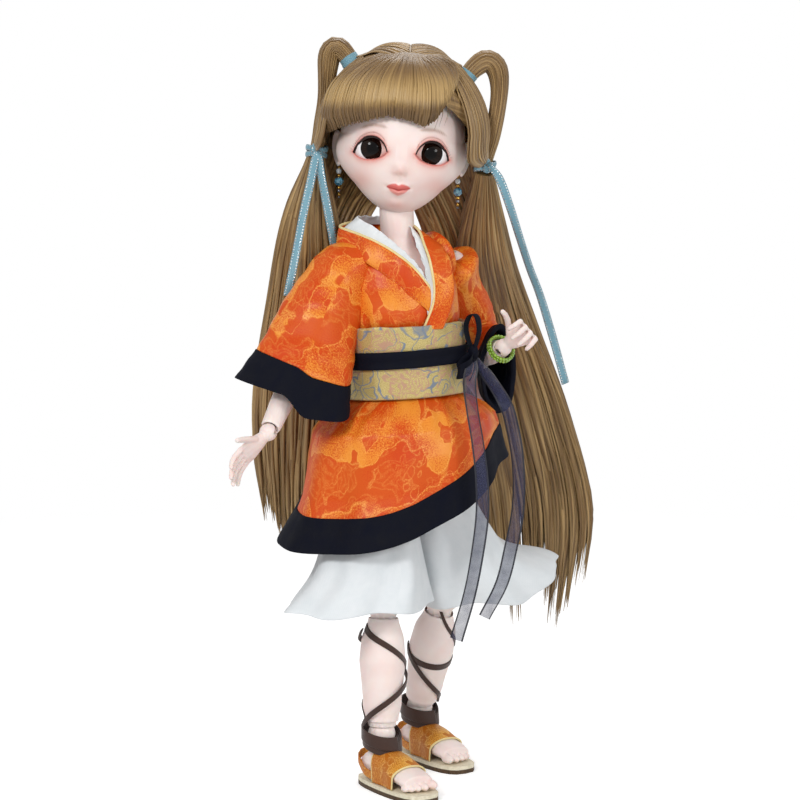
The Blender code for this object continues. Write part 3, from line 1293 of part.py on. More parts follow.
def neck_opening(name, low, wide, place):
    """A wedge in front of the neck, point down: what the crossed fronts leave open."""
    bm = bmesh.new()
    bmesh.ops.create_cube(bm, size=1.0)
    for vert in bm.verts:
        share = low if vert.co.z < 0 else NECK_OPENING_TOP_SHARE
        narrow = NECK_OPENING_POINT_SHARE if vert.co.z < 0 else 1.0
        vert.co = Vector((vert.co.x * wide * narrow, CHEST_DEPTH * (vert.co.y - 0.5), CHEST_HEIGHT * share))
    return cutter(bm, name, place)


COLLAR_SHARES = (
    # one band from under the crossing, round the neck and over the crossing: the turn round the body in degrees
    # and the height as a share of the chest, then what half the band's width adds to each
    (22, 0.82, -7, 0.04), (30, 0.90, -8, 0.05), (48, 1.03, -8, 0.055), (80, 1.165, -3, 0.045), (130, 1.175, 0, 0.040),
    (180, 1.18, 0, 0.040), (230, 1.175, 0, 0.040), (280, 1.165, 3, 0.045), (314, 1.02, 8, 0.055),
    (340, 0.82, 8, 0.05), (364, 0.62, 8, 0.05), (380, 0.50, 8, 0.04),
)
COLLAR_STEPS = 30


def make_torso_clothes(at, pivots):
    place = chest_frame(at)
    nodes = []
    shirt = torso_wrap("shirt", "white_cloth", SHIRT_LOW_SHARE, NECKLINE_BACK_SHARE, SHIRT_INSIDE, SHIRT_THICKNESS,
                       place)
    jacket = torso_wrap("jacket_body", "orange_satin", OBI_LOW_SHARE + SKIRT_LAP_SHARE, NECKLINE_BACK_SHARE,
                        JACKET_INSIDE, CLOTH_THICKNESS, place)
    boolean(shirt, neck_opening("shirt_opening", SHIRT_OPENING_SHARE, SHIRT_OPENING_WIDTH, place))
    boolean(jacket, neck_opening("jacket_opening", JACKET_OPENING_SHARE, JACKET_OPENING_WIDTH, place))
    for node in (shirt, jacket):
        for side, sign in SIDES:
            boolean(node, armhole(at, side, node.name))
        nodes.append(node)
    nodes.append(make_collar(place))
    nodes.append(torso_wrap("obi", "brocade", OBI_LOW_SHARE, OBI_HIGH_SHARE, OBI_INSIDE, OBI_THICKNESS, place))
    nodes.append(torso_wrap("sash", "navy_satin", SASH_LOW_SHARE, SASH_HIGH_SHARE, SASH_INSIDE, CLOTH_THICKNESS,
                            place))
    nodes.append(make_bow(place))
    nodes.append(make_sash_tails(at, place))
    for node in nodes:
        attach(node, pivots["waist"])


ARMHOLE_ROOM = 0.0012
ARMHOLE_DROP = 0.026


def armhole(at, side, owner):
    shoulder = at["shoulder_" + side]
    way = (at["elbow_" + side] - shoulder).normalized()
    radius = SHOULDER_BALL_RADIUS + ARMHOLE_ROOM
    tool = cylinder_cutter("armhole_%s_%s" % (side, owner), shoulder - way * radius, shoulder + way * ARMHOLE_DROP,
                           radius)
    return tool


def make_collar(place):
    """The folded band with its piping, one strip that crosses itself low on the chest."""

    def point_of(across, down):
        turn, share, spread = blend_points([Vector(row[:3]) for row in COLLAR_SHARES], down)
        rise = blend_points([Vector((row[3], 0, 0)) for row in COLLAR_SHARES], down).x
        side = 2 * across - 1
        return torso_point(math.radians(turn + spread * side), share + rise * side, COLLAR_INSIDE)

    return sheet("jacket_collar", "piping", 2, COLLAR_STEPS, point_of, HEM_THICKNESS, place)


BOW_TURN = math.radians(40)
BOW_SHARES = (
    # middle of each loop from the knot, then its half width, half thickness and half height, in sash heights
    (0.0, 0.0, 0.55, 0.42, 0.60), (0.15, 1.45, 0.62, 0.30, 1.30), (-1.35, -0.60, 1.25, 0.28, 0.55),
)


BOW_STAGGER_SHARE = 0.07


def make_bow(place):
    """The tied knot of the sash with its loops, each a closed pillow of cloth."""
    knot = torso_point(BOW_TURN, (SASH_LOW_SHARE + SASH_HIGH_SHARE) / 2,
                       SASH_INSIDE + CLOTH_THICKNESS + CLOTH_GAP + SASH_HEIGHT * BOW_SHARES[0][3])
    across = Vector((math.cos(BOW_TURN), math.sin(BOW_TURN), 0))
    out = Vector((math.sin(BOW_TURN), -math.cos(BOW_TURN), 0))
    bow = None
    for index, (side, rise, wide, thick, tall) in enumerate(BOW_SHARES):
        bm = bmesh.new()
        bmesh.ops.create_uvsphere(bm, u_segments=9, v_segments=6, radius=1.0)
        middle = knot + (across * side + UP * rise + out * BOW_STAGGER_SHARE * index) * SASH_HEIGHT
        for vert in bm.verts:
            vert.co = (middle + across * vert.co.x * wide * SASH_HEIGHT + out * vert.co.y * thick * SASH_HEIGHT
                       + UP * vert.co.z * tall * SASH_HEIGHT)
        if bow is None:
            bow = finish_mesh(bm, "bow", "navy_satin", place)
        else:
            boolean(bow, cutter(bm, "bow_loop_%d" % index, place), "UNION")
    return bow


TAIL_SHARES = (
    # each tail's knots below the bow: beside, before and above the middle of the hips, in skirt lengths
    ((0.325, 0.41, 0.37), (0.217, 0.63, -0.05), (0.233, 0.73, -0.317), (0.20, 0.72, -0.75), (0.067, 0.62, -1.18)),
    ((0.52, 0.41, 0.37), (0.60, 0.52, -0.05), (0.59, 0.54, -0.317), (0.517, 0.54, -0.683), (0.367, 0.49, -1.05)),
)
TAIL_WIDTH = 0.0048


def make_sash_tails(at, place):
    knot = place @ torso_point(BOW_TURN, SASH_LOW_SHARE, SASH_INSIDE + CLOTH_THICKNESS + SASH_HEIGHT)
    across = Vector((math.cos(BOW_TURN), math.sin(BOW_TURN), 0))
    out = Vector((math.sin(BOW_TURN), -math.cos(BOW_TURN), 0))
    runs = []
    for index, tail in enumerate(TAIL_SHARES):
        stagger = across * TAIL_WIDTH * index / 3 + out * CLOTH_THICKNESS * index / 5
        runs.append([knot + stagger] + [at["pelvis"] + Vector((beside, -before, above)) * SKIRT_LENGTH
                                        for beside, before, above in tail])
    return strips("sash_tails", "organza", runs, TAIL_WIDTH, CLOTH_THICKNESS / 2, across, 10)


SLEEVE_SHARES = {
    # each section: share of the way from shoulder to elbow and on to the wrist, half width and half depth, then how
    # far aside and down of the arm it hangs, all as shares of the cuff's width
    "right": ((-0.19, 0.05, 0.05, 0, 0), (-0.14, 0.18, 0.16, 0.02, 0), (0.0, 0.27, 0.21, 0.06, 0),
              (0.25, 0.31, 0.21, 0.11, 0), (0.55, 0.36, 0.25, 0.11, 0.02), (0.85, 0.44, 0.27, 0.07, 0.04),
              (1.10, 0.50, 0.30, 0.0, 0.06), (1.32, 0.54, 0.33, -0.06, 0.07)),
    "left": ((-0.19, 0.05, 0.05, 0, 0), (-0.14, 0.13, 0.13, 0, 0), (0.0, 0.19, 0.18, 0, 0),
             (0.25, 0.20, 0.18, 0, 0), (0.50, 0.20, 0.18, 0.05, 0)),
}
BENT_SLEEVE_SHARES = (
    # the left sleeve from the bend to the cuff's end, from the elbow in cuff widths: middle beside it, then the upper
    # edge's place ahead and height, the lower edge's place ahead and height, and half the width
    (-0.102, 0.240, 0.371, -0.175, 0.371, 0.21), (-0.060, 0.252, 0.336, -0.210, 0.038, 0.21),
    (-0.005, 0.268, 0.335, -0.012, -0.343, 0.20), (-0.071, 0.345, 0.324, 0.321, -0.414, 0.19),
    (-0.119, 0.476, 0.341, 0.476, -0.474, 0.19),
)
CUFF_WIDTH = 0.0420
CUFF_HINGE = {"right": Vector((0.82, -0.57, 0)), "left": Vector((1, 0, 0))}


def arm_path_point(at, side, share):
    shoulder, elbow, wrist = at["shoulder_" + side], at["elbow_" + side], at["wrist_" + side]
    if share <= 1:
        return shoulder.lerp(elbow, share)
    return elbow.lerp(wrist, share - 1)


def sleeve_rings(at, side, sign, grow):
    """Every section from the shoulder to the cuff's end. The last but one is where the cuff is sewn on."""
    path = []
    radii = []
    for share, wide, deep, aside, down in SLEEVE_SHARES[side]:
        path.append(arm_path_point(at, side, share) + Vector((sign * aside, 0, -down)) * CUFF_WIDTH)
        radii.append((CUFF_WIDTH * wide + grow, CUFF_WIDTH * deep + grow))
    rings = swept_rings(path, radii, SLEEVE_SIDES, CUFF_HINGE[side])
    if side == "left":
        for beside, ahead, rise, ahead_low, rise_low, wide in BENT_SLEEVE_SHARES:
            upper = Vector((beside, -ahead, rise)) * CUFF_WIDTH
            lower = Vector((beside, -ahead_low, rise_low)) * CUFF_WIDTH
            arm = (upper - lower) / 2
            arm = arm.normalized() * (arm.length + grow)
            middle = at["elbow_left"] + (upper + lower) / 2
            rings.append([middle + Vector(((CUFF_WIDTH * wide + grow) * math.sin(turn), 0, 0)) + arm * math.cos(turn)
                          for turn in angles(SLEEVE_SIDES)])
    return rings


SLEEVE_SIDES = 16


def ring_way(ring_points, beyond):
    """The way a flat ring faces, on the side of beyond."""
    quarter = len(ring_points) // 4
    middle = (ring_points[0] + ring_points[2 * quarter]) / 2
    way = (ring_points[quarter] - middle).cross(ring_points[0] - middle).normalized()
    return way if way.dot(beyond - middle) > 0 else -way


def make_sleeves(at, pivots):
    for side, sign in SIDES:
        outer = sleeve_rings(at, side, sign, CLOTH_THICKNESS)
        inner = sleeve_rings(at, side, sign, 0.0)
        hem = sleeve_rings(at, side, sign, HEM_THICKNESS)
        dome_shift = (at["elbow_" + side] - at["shoulder_" + side]).normalized() * CLOTH_THICKNESS
        inner[0] = [corner + dome_shift for corner in inner[0]]
        sleeve = lofted("sleeve_" + side, "orange_satin", outer[:-1] + inner[-2::-1])
        boolean(sleeve, torso_envelope(at, side))
        attach(sleeve, pivots["shoulder_" + side])
        way = ring_way(inner[-2], inner[-1][0])
        seam = [[corner + way * SEAT_GAP for corner in rings[-2]] for rings in (hem, inner)]
        cuff = shell("cuff_" + side, "navy_satin", [seam[0], hem[-1]], [seam[1], inner[-1]])
        attach(cuff, pivots["elbow_" + side])


def torso_envelope(at, side):
    """Everything that the jacket body already fills, with a gap: the sleeve stops at it."""
    rings = [[torso_point(turn, share, COLLAR_INSIDE) for turn in angles(BODY_SIDES)]
             for share in (OBI_LOW_SHARE, 0.1, 0.34, 0.58, 0.84, 1.03, 1.14, NECKLINE_BACK_SHARE, 1.5)]
    tool = lofted("torso_envelope_" + side, "resin", rings, place=chest_frame(at))
    tool.hide_render = True
    tool.display_type = "WIRE"
    return tool


SKIRT_HEM_WIDTH = 0.0960
SKIRT_HEM_DEPTH = 0.0760
SKIRT_LIFT = 0.0300
SKIRT_LIFT_TURN = math.radians(75)
SKIRT_FOLD_SHARE = 0.045
SKIRT_FOLDS = 7
SKIRT_SIDES = 35


def skirt_ring(at, share, grow):
    """A ring of the skirt: share is 0 at the obi and 1 at the border's lower edge."""
    top = chest_frame(at)
    points = []
    for turn in angles(SKIRT_SIDES):
        start = top @ torso_point(turn, OBI_LOW_SHARE, COLLAR_INSIDE + grow) - UP * SEAT_GAP
        lift = SKIRT_LIFT * max(0.0, math.cos(turn - SKIRT_LIFT_TURN)) ** 2
        fold = 1 + SKIRT_FOLD_SHARE * math.sin(SKIRT_FOLDS * turn) * share
        flare = math.sin(share * math.pi / 2) ** 0.66
        wide = SKIRT_HEM_WIDTH / 2 * fold + grow
        deep = SKIRT_HEM_DEPTH / 2 * fold + grow
        hem = Vector((at["pelvis"].x + wide * math.sin(turn), at["pelvis"].y - deep * math.cos(turn), 0))
        drop = (SKIRT_LENGTH - lift) * share
        flat = Vector((start.x, start.y, 0)).lerp(hem, flare)
        points.append(Vector((flat.x, flat.y, start.z - drop)))
    return points


def make_skirt(at, pivots):
    edge = 1 - SKIRT_BORDER_HEIGHT / SKIRT_LENGTH
    rows = 4

    def part(name, slot, low, high, count, thickness):
        layers = []
        for grow in (thickness, 0.0):
            layers.append([skirt_ring(at, low + (high - low) * row / count, grow) for row in range(count + 1)])
        return shell(name, slot, layers[0], layers[1])

    gap = SEAT_GAP / SKIRT_LENGTH
    nodes = [part("jacket_skirt", "orange_satin", 0.0, edge - gap * 2, rows, CLOTH_THICKNESS),
             part("skirt_border", "navy_satin", edge, 1.0, 1, HEM_THICKNESS)]
    for node in nodes:
        attach(node, pivots["pelvis"])


TROUSER_SHARES = (
    # share of the way down, then half width and half depth as shares of the hem's width, outward shift share
    (0.19, 0.21, 0.218, 0.03), (0.30, 0.232, 0.25, 0.10), (0.50, 0.29, 0.285, 0.26), (0.78, 0.36, 0.32, 0.48),
    (1.0, 0.49, 0.33, 1.0),
)
TROUSER_HEM_WIDTH = 0.0640
TROUSER_TOP = 0.0030
TROUSER_SHIFT = {"right": Vector((-0.0080, 0.0040, 0)), "left": Vector((0.0215, 0.0030, 0))}


def make_trousers(at, pivots):
    for side, sign in SIDES:
        hip, knee = at["hip_" + side], at["knee_" + side]
        layers = []
        for grow in (CLOTH_THICKNESS, 0.0):
            rings = []
            for down, wide, deep, shift in TROUSER_SHARES:
                middle = hip.lerp(knee, min(1.0, down)) + TROUSER_SHIFT[side] * shift - UP * TROUSER_TOP
                rings.append([middle + corner for corner in
                              ring(TROUSER_HEM_WIDTH * wide + grow, TROUSER_HEM_WIDTH * deep + grow, 0.0, 20)])
            layers.append(rings)
        leg = shell("trouser_leg_" + side, "white_cloth", layers[0], layers[1])
        attach(leg, pivots["hip_" + side])


BRACELET_BEADS = 14
BRACELET_BEAD_RADIUS = 0.0012
BRACELET_PLACE_SHARE = 0.88
BEAD_SHARES = (0.35, 0.97, 0.97)


def make_bracelet(at, pivots):
    """Round beads strung close on the left wrist, as one unbroken beaded ring."""
    fore = at["wrist_left"] - at["elbow_left"]
    place = frame_along(at["elbow_left"].lerp(at["wrist_left"], BRACELET_PLACE_SHARE), fore, Vector((1, 0, 0)))
    radius = BRACELET_BEADS * BRACELET_BEAD_RADIUS / math.pi
    rings = []
    for turn in angles(BRACELET_BEADS * len(BEAD_SHARES)):
        size = BRACELET_BEAD_RADIUS * BEAD_SHARES[len(rings) % len(BEAD_SHARES)]
        out = Vector((math.cos(turn), math.sin(turn), 0))
        rings.append([out * (radius + size * math.cos(side)) + UP * size * math.sin(side) for side in angles(5)])
    node = lofted("bracelet", "bead_green", rings, closed=True, place=place)
    attach(node, pivots["elbow_left"])


# Sandals

UPPER_FROM_SHARE = 0.43
UPPER_TO_SHARE = 0.72
UPPER_TURN = math.radians(100)


def sole_ring(middle, height):
    """The sole's outline: round heel, narrow waist, wide round toe."""
    points = []
    for turn in angles(24):
        ahead = math.cos(turn)
        wide = SOLE_WIDTH / 2 * (0.90 + 0.10 * ahead - 0.10 * (1 - ahead ** 2))
        side = math.copysign(abs(math.sin(turn)) ** 0.7, math.sin(turn))
        points.append(Vector((middle.x + wide * side, middle.y - SOLE_LENGTH / 2 * ahead, height)))
    return points


def make_sandals(at, pivots):
    for side, sign in SIDES:
        ankle = at["ankle_" + side]
        heel = ankle.y + HEEL_REACH + (SOLE_LENGTH - FOOT_LENGTH) / 2
        middle = Vector((ankle.x, heel - SOLE_LENGTH / 2, 0))
        sole = lofted("sandal_sole_" + side, "sole", [sole_ring(middle, 0.0), sole_ring(middle, SOLE_THICKNESS)])
        upper = make_upper(side, ankle)
        for node in (sole, upper):
            attach(node, pivots["ankle_" + side])
        lacing = make_lacing(at, side, sign)
        attach(lacing, pivots["knee_" + side])


def make_upper(side, ankle):
    """The brocade band over the instep, from one edge of the sole to the other."""
    floor = SOLE_THICKNESS + SEAT_GAP

    def point_of(across, down):
        along = UPPER_FROM_SHARE + (UPPER_TO_SHARE - UPPER_FROM_SHARE) * down
        high, wide, tall = blend_rows(FOOT_SHARES, along)
        turn = UPPER_TURN * (2 * across - 1)
        grow = CLOTH_GAP
        x = (FOOT_WIDTH * wide + grow) * math.sin(turn)
        z = max(high, tall) * FOOT_WIDTH + (FOOT_WIDTH * tall + grow) * math.cos(turn)
        if abs(turn) > math.pi / 2:
            x = math.copysign(FOOT_WIDTH * wide + grow, x)
            z = 0.0
        return Vector((ankle.x + x, ankle.y + HEEL_REACH - FOOT_LENGTH * along, floor + max(0.0, z)))

    return sheet("sandal_upper_" + side, "sandal_brocade", 12, 5, point_of, CLOTH_THICKNESS, middle=ankle)


LACE_RISE_SHARES = (0.80, 0.30)
LACE_TURNS = math.radians(300)
LACE_BAND_TURN = math.radians(172)
LACE_STAGGER = 0.00013


def shin_radius(share):
    return blend_rows(((0.0, 0.60),) + LIMB_SHARES["shin"] + ((0.95, 0.80),), share)[0] * SHIN_WIDEST


SHIN_WIDEST = 0.0086


def make_lacing(at, side, sign):
    """A band above the ankle and two straps that cross in front and behind, one over the other."""
    knee, ankle = at["knee_" + side], at["ankle_" + side]
    place = frame_along(knee, ankle - knee, Vector((1, 0, 0)))
    length = (ankle - knee).length
    low, high = LACE_RISE_SHARES
    band = low + STRAP_WIDTH * 1.6 / length
    straps = ((-LACE_BAND_TURN, LACE_BAND_TURN, band, band, 12), (math.pi - LACE_TURNS, math.pi, band, high, 14),
              (math.pi + LACE_TURNS, math.pi, band, high, 14))
    lacing = None
    for index, (turn_from, turn_to, from_share, to_share, rows) in enumerate(straps):
        bm = bmesh.new()
        made = bmesh.ops.create_grid(bm, x_segments=1, y_segments=rows, size=0.5)["verts"]
        for vert in made:
            down = 0.5 - vert.co.y
            turn = turn_from + (turn_to - turn_from) * down
            share = from_share + (to_share - from_share) * down + vert.co.x * STRAP_WIDTH / length
            radius = shin_radius(share) + CLOTH_GAP + LACE_STAGGER * index
            vert.co = Vector((radius * math.sin(turn), -radius * math.cos(turn), -length * share))
        face_away(bm, Vector())
        strap = walled(bm, "lacing_%s" % side if lacing is None else "strap_%s_%d" % (side, index), "lace",
                       CLOTH_THICKNESS * 0.6, 1.0, place)
        if lacing is None:
            lacing = strap
        else:
            strap.hide_render = True
            strap.display_type = "WIRE"
            boolean(lacing, strap, "UNION")
    return lacing


def main():
    clear_scene()
    at = stand()
    pivots = {"pelvis": empty("pelvis_frame", Matrix.Translation(at["pelvis"])),
              "waist": empty("waist_axis", Matrix.Translation(at["waist"]))}
    nodes = make_limbs(at, pivots)
    attach(make_pelvis(at), pivots["pelvis"])
    attach(make_chest(at), pivots["waist"])
    place = make_head(at, pivots)
    for node in (make_wig_cap(place), make_fringe(place)):
        attach(node, pivots["head"])
    make_hair_loops(place, pivots)
    make_hair_lengths(at, place, pivots)
    make_hair_ribbons(at, place, pivots)
    make_earrings(place, pivots)
    make_hooks_and_hands(at, pivots, nodes)
    make_feet(at, pivots)
    attach(make_neck_hook(at, place), pivots["head"])
    make_elastics(at, pivots)
    make_torso_clothes(at, pivots)
    make_sleeves(at, pivots)
    make_skirt(at, pivots)
    make_trousers(at, pivots)
    make_bracelet(at, pivots)
    make_sandals(at, pivots)


main()
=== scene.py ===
"""A strung child doll about 30 cm tall, dressed in a satin jacket with a brocade waist band."""
import math
import random
from math import cos, pi, radians, sin

import bmesh
import bpy
from mathutils import Matrix, Vector


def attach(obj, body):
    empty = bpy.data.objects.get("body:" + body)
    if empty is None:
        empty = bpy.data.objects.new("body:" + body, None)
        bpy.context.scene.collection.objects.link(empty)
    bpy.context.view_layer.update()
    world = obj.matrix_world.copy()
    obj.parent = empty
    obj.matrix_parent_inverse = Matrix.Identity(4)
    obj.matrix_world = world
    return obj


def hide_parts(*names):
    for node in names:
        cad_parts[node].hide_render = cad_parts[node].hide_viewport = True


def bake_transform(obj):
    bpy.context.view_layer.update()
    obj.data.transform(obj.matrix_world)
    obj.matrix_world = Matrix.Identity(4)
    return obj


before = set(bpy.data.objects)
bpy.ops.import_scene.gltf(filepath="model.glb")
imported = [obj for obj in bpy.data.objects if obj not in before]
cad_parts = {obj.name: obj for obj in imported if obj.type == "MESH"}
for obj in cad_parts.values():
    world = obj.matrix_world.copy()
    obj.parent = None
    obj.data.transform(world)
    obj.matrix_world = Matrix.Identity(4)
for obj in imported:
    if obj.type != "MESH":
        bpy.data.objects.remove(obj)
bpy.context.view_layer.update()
MM = 0.001
TURN = 2 * pi
UP = Vector((0, 0, 1))
ASIDE = Vector((1, 0, 0))
BACK = Vector((0, 1, 0))
SIDES = {"right": -1, "left": 1}
rng = random.Random(7)
draw = rng.uniform


def mm(x, y, z):
    """A place or shift given in mm."""
    return Vector((x, y, z)) * MM


# Joint points, in metres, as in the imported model
AT = {
    "pelvis": mm(20.5, 27, 133.67), "waist": mm(22.8, 27, 166.59), "neck": mm(20.92, 30.14, 229.49),
    "hip_right": mm(6.04, 27, 134.68), "hip_left": mm(34.96, 27, 132.66),
    "knee_right": mm(2.87, 13.17, 75.36), "knee_left": mm(37.44, 21.01, 72.01),
    "ankle_right": mm(0, 10.5, 21.5), "ankle_left": mm(39.5, 40, 21.5),
    "shoulder_right": mm(-4.85, 28.91, 204.73), "shoulder_left": mm(48.12, 28.99, 206.32),
    "elbow_right": mm(-24.98, 33.29, 166.99), "elbow_left": mm(64.75, 32.73, 166.84),
    "wrist_right": mm(-44.26, 23.96, 144.58), "wrist_left": mm(55.5, 4.08, 174.23),
}


def square_to(side, way):
    """The unit direction nearest side that is square to way."""
    return (side - side.dot(way) * way).normalized()


def frame_along(point, direction, hinge):
    """A frame at point whose -Z runs along direction and whose X is as near hinge as it can be."""
    back = -direction.normalized()
    side = square_to(hinge, back)
    ahead = back.cross(side)
    turn = Matrix((side, ahead, back)).transposed()
    return Matrix.Translation(point) @ turn.to_4x4()


CHEST = frame_along(AT["waist"], -Vector((-0.03, 0.05, 1)).normalized(), ASIDE)
HEAD = (Matrix.Translation(AT["neck"]) @ Matrix.Rotation(radians(-35), 4, "Z")
        @ Matrix.Rotation(radians(5), 4, "Y"))
HEAD_TURN = HEAD.to_3x3()
HEAD_ASIDE, HEAD_BACK, HEAD_UP = (HEAD_TURN @ Vector(way) for way in ((1, 0, 0), (0, 1, 0), (0, 0, 1)))


def heading(path, index):
    """The way a path runs past one of its points: the step from the point before to the point after."""
    return path[min(index + 1, len(path) - 1)] - path[max(index - 1, 0)]


# Small number helpers

def at(value, share):
    """A size or direction that is fixed, or that depends on the share of the way along."""
    return value(share) if callable(value) else value


def clamp(value, low=0.0, high=1.0):
    """value kept between low and high."""
    return max(low, min(high, value))


def smooth(low, high, value):
    """An easy rise from 0 to 1 as value goes from low to high."""
    t = clamp((value - low) / (high - low))
    return t * t * (3 - 2 * t)


def bell(value, width):
    """1 at zero, falling off evenly on both sides over width."""
    return math.exp(-(value / width) ** 2)


def mix(a, b, share):
    """The value that lies share of the way from a to b."""
    return a + (b - a) * share


def blend_rows(rows, share):
    """Linear blend of number rows whose first entry is their own share."""
    share = clamp(share, rows[0][0], rows[-1][0])
    for low, high in zip(rows, rows[1:]):
        if share <= high[0]:
            part = (share - low[0]) / max(high[0] - low[0], 1e-9)
            return [mix(a, b, part) for a, b in zip(low[1:], high[1:])]
    return list(rows[-1][1:])


def spline(knots, share):
    """A point of the smooth curve through knots, share from 0 to 1."""
    place = clamp(share) * (len(knots) - 1)
    index = min(int(place), len(knots) - 2)
    t = place - index
    p1, p2 = knots[index], knots[index + 1]
    p0 = knots[index - 1] if index else p1 * 2 - p2
    p3 = knots[index + 2] if index + 2 < len(knots) else p2 * 2 - p1
    return 0.5 * ((2 * p1) + (p2 - p0) * t + (2 * p0 - 5 * p1 + 4 * p2 - p3) * t * t
                  + (3 * p1 - p0 - 3 * p2 + p3) * t * t * t)


def route(knots, steps):
    """Evenly spaced points along the smooth curve through knots."""
    fine = [spline(knots, i / (steps * 6)) for i in range(steps * 6 + 1)]
    run = [0.0]
    for a, b in zip(fine, fine[1:]):
        run.append(run[-1] + (b - a).length)
    points = []
    index = 0
    for i in range(steps + 1):
        want = run[-1] * i / steps
        while index < len(run) - 2 and run[index + 1] < want:
            index += 1
        part = (want - run[index]) / max(run[index + 1] - run[index], 1e-12)
        points.append(fine[index].lerp(fine[index + 1], clamp(part)))
    return points


# Mesh helpers

def piece(name, bm, material, smooth_faces=True):
    """Makes an object of bm in one material or several."""
    mesh = bpy.data.meshes.new(name)
    bm.to_mesh(mesh)
    bm.free()
    if smooth_faces:
        mesh.shade_smooth()
    for item in material if isinstance(material, (list, tuple)) else [material]:
        mesh.materials.append(item)
    obj = bpy.data.objects.new(name, mesh)
    bpy.context.scene.collection.objects.link(obj)
    return obj


def patch(bm, columns, rows, point_of, scale=(1, 1), wrap=False, shift=(0, 0)):
    """Adds a grid to bm. point_of(across, down) places it; its UVs are those shares times scale."""
    layer = bm.loops.layers.uv.verify()
    verts = bmesh.ops.create_grid(bm, x_segments=columns, y_segments=rows, size=0.5)["verts"]
    shares = {vert: (vert.co.x + 0.5, 0.5 - vert.co.y) for vert in verts}
    for face in {face for vert in verts for face in vert.link_faces}:
        for loop in face.loops:
            across, down = shares[loop.vert]
            loop[layer].uv = (across * scale[0] + shift[0], down * scale[1] + shift[1])
    for vert, (across, down) in shares.items():
        vert.co = point_of(across, down)
    if wrap:
        verts = [vert for vert, share in shares.items() if share[0] < 1e-4 or share[0] > 1 - 1e-4]
        bmesh.ops.remove_doubles(bm, verts=verts, dist=1e-6)
    return verts


def give_wall(obj, thick, offset=-1.0):
    """Gives a sheet its thickness; offset 0 lays it evenly on both sides."""
    wall = obj.modifiers.new("wall", "SOLIDIFY")
    wall.thickness = thick
    wall.offset = offset


def soften(obj, rounds):
    """Rounds an object by so many levels of subdivision."""
    soft = obj.modifiers.new("soft", "SUBSURF")
    soft.levels = soft.render_levels = rounds


def round_edges(obj, width, segments):
    """Small rounds along an object's sharp edges."""
    soft = obj.modifiers.new("soft", "BEVEL")
    soft.width = width
    soft.segments = segments


def grid(name, columns, rows, point_of, material, scale=(1, 1), wrap=False, thick=0.0, rounds=0):
    """Makes one sheet as its own piece, with a wall and rounding where asked."""
    bm = bmesh.new()
    patch(bm, columns, rows, point_of, scale, wrap)
    obj = piece(name, bm, material)
    if thick:
        give_wall(obj, thick, 0)
    if rounds:
        soften(obj, rounds)
    return obj


def tube(bm, path, wide, thick, flat, sides=6, scale=(1, 1), twist=0.0, shift=(0, 0)):
    """Adds a tube with a flattened section to bm; wide and thick are its half sizes."""
    last = len(path) - 1
    frames = []
    for index, point in enumerate(path):
        way = heading(path, index).normalized()
        side = square_to(at(flat, index / last), way)
        frames.append((point, side, way.cross(side)))

    def place(across, down):
        point, side, up = frames[round(down * last)]
        turn = across * TURN + twist * down
        return point + side * at(wide, down) * cos(turn) + up * at(thick, down) * sin(turn)

    patch(bm, sides, last, place, scale, True, shift)


def taper(radius, start=0.4, end=0.15, rise=0.12, fall=0.3):
    """A lock's half width: thin where it starts, full in the middle, thin at its tip."""
    def size(share):
        return radius * min(mix(start, 1, smooth(0, rise, share)), mix(end, 1, smooth(0, fall, 1 - share)))
    return size


def close_ends(bm):
    """Fills the open ends of the tubes in bm."""
    ends = [edge for edge in bm.edges if edge.is_boundary]
    bmesh.ops.holes_fill(bm, edges=ends, sides=64)


def weld_smooth(node, level=2, voxel=0.0, relax=0):
    """Rounds a carried-over solid without touching its mesh."""
    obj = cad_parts[node]
    weld = obj.modifiers.new("weld", "WELD")
    weld.merge_threshold = 0.00002
    if voxel:
        remesh = obj.modifiers.new("remesh", "REMESH")
        remesh.mode = "VOXEL"
        remesh.voxel_size = voxel
        remesh.use_smooth_shade = True
        relaxed = obj.modifiers.new("relax", "SMOOTH")
        relaxed.factor = 0.5
        relaxed.iterations = relax
    if level:
        soften(obj, level)


def paint(node, material):
    """Gives a carried-over solid its material."""
    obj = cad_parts[node]
    obj.data.materials.clear()
    obj.data.materials.append(material)
    return obj


# Materials

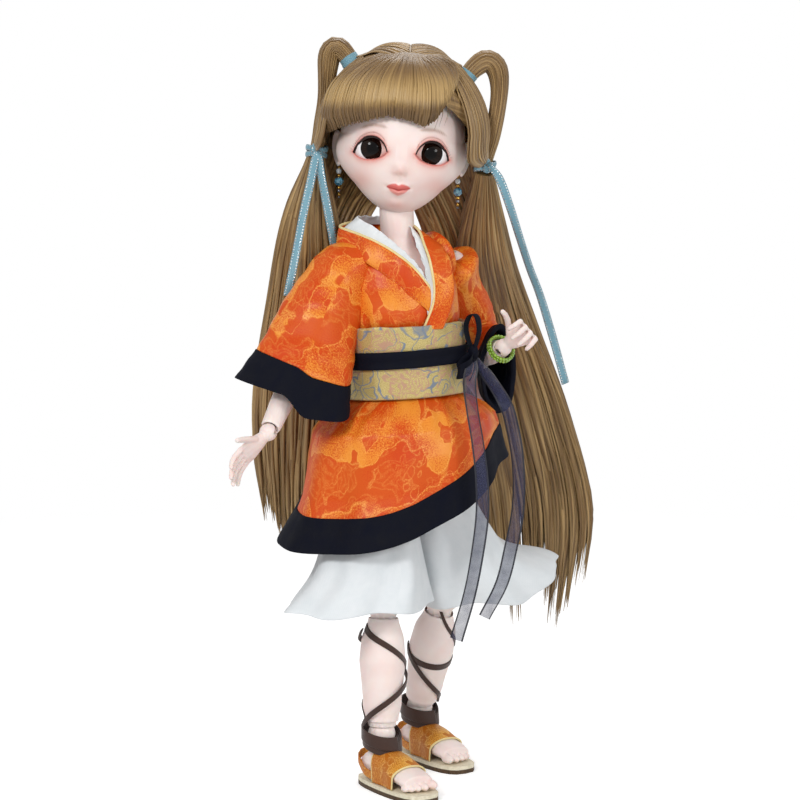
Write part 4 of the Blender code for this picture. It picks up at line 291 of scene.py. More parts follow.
class Tree:
    """Short calls for adding nodes and links to one tree."""

    def __init__(self, tree):
        self.tree = tree

    def add(self, kind, *values, **named):
        node = self.tree.nodes.new("ShaderNode" + kind)
        for key in [key for key in named if key.islower() and hasattr(node, key)]:
            setattr(node, key, named.pop(key))
        for index, value in enumerate(values):
            if value is not None:
                self.put(node.inputs[index], value)
        for key, value in named.items():
            self.put(node.inputs[key.replace("_", " ")], value)
        return node

    def put(self, socket, value):
        if isinstance(value, bpy.types.Node):
            value = value.outputs[0]
        if isinstance(value, bpy.types.NodeSocket):
            self.tree.links.new(value, socket)
        else:
            socket.default_value = value

    def math(self, operation, *values, limit=False):
        return self.add("Math", *values, operation=operation, use_clamp=limit).outputs[0]

    def times(self, first, second):
        return self.math("MULTIPLY", first, second)

    def times_plus(self, first, second, third):
        return self.math("MULTIPLY_ADD", first, second, third)

    def less(self, first, second):
        return self.math("SUBTRACT", first, second)

    def most(self, first, second, limit=False):
        return self.math("MAXIMUM", first, second, limit=limit)

    def range(self, value, low, high, to_low=0.0, to_high=1.0):
        return self.add("MapRange", value, low, high, to_low, to_high).outputs[0]

    def colours(self, share, first, second):
        node = self.add("Mix", data_type="RGBA")
        self.put(node.inputs[0], share)
        self.put(node.inputs[6], first)
        self.put(node.inputs[7], second)
        return node.outputs[2]

    def scaled(self, vector, x, y, z=1.0):
        return self.add("Mapping", vector, Scale=(x, y, z)).outputs[0]

    def place(self, kind):
        """A place on the piece: its UV, or its Object coordinates."""
        return self.add("TexCoord").outputs[kind]

    def dress(self, surface, colour, rough, normal):
        """Gives a surface its colour, roughness and bumped normal."""
        self.put(surface.inputs["Base Color"], colour)
        self.put(surface.inputs["Roughness"], rough)
        self.put(surface.inputs["Normal"], normal)

    def bump(self, height, strength, distance, normal=None):
        node = self.add("Bump", Strength=strength, Distance=distance, Height=height)
        if normal is not None:
            self.put(node.inputs["Normal"], normal)
        return node.outputs[0]


def rgb(text, share=1.0):
    """A colour written as six hex digits, in linear light."""
    parts = [int(text[i:i + 2], 16) / 255 for i in (0, 2, 4)]
    line = [(p / 12.92 if p <= 0.04045 else ((p + 0.055) / 1.055) ** 2.4) * share for p in parts]
    return (*line, 1.0)


def group(name, outputs, inputs=()):
    """An empty node group with its sockets."""
    tree = bpy.data.node_groups.new(name, "ShaderNodeTree")
    for label, kind in inputs:
        tree.interface.new_socket(label, in_out="INPUT", socket_type="NodeSocket" + kind)
    for label, kind in outputs:
        tree.interface.new_socket(label, in_out="OUTPUT", socket_type="NodeSocket" + kind)
    start = tree.nodes.new("NodeGroupInput") if inputs else None
    end = tree.nodes.new("NodeGroupOutput")
    return tree, Tree(tree), start, end


def shader(name, **sockets):
    """A new material, its tree and its surface node, with the given sockets set."""
    material = bpy.data.materials.new(name)
    material.use_nodes = True
    tree = Tree(material.node_tree)
    surface = material.node_tree.nodes["Principled BSDF"]
    for key, value in sockets.items():
        tree.put(surface.inputs[key.replace("_", " ")], value)
    return material, tree, surface


def use(tree, made, **inputs):
    """Adds a made node group to a tree."""
    node = tree.tree.nodes.new("ShaderNodeGroup")
    node.node_tree = made
    for key, value in inputs.items():
        tree.put(node.inputs[key], value)
    return node


def weave_group():
    """Fine over and under threads. In: UV in centimetres. Out: thread height and a slow unevenness."""
    made, t, start, end = group("weave", (("Height", "Float"), ("Uneven", "Float")),
                                (("UV", "Vector"), ("Threads", "Float")))
    uv = start.outputs["UV"]
    parts = t.add("SeparateXYZ", uv)
    turns = t.times(start.outputs["Threads"], pi)
    warp = t.math("SINE", t.times(parts.outputs[0], turns))
    weft = t.math("SINE", t.times(parts.outputs[1], turns))
    height = t.times(t.times(warp, weft), 0.5)
    slubs = t.add("TexNoise", t.scaled(uv, 4, 40), Scale=3.0, Detail=3.0).outputs[0]
    t.put(end.inputs["Height"], t.math("ADD", height, t.times(slubs, 0.8)))
    t.put(end.inputs["Uneven"], t.add("TexNoise", uv, Scale=1.3, Detail=4.0, Roughness=0.6).outputs[0])
    return made


def flower_group():
    """A woven pattern in centimetre UVs: leafy figures, open flowers and curling lines between them."""
    made, t, start, end = group("flowers", (("Figure", "Float"), ("Outline", "Float"), ("Flower", "Float"),
                                            ("Scroll", "Float")), (("UV", "Vector"),))
    uv = start.outputs["UV"]
    wander = t.add("TexNoise", uv, Scale=1.1, Detail=2.0).outputs[1]
    shift = t.add("VectorMath", wander, (0.5, 0.5, 0.5), operation="SUBTRACT").outputs[0]
    moved = t.add("VectorMath", t.add("VectorMath", shift, (1.3, 1.3, 0), operation="MULTIPLY").outputs[0],
                  uv,
                  operation="ADD").outputs[0]
    leaves = t.add("TexNoise", moved, Scale=0.75, Detail=1.0, Roughness=0.4).outputs[0]
    inside = t.less(leaves, 0.53)
    t.put(end.inputs["Figure"], t.range(inside, -0.004, 0.008))
    away = t.math("ABSOLUTE", t.less(inside, -0.012))
    t.put(end.inputs["Outline"], t.range(away, 0.004, 0.010, 1.0, 0.0))
    cells = t.add("TexVoronoi", moved, Scale=0.8, Randomness=0.8, voronoi_dimensions="2D")
    arm = t.add("VectorMath", moved, cells.outputs["Position"], operation="SUBTRACT").outputs[0]
    parts = t.add("SeparateXYZ", arm)
    tint = t.add("SeparateColor", cells.outputs["Color"])
    around = t.math("ARCTAN2", parts.outputs[1], parts.outputs[0])
    spin = t.times_plus(tint.outputs[0], 6.28, t.times(around, 6.0))
    petal = t.times_plus(t.math("COSINE", spin), 0.085, 0.33)
    reach = t.math("DIVIDE", cells.outputs["Distance"], petal)
    rim = t.range(t.math("ABSOLUTE", t.less(reach, 1.0)), 0.05, 0.12, 1.0, 0.0)
    ring = t.range(t.math("ABSOLUTE", t.less(reach, 0.52)), 0.04, 0.10, 1.0, 0.0)
    eye = t.range(reach, 0.20, 0.26, 1.0, 0.0)
    rays = t.times(t.range(t.math("SINE", t.times(spin, 2.0)), 0.5, 0.9),
                  t.range(reach, 0.95, 1.0, 1.0, 0.0))
    middle = t.most(eye, t.times(rays, 0.6))
    t.put(end.inputs["Flower"], t.most(t.most(rim, ring), middle, limit=True))
    curl = t.add("TexNoise", moved, Scale=1.25, Detail=0.5).outputs[0]
    line = t.math("ABSOLUTE", t.less(curl, 0.47))
    line_two = t.math("ABSOLUTE", t.less(curl, 0.60))
    free = t.range(reach, 1.02, 1.10)
    lines = t.most(t.range(line, 0.008, 0.018, 1.0, 0.0), t.range(line_two, 0.006, 0.014, 1.0, 0.0))
    t.put(end.inputs["Scroll"], t.times(lines, free))
    return made


WEAVE = weave_group()
FLOWERS = flower_group()


def satin(name, deep, gold, line, threads=26.0, pattern=0.62, rough=0.36):
    """Two-tone satin in centimetre UVs: flat deep figures on a ground flecked with bright thread; a broad
    noise paints sheen over the ground in large gold patches.
    """
    material, t, surface = shader(name, Specular_IOR_Level=0.22, Anisotropic=0.3)
    uv = t.place("UV")
    weave = use(t, WEAVE, UV=uv, Threads=threads)
    figures = use(t, FLOWERS, UV=t.scaled(uv, pattern, pattern))
    flecks = t.add("TexNoise", uv, Scale=17.0, Detail=3.0, Roughness=0.75).outputs[0]
    # wide: broad noise whose bright patches are painted sheen, turning the deep ground gold
    wide = t.add("TexNoise", uv, Scale=0.5, Detail=1.5).outputs[0]
    leaf = t.add("TexNoise", t.scaled(uv, 0.95, 0.7), Scale=1.0, Detail=2.5, Roughness=0.45).outputs[0]
    figure = t.most(figures.outputs["Figure"], t.range(leaf, 0.575, 0.585))
    # The ground's gold share: real flecks of bright thread plus the painted sheen of wide
    lit = t.math("ADD", flecks, t.times_plus(wide, 1.1, -0.53))
    ground = t.colours(t.range(lit, 0.40, 0.62), deep, gold)
    rim = t.range(t.math("ABSOLUTE", t.less(leaf, 0.57)), 0.004, 0.010, 1.0, 0.0)
    petals = t.most(t.times(figures.outputs["Flower"], 0.30), t.times(rim, 0.6))
    thread = t.most(t.times(figures.outputs["Outline"], 0.8), petals)
    calm = t.colours(t.times(figure, 0.85), ground, deep)
    colour = t.colours(t.times(thread, t.range(flecks, 0.35, 0.6)), calm, line)
    raised = t.times_plus(flecks, 0.7, t.less(1.0, figure))
    first = t.bump(raised, 0.30, 0.00010)
    t.dress(surface, colour, t.times_plus(figure, 0.12, rough),
            t.bump(weave.outputs["Height"], 0.25, 0.00005, first))
    return material


def plain_cloth(name, colour, shade, threads=30.0, rough=0.75, sheen=0.25, deep=0.4, shine=0.3):
    """Plain woven cloth with uneven threads."""
    material, t, surface = shader(name, Sheen_Weight=sheen, Sheen_Roughness=0.5, Specular_IOR_Level=shine)
    uv = t.place("UV")
    weave = use(t, WEAVE, UV=uv, Threads=threads)
    worn = t.times_plus(weave.outputs["Height"], 0.25, weave.outputs["Uneven"])
    t.dress(surface, t.colours(t.range(worn, 0.2, 0.9), colour, shade),
            t.range(weave.outputs["Uneven"], 0.3, 0.7, rough - 0.08,
                    rough + 0.08), t.bump(weave.outputs["Height"], deep, 0.00008))
    return material


def brocade(name, ground, light, first, second, pattern=1.0):
    """Metallic-thread brocade: pale gold ground with flowers in one colour and curling lines in another."""
    material, t, surface = shader(name, Specular_IOR_Level=0.5, Sheen_Weight=0.05)
    uv = t.place("UV")
    weave = use(t, WEAVE, UV=uv, Threads=34.0)
    figures = use(t, FLOWERS, UV=t.scaled(uv, pattern, pattern))
    flecks = t.add("TexNoise", uv, Scale=30.0, Detail=2.0, Roughness=0.7).outputs[0]
    gold = t.colours(t.range(flecks, 0.38, 0.62), ground, light)
    worn = t.range(flecks, 0.3, 0.6, 0.45, 0.95)
    petals = t.colours(t.times(figures.outputs["Flower"], worn), gold, first)
    lines = t.most(figures.outputs["Scroll"], t.times(figures.outputs["Outline"], 0.8))
    t.put(surface.inputs["Base Color"], t.colours(t.times(lines, worn), petals, second))
    mask = t.most(lines, figures.outputs["Flower"])
    t.put(surface.inputs["Roughness"], t.range(mask, 0.0, 1.0, 0.36, 0.6))
    t.put(surface.inputs["Metallic"], t.range(mask, 0.0, 1.0, 0.30, 0.0))
    height = t.math("ADD", t.times(mask, 0.8), t.math("ADD", flecks, weave.outputs["Height"]))
    t.put(surface.inputs["Normal"], t.bump(height, 0.4, 0.00010))
    return material


def hair_material(name, dark, mid, light, fine=60.0, shine=0.0):
    """Combed fibre: thin streaks along V; shine adds a painted highlight band across a curved fringe, with
    painted shade on its rolled-under bottom and a darker top, by height.
    """
    material, t, surface = shader(name, Specular_IOR_Level=0.5, Anisotropic=0.55, Sheen_Weight=0.05)
    uv = t.place("UV")
    streak = t.add("TexNoise", t.scaled(uv, fine, 0.35), Scale=1.0, Detail=3.0, Roughness=0.7).outputs[0]
    broad = t.add("TexNoise", t.scaled(uv, fine / 9, 0.22), Scale=1.0, Detail=2.0).outputs[0]
    blend = t.colours(t.range(streak, 0.34, 0.62), dark, mid)
    final = t.colours(t.range(broad, 0.42, 0.72), blend, light)
    if shine:
        height = t.add("SeparateXYZ", t.place("Object")).outputs[2]
        height = t.times_plus(streak, 0.005, height)
        # lit: a painted highlight band across the fringe's middle, by height
        lit = t.times(t.range(height, 0.2725, 0.2765), t.range(height, 0.2865, 0.2800))
        # under: painted shade on the fringe's rolled-under bottom
        under = t.range(height, 0.2715, 0.2755, 0.55, 0.0)
        final = t.colours(t.times(lit, shine), final, rgb("c6a467"))
        # One dark brown for the painted shade underneath and for the darker top of the fringe
        final = t.colours(t.most(under, t.range(height, 0.2830, 0.2890, 0.0, 0.40)), final, rgb("4a3216"))
    t.dress(surface, final, t.range(streak, 0.2, 0.8, 0.34, 0.48), t.bump(streak, 0.65, 0.00016))
    return material


def resin_material(name, tinted=False):
    """Pale cast resin, a little see-through, with a matt sealed surface and faint pink mottling."""
    material, t, surface = shader(name, Subsurface_Weight=0.22, Subsurface_Radius=(0.9, 0.45, 0.3),
                                  Subsurface_Scale=0.0022, Specular_IOR_Level=0.4)
    place = t.place("Object")
    slow = t.add("TexNoise", place, Scale=70.0, Detail=3.0).outputs[0]
    colour = t.colours(t.range(slow, 0.35, 0.7), rgb("f4e6e0"), rgb("f0d8d2"))
    if tinted:
        painted = t.add("VertexColor", layer_name="tint")
        colour = t.colours(painted.outputs["Alpha"], colour, painted.outputs["Color"])
    t.put(surface.inputs["Base Color"], colour)
    grain = t.add("TexNoise", place, Scale=2600.0, Detail=2.0).outputs[0]
    t.put(surface.inputs["Roughness"], t.range(grain, 0.3, 0.7, 0.42, 0.54))
    t.put(surface.inputs["Normal"], t.bump(grain, 0.05, 0.00005))
    return material


def glossy(name, colour, other, rough=0.12, metal=0.0, scale=900.0, coat=0.0, clear=0.0):
    """Small hard parts: beads, metal findings, soles."""
    material, t, surface = shader(name, Metallic=metal, Coat_Weight=coat, Transmission_Weight=clear,
                                  Specular_IOR_Level=0.5)
    place = t.place("Object")
    spots = t.add("TexNoise", place, Scale=scale, Detail=3.0).outputs[0]
    t.dress(surface, t.colours(t.range(spots, 0.35, 0.65), colour, other),
            t.range(spots, 0.3, 0.7, rough, rough * 1.6), t.bump(spots, 0.08, 0.00004))
    return material


RESIN = resin_material("resin")
SKIN = resin_material("painted_resin", True)
ORANGE = satin("orange_jacquard", rgb("cc4204"), rgb("e98f30"), rgb("f0a44c"))
NAVY = plain_cloth("navy_satin", rgb("03040b"), rgb("080b1a"), rough=0.75, sheen=0.0, shine=0.12)
WHITE = plain_cloth("white_cotton", rgb("e9ecee"), rgb("d9dfe2"), rough=0.85, deep=0.25)
BROCADE = brocade("waist_brocade", rgb("a08a45"), rgb("d2c084"), rgb("b98a78"), rgb("5a7496"), 0.85)
SANDAL = satin("sandal_brocade_cloth", rgb("b86412"), rgb("e6ab48"), rgb("f3c878"), threads=30.0,
               pattern=1.3)
PIPING = plain_cloth("cream_piping", rgb("d8bf7c"), rgb("efdfa8"), rough=0.45, sheen=0.1)
LACE = plain_cloth("dark_lacing", rgb("2a1710"), rgb("3d2419"), rough=0.55, deep=0.5)
HAIR = hair_material("combed_hair", rgb("4e361a"), rgb("8b6a3b"), rgb("bb9a66"))
# The fringe's hair carries a painted highlight band and painted shade, by height
FRINGE = hair_material("fringe_hair", rgb("5a3f1f"), rgb("8b6a3b"), rgb("ab8852"), shine=0.55)


# Head: painted resin with open lids

EYE = (0.0116, 0.0240)
HEAD_MIDDLE = 0.0290
# Half sizes of the head, in mm, and the eye openings: how far out their middle lies, and half their length
HEAD_WIDE, HEAD_DEEP, HEAD_TALL = 25, 26, 29
LID_MIDDLE, LID_HALF = 12.3, 6.7
LID_LOW, LID_TILT = -1.5, 0.55
EYEBALL = (11.2, -12.75, 24.0)
EYEBALL_RADIUS = 8.5


def head_surface(way, grow):
    """A point of the head in its own frame for a direction from its middle."""
    low = max(0.0, -way.z)
    wide = HEAD_WIDE * MM * (1 - 0.20 * low ** 2.4 + 0.10 * sin(pi * min(1.0, low * 1.5)))
    front = 1 - 0.06 * way.z if way.y < 0 else 1 - 0.30 * low ** 1.5
    return Vector((way.x * (wide + grow), way.y * (0.026 * front + grow),
                   way.z * (HEAD_TALL * MM * (1 + 0.055 * low) + grow) + HEAD_MIDDLE))


def lid_top(u):
    """Height of the upper lid's edge, in mm; u runs from -1 to 1 across the eye opening."""
    return LID_LOW + 6.2 * max(0.0, 1 - abs(u) ** 2.2) ** 0.72


def lid_low(u):
    """Height of the lower lid's edge, as lid_top gives the upper's."""
    return LID_LOW - 2.9 * max(0.0, 1 - abs(u) ** 2.3) ** 0.8


def lid_place(x, z):
    """Share of the way across an eye opening from its inner corner side, and height in mm from the iris."""
    u = (abs(x) - LID_MIDDLE) / LID_HALF
    return u, z - EYE[1] / MM + LID_TILT * u


def mouth_line(x):
    """Height of the line between the lips, in mm."""
    return 8.7 + 0.035 * x * x - 0.25 * bell(x, 0.9)


def relief(x, z):
    """How far the face stands out of the plain head at a place in its own frame, in mm."""
    side = abs(x)
    out = 0.55 * bell(x, 2.6) * smooth(27, 18, z) * smooth(13.8, 15.5, z)
    out += 1.9 * bell(x, 2.2) * bell(z - 16.8, 1.9)
    out += 0.55 * bell(side - 1.9, 1.0) * bell(z - 15.6, 1.0)
    out -= 0.25 * bell(side - 0.9, 0.55) * bell(z - 14.4, 0.5)
    out -= 0.16 * bell(x, 0.55) * bell(z - 12.4, 1.4)
    line = mouth_line(x)
    out += 1.15 * bell(x, 3.3) * bell(z - line - 1.25, 1.15)
    out += 1.25 * bell(x, 2.7) * bell(z - line + 1.15, 1.05)
    out -= 0.75 * bell(x, 3.6) * bell(z - line, 0.26)
    out -= 0.35 * bell(side - 4.9, 0.8) * bell(z - line, 1.0)
    out -= 0.45 * bell(x, 3.0) * bell(z - 4.9, 1.2)
    out += 0.9 * bell(x, 5.0) * bell(z - 2.6, 3.0)
    out += 0.5 * bell(side - 13, 6) * bell(z - 12, 6)
    u, high = lid_place(x, z)
    out -= 0.75 * bell(side - 12, 8.5) * bell(z - 25, 6.0)
    if abs(u) < 1.15:
        top = lid_top(clamp(u, -1, 1))
        out -= 0.42 * bell(high - top - 1.55, 0.32) * (1 - abs(u) / 1.15) ** 0.3
        out += 0.35 * bell(high - top - 0.7, 0.6)
        out += 0.30 * bell(high - lid_low(clamp(u, -1, 1)) + 0.8, 0.7)
    return out


def lid_gap(x, z):
    """Below zero inside an eye opening, in mm."""
    u, high = lid_place(x, z)
    if abs(u) >= 1:
        return (abs(u) - 1) * LID_HALF + 0.02
    return max(high - lid_top(u), lid_low(u) - high)


def face_tint(x, z, y):
    """Painted colour and how much of it: blush, lids, brows, lips."""
    side = abs(x)
    u, high = lid_place(x, z)
    layers = [(rgb("e79a8c"), 0.42 * bell(side - 15.2, 5.2) * bell(z - 11.2, 4.6)),
              (rgb("eaa898"), 0.30 * bell(x, 4.0) * bell(z - 16.2, 2.0)),
              (rgb("e5988a"), 0.35 * bell(x, 5.0) * bell(z - 2.0, 2.6))]
    if abs(u) < 1.5:
        near = clamp(u, -1, 1)
        above, below = high - lid_top(near), lid_low(near) - high
        off = max(0.0, abs(u) - 1) * LID_HALF
        if abs(u) < 1.05:
            ring_gap = max(above, below)
        else:
            ring_gap = math.hypot(off, high - LID_LOW)
        layers.append((rgb("d9776b"), 0.62 * bell(ring_gap, 1.25)))
        layers.append((rgb("e29a8c"), 0.40 * bell(ring_gap, 3.0)))
        layers.append((rgb("8c4a3f"), 0.55 * bell(above - 1.55, 0.22) * smooth(1.1, 0.8, abs(u))))
        layers.append((rgb("c2554c"), 0.75 * bell(ring_gap - 0.1, 0.38)))
    arch = 33.2 - (0.050 if side > 11 else 0.030) * (side - 11) ** 2
    ends = smooth(5.4, 8.0, side) * smooth(18.6, 15.0, side)
    thick = 0.62 * ends + 0.12
    hairs = 0.72 + 0.28 * sin(side * 9 + z * 5)
    layers.append((rgb("9a6a48"), 0.72 * ends * bell(z - arch, thick) * hairs))
    line = mouth_line(x)
    reach = max(0.0, 1 - (side / 4.75) ** 2)
    top = line + 2.35 * reach ** 0.75 - 0.42 * bell(x, 0.75)
    low = line - 2.1 * max(0.0, 1 - (side / 4.1) ** 2) ** 0.8
    if reach > 0:
        upper = smooth(-0.35, 0.25, top - z) * smooth(-0.1, 0.1, z - line)
        lower = smooth(-0.45, 0.30, z - low) * smooth(-0.1, 0.1, line - z)
        layers.append((rgb("d8453c"), 0.85 * upper))
        layers.append((rgb("e07a70"), 0.80 * lower))
        layers.append((rgb("b02824"), 0.9 * bell(z - line, 0.30) * smooth(0, 0.2, reach)))
    colour, cover = [0.0, 0.0, 0.0], 0.0
    for tone, share in layers:
        share = clamp(share) * (1 if y < 0 else 0)
        cover_new = cover + share * (1 - cover)
        if cover_new > 1e-5:
            keep = cover * (1 - share) / cover_new
            colour = [c * keep + v * (1 - keep) for c, v in zip(colour, tone)]
        cover = cover_new
    return (*colour, cover)


def build_head():
    """The painted face and the back of the head, with two eye openings cut to the lids."""
    bm = bmesh.new()
    verts = bmesh.ops.create_icosphere(bm, subdivisions=7, radius=1.0)["verts"]
    front = Vector((0, -1, 0))
    tints = []
    for vert in verts:
        way = vert.co.normalized()
        angle = way.angle(front, 0.0)
        turn = front.cross(way)
        if turn.length > 1e-6:
            way = Matrix.Rotation(pi * (angle / pi) ** 1.32, 3, turn.normalized()) @ front
        point = head_surface(way, 0.0)
        x, z = point.x / MM, point.z / MM
        facing = smooth(0.05, 0.45, -way.y)
        if facing > 0:
            gap = lid_gap(x, z)
            if abs(gap) < 0.16:
                step = 0.05
                slope_x = (lid_gap(x + step, z) - lid_gap(x - step, z)) / (2 * step)
                slope_z = (lid_gap(x, z + step) - lid_gap(x, z - step)) / (2 * step)
                size = max(slope_x ** 2 + slope_z ** 2, 1e-6)
                x -= gap * slope_x / size
                z -= gap * slope_z / size
                point.x, point.z = x * MM, z * MM
                gap = 0.0
            point.y -= relief(x, z) * facing * MM
            if gap < 0:
                point.y += 3.6 * MM
        tints.append(face_tint(x, z, way.y) if facing > 0 else (0, 0, 0, 0))
        vert.co = point
    bm.verts.index_update()
    head = piece("head_face", bm, SKIN)
    layer = head.data.color_attributes.new("tint", "FLOAT_COLOR", "POINT")
    layer.data.foreach_set("color", [part for tint in tints for part in tint])
    head.data.transform(HEAD)
    head.data.set_sharp_from_angle(angle=radians(62))
    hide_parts("head_shell", "head_cap")
    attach(head, "head")


def face_y(x, z):
    """The face's front surface at a place given in mm of the head's frame."""
    high = (z - HEAD_MIDDLE / MM) / HEAD_TALL
    wide = HEAD_WIDE * (1 - 0.30 * max(0.0, -high) ** 2.2 + 0.05 * sin(pi * min(1.0, max(0.0, -high) * 1.6)))
    deep = HEAD_DEEP * (1 - 0.06 * high)
    inside = max(0.0, 1 - (x / wide) ** 2 - high ** 2)
    return -deep * math.sqrt(inside) - relief(x, z) * smooth(0.05, 0.45, math.sqrt(inside))


def on_face(x, z, out=0.0):
    """A place on the face given in mm of the head's frame, lifted by out."""
    return HEAD @ mm(x, face_y(x, z) - out, z)


def eye_material():
    """Dark glass eye: V is the share of the way from the pupil's middle."""
    material, t, surface = shader("eye_glass", Coat_Weight=0.16, Coat_Roughness=0.015,
                                  Specular_IOR_Level=0.05, Roughness=0.12)
    uv = t.place("UV")
    parts = t.add("SeparateXYZ", uv)
    reach = parts.outputs[1]
    rays = t.add("TexNoise", t.scaled(uv, 46, 3.0), Scale=1.0, Detail=2.0).outputs[0]
    iris = t.colours(t.range(rays, 0.35, 0.65), rgb("0d0705"), rgb("24150d"))
    ring = t.colours(t.range(reach, 0.18, 0.24), rgb("050303"), iris)
    ring = t.colours(t.range(reach, 0.37, 0.425), ring, rgb("060404"))
    white = t.colours(t.range(reach, 0.46, 0.75), rgb("f1eef0"), rgb("e6cfcc"))
    t.put(surface.inputs["Base Color"], t.colours(t.range(reach, 0.432, 0.448), ring, white))
    t.put(surface.inputs["Normal"], t.bump(rays, 0.04, 0.00002))
    return material


def build_eyes():
    """Two inset glass eyes."""
    glass = eye_material()
    for side, sign in SIDES.items():
        centre = mm(sign * EYEBALL[0], *EYEBALL[1:])
        look = Vector((sign * 0.03, -1, 0)).normalized()
        up = ASIDE.cross(look) * -1

        def place(across, down):
            turn = across * TURN
            fall = down * radians(78)
            bulge = EYEBALL_RADIUS + 0.25 * bell(fall, 0.42)
            way = look * cos(fall) + (ASIDE * cos(turn) + up * sin(turn)) * sin(fall)
            return HEAD @ (centre + way * bulge * MM)

        eye = grid("eye_ball_" + side, 48, 24, place, glass, (1, 1), wrap=True)
        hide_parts("eye_" + side)
        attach(eye, "head")


def lash_material(name, dark, light, rough):
    """Fine hair or painted line at the lids, uneven along its run."""
    material, t, surface = shader(name, Specular_IOR_Level=0.3)
    shade = t.add("TexNoise", t.place("Object"), Scale=1500.0).outputs[0]
    t.put(surface.inputs["Base Color"], t.colours(shade, rgb(dark), rgb(light)))
    t.put(surface.inputs["Roughness"], t.range(shade, 0.2, 0.8, rough, rough + 0.2))
    return material


def build_lashes():
    """The upper lash line with its hairs, the fine lower lashes and the lid's fold."""
    material = lash_material("lash_fibre", "140c0a", "2b1913", 0.5)
    brown = lash_material("fine_lash_paint", "6d3a30", "8c4c3e", 0.55)
    flat = HEAD_UP
    for side, sign in SIDES.items():
        bm = bmesh.new()
        steps = 26

        def lid_point(u, high, out):
            return on_face(sign * (LID_MIDDLE + LID_HALF * u), EYE[1] / MM + high - LID_TILT * u, out)

        rim = []
        for index in range(steps + 1):
            u = -1 + 2 * index / steps
            rim.append(lid_point(u * 0.995, lid_top(u * 0.995) - 0.12, 0.10))
        tube(bm, rim, lambda share: (0.34 + 0.80 * share ** 1.6) * MM, 0.16 * MM, flat, 6)
        corner = [lid_point(0.93 + 0.14 * k / 4, -1.3 - 0.25 * k / 4, 0.12) for k in range(5)]
        tube(bm, corner, lambda share: (0.80 - 0.60 * share) * MM, 0.14 * MM, flat, 6)
        count = 34
        for index in range(count):
            u = -0.86 + 1.84 * index / (count - 1)
            u = min(u, 0.995)
            root = lid_point(u, lid_top(u) - 0.05, 0.15)
            long = 0.5 + 1.35 * smooth(-0.9, 0.95, u) + draw(-0.12, 0.12)
            lean = sign * (0.25 + 0.9 * max(0.0, u)) + sign * draw(-0.12, 0.12)
            lift = 0.75 - 0.55 * max(0.0, u)
            way = HEAD_TURN @ Vector((lean, -1.0, lift * 0.35)).normalized()
            curl = HEAD_TURN @ Vector((lean * 0.4, 0.05, 1.0)).normalized()
            path = [root + way * long * MM * k / 5 * 0.75 + curl * long * MM * (k / 5) ** 2 * 0.65
                    for k in range(6)]
            tube(bm, path, lambda share: 0.075 * (1.05 - share) * MM,
                 lambda share: 0.06 * (1.05 - share) * MM, flat, 4)
        lash = piece("upper_lashes_" + side, bm, material)
        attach(lash, "head")
        bm = bmesh.new()
        for index in range(15):
            u = -0.35 + 1.3 * index / 14
            base = lid_low(min(u, 0.99)) - 0.25
            long = 0.9 + 0.5 * (index % 2) + draw(-0.1, 0.1)
            start = lid_point(u, base, 0.03)
            end = lid_point(u + 0.07 + 0.10 * max(0.0, u), base - long, 0.05)
            path = [start.lerp(end, k / 3) for k in range(4)]
            tube(bm, path, lambda share: 0.055 * (1.1 - share) * MM, 0.03 * MM, flat, 4)
        fold = [lid_point(-0.72 + 1.66 * k / 16, lid_top(-0.72 + 1.66 * k / 16) + 1.5, -0.02)
                for k in range(17)]
        tube(bm, fold, taper(0.10 * MM, 0.3, 0.3, 0.4, 0.4), 0.04 * MM, flat, 4)
        low = piece("lower_lashes_" + side, bm, brown)
        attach(low, "head")


def build_ears():
    """Ear plates that flare out of the sides, with a rolled rim and a lobe."""
    for side, sign in SIDES.items():
        def place(across, down):
            turn = across * TURN
            reach = sin(down * pi)
            front = cos(down * pi)
            tall = 7.4 if sin(turn) > 0 else 7.4 - 0.6 * abs(cos(turn))
            wide = 3.9 * (1 - 0.22 * max(0.0, -sin(turn)))
            along = cos(turn) * wide * reach
            high = sin(turn) * tall * reach
            rim = 0.9 * bell(reach - 0.86, 0.14)
            dish = 1.25 * (1 - reach ** 2) ** 0.5
            thick = (0.85 * front - dish * 0.7 if front > 0 else 0.9 * front) + (rim if front > 0 else 0)
            flare = 0.52
            x = 24.3 + thick * 0.9 + (along + 2.2) * flare + 0.10 * high
            y = 2.2 + along
            return HEAD @ mm(sign * x, y, 22.6 + high * 0.97)

        ear = grid("ear_plate_" + side, 36, 26, place, SKIN, wrap=True)
        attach(ear, "head")


build_head()
build_eyes()
build_lashes()
build_ears()


# Hair: combed cap, rolled fringe, standing loops and long straight lengths

def wig_surface(way, grow=0.0):
    """The outside of the combed hair for a direction from the head's middle; grow is in mm."""
    way = way.normalized()
    full = 1 + 2.1 * max(0.0, way.z) ** 2 + 1.9 * way.x ** 2
    return head_surface(way, (1.7 + 2.2 * full + grow) * MM)


def crown_way(turn, fall):
    """A direction given in degrees: fall down from the crown, turn round from the face."""
    turn, fall = radians(turn), radians(fall)
    return Vector((sin(fall) * sin(turn), -sin(fall) * cos(turn), cos(fall)))


def hairline(turn):
    """How far down from the crown the wig's cap reaches at a turn from the face, in degrees."""
    front = max(0.0, cos(radians(turn)))
    back = max(0.0, -cos(radians(turn)))
    return 94 - 44 * front ** 1.5 + 24 * back


def head_middle_way(point):
    """The direction of a place in the head's frame from the head's middle."""
    return (point - mm(0, 0, HEAD_MIDDLE / MM)).normalized()


def length_of(path):
    """The length of a path."""
    return sum((b - a).length for a, b in zip(path, path[1:]))


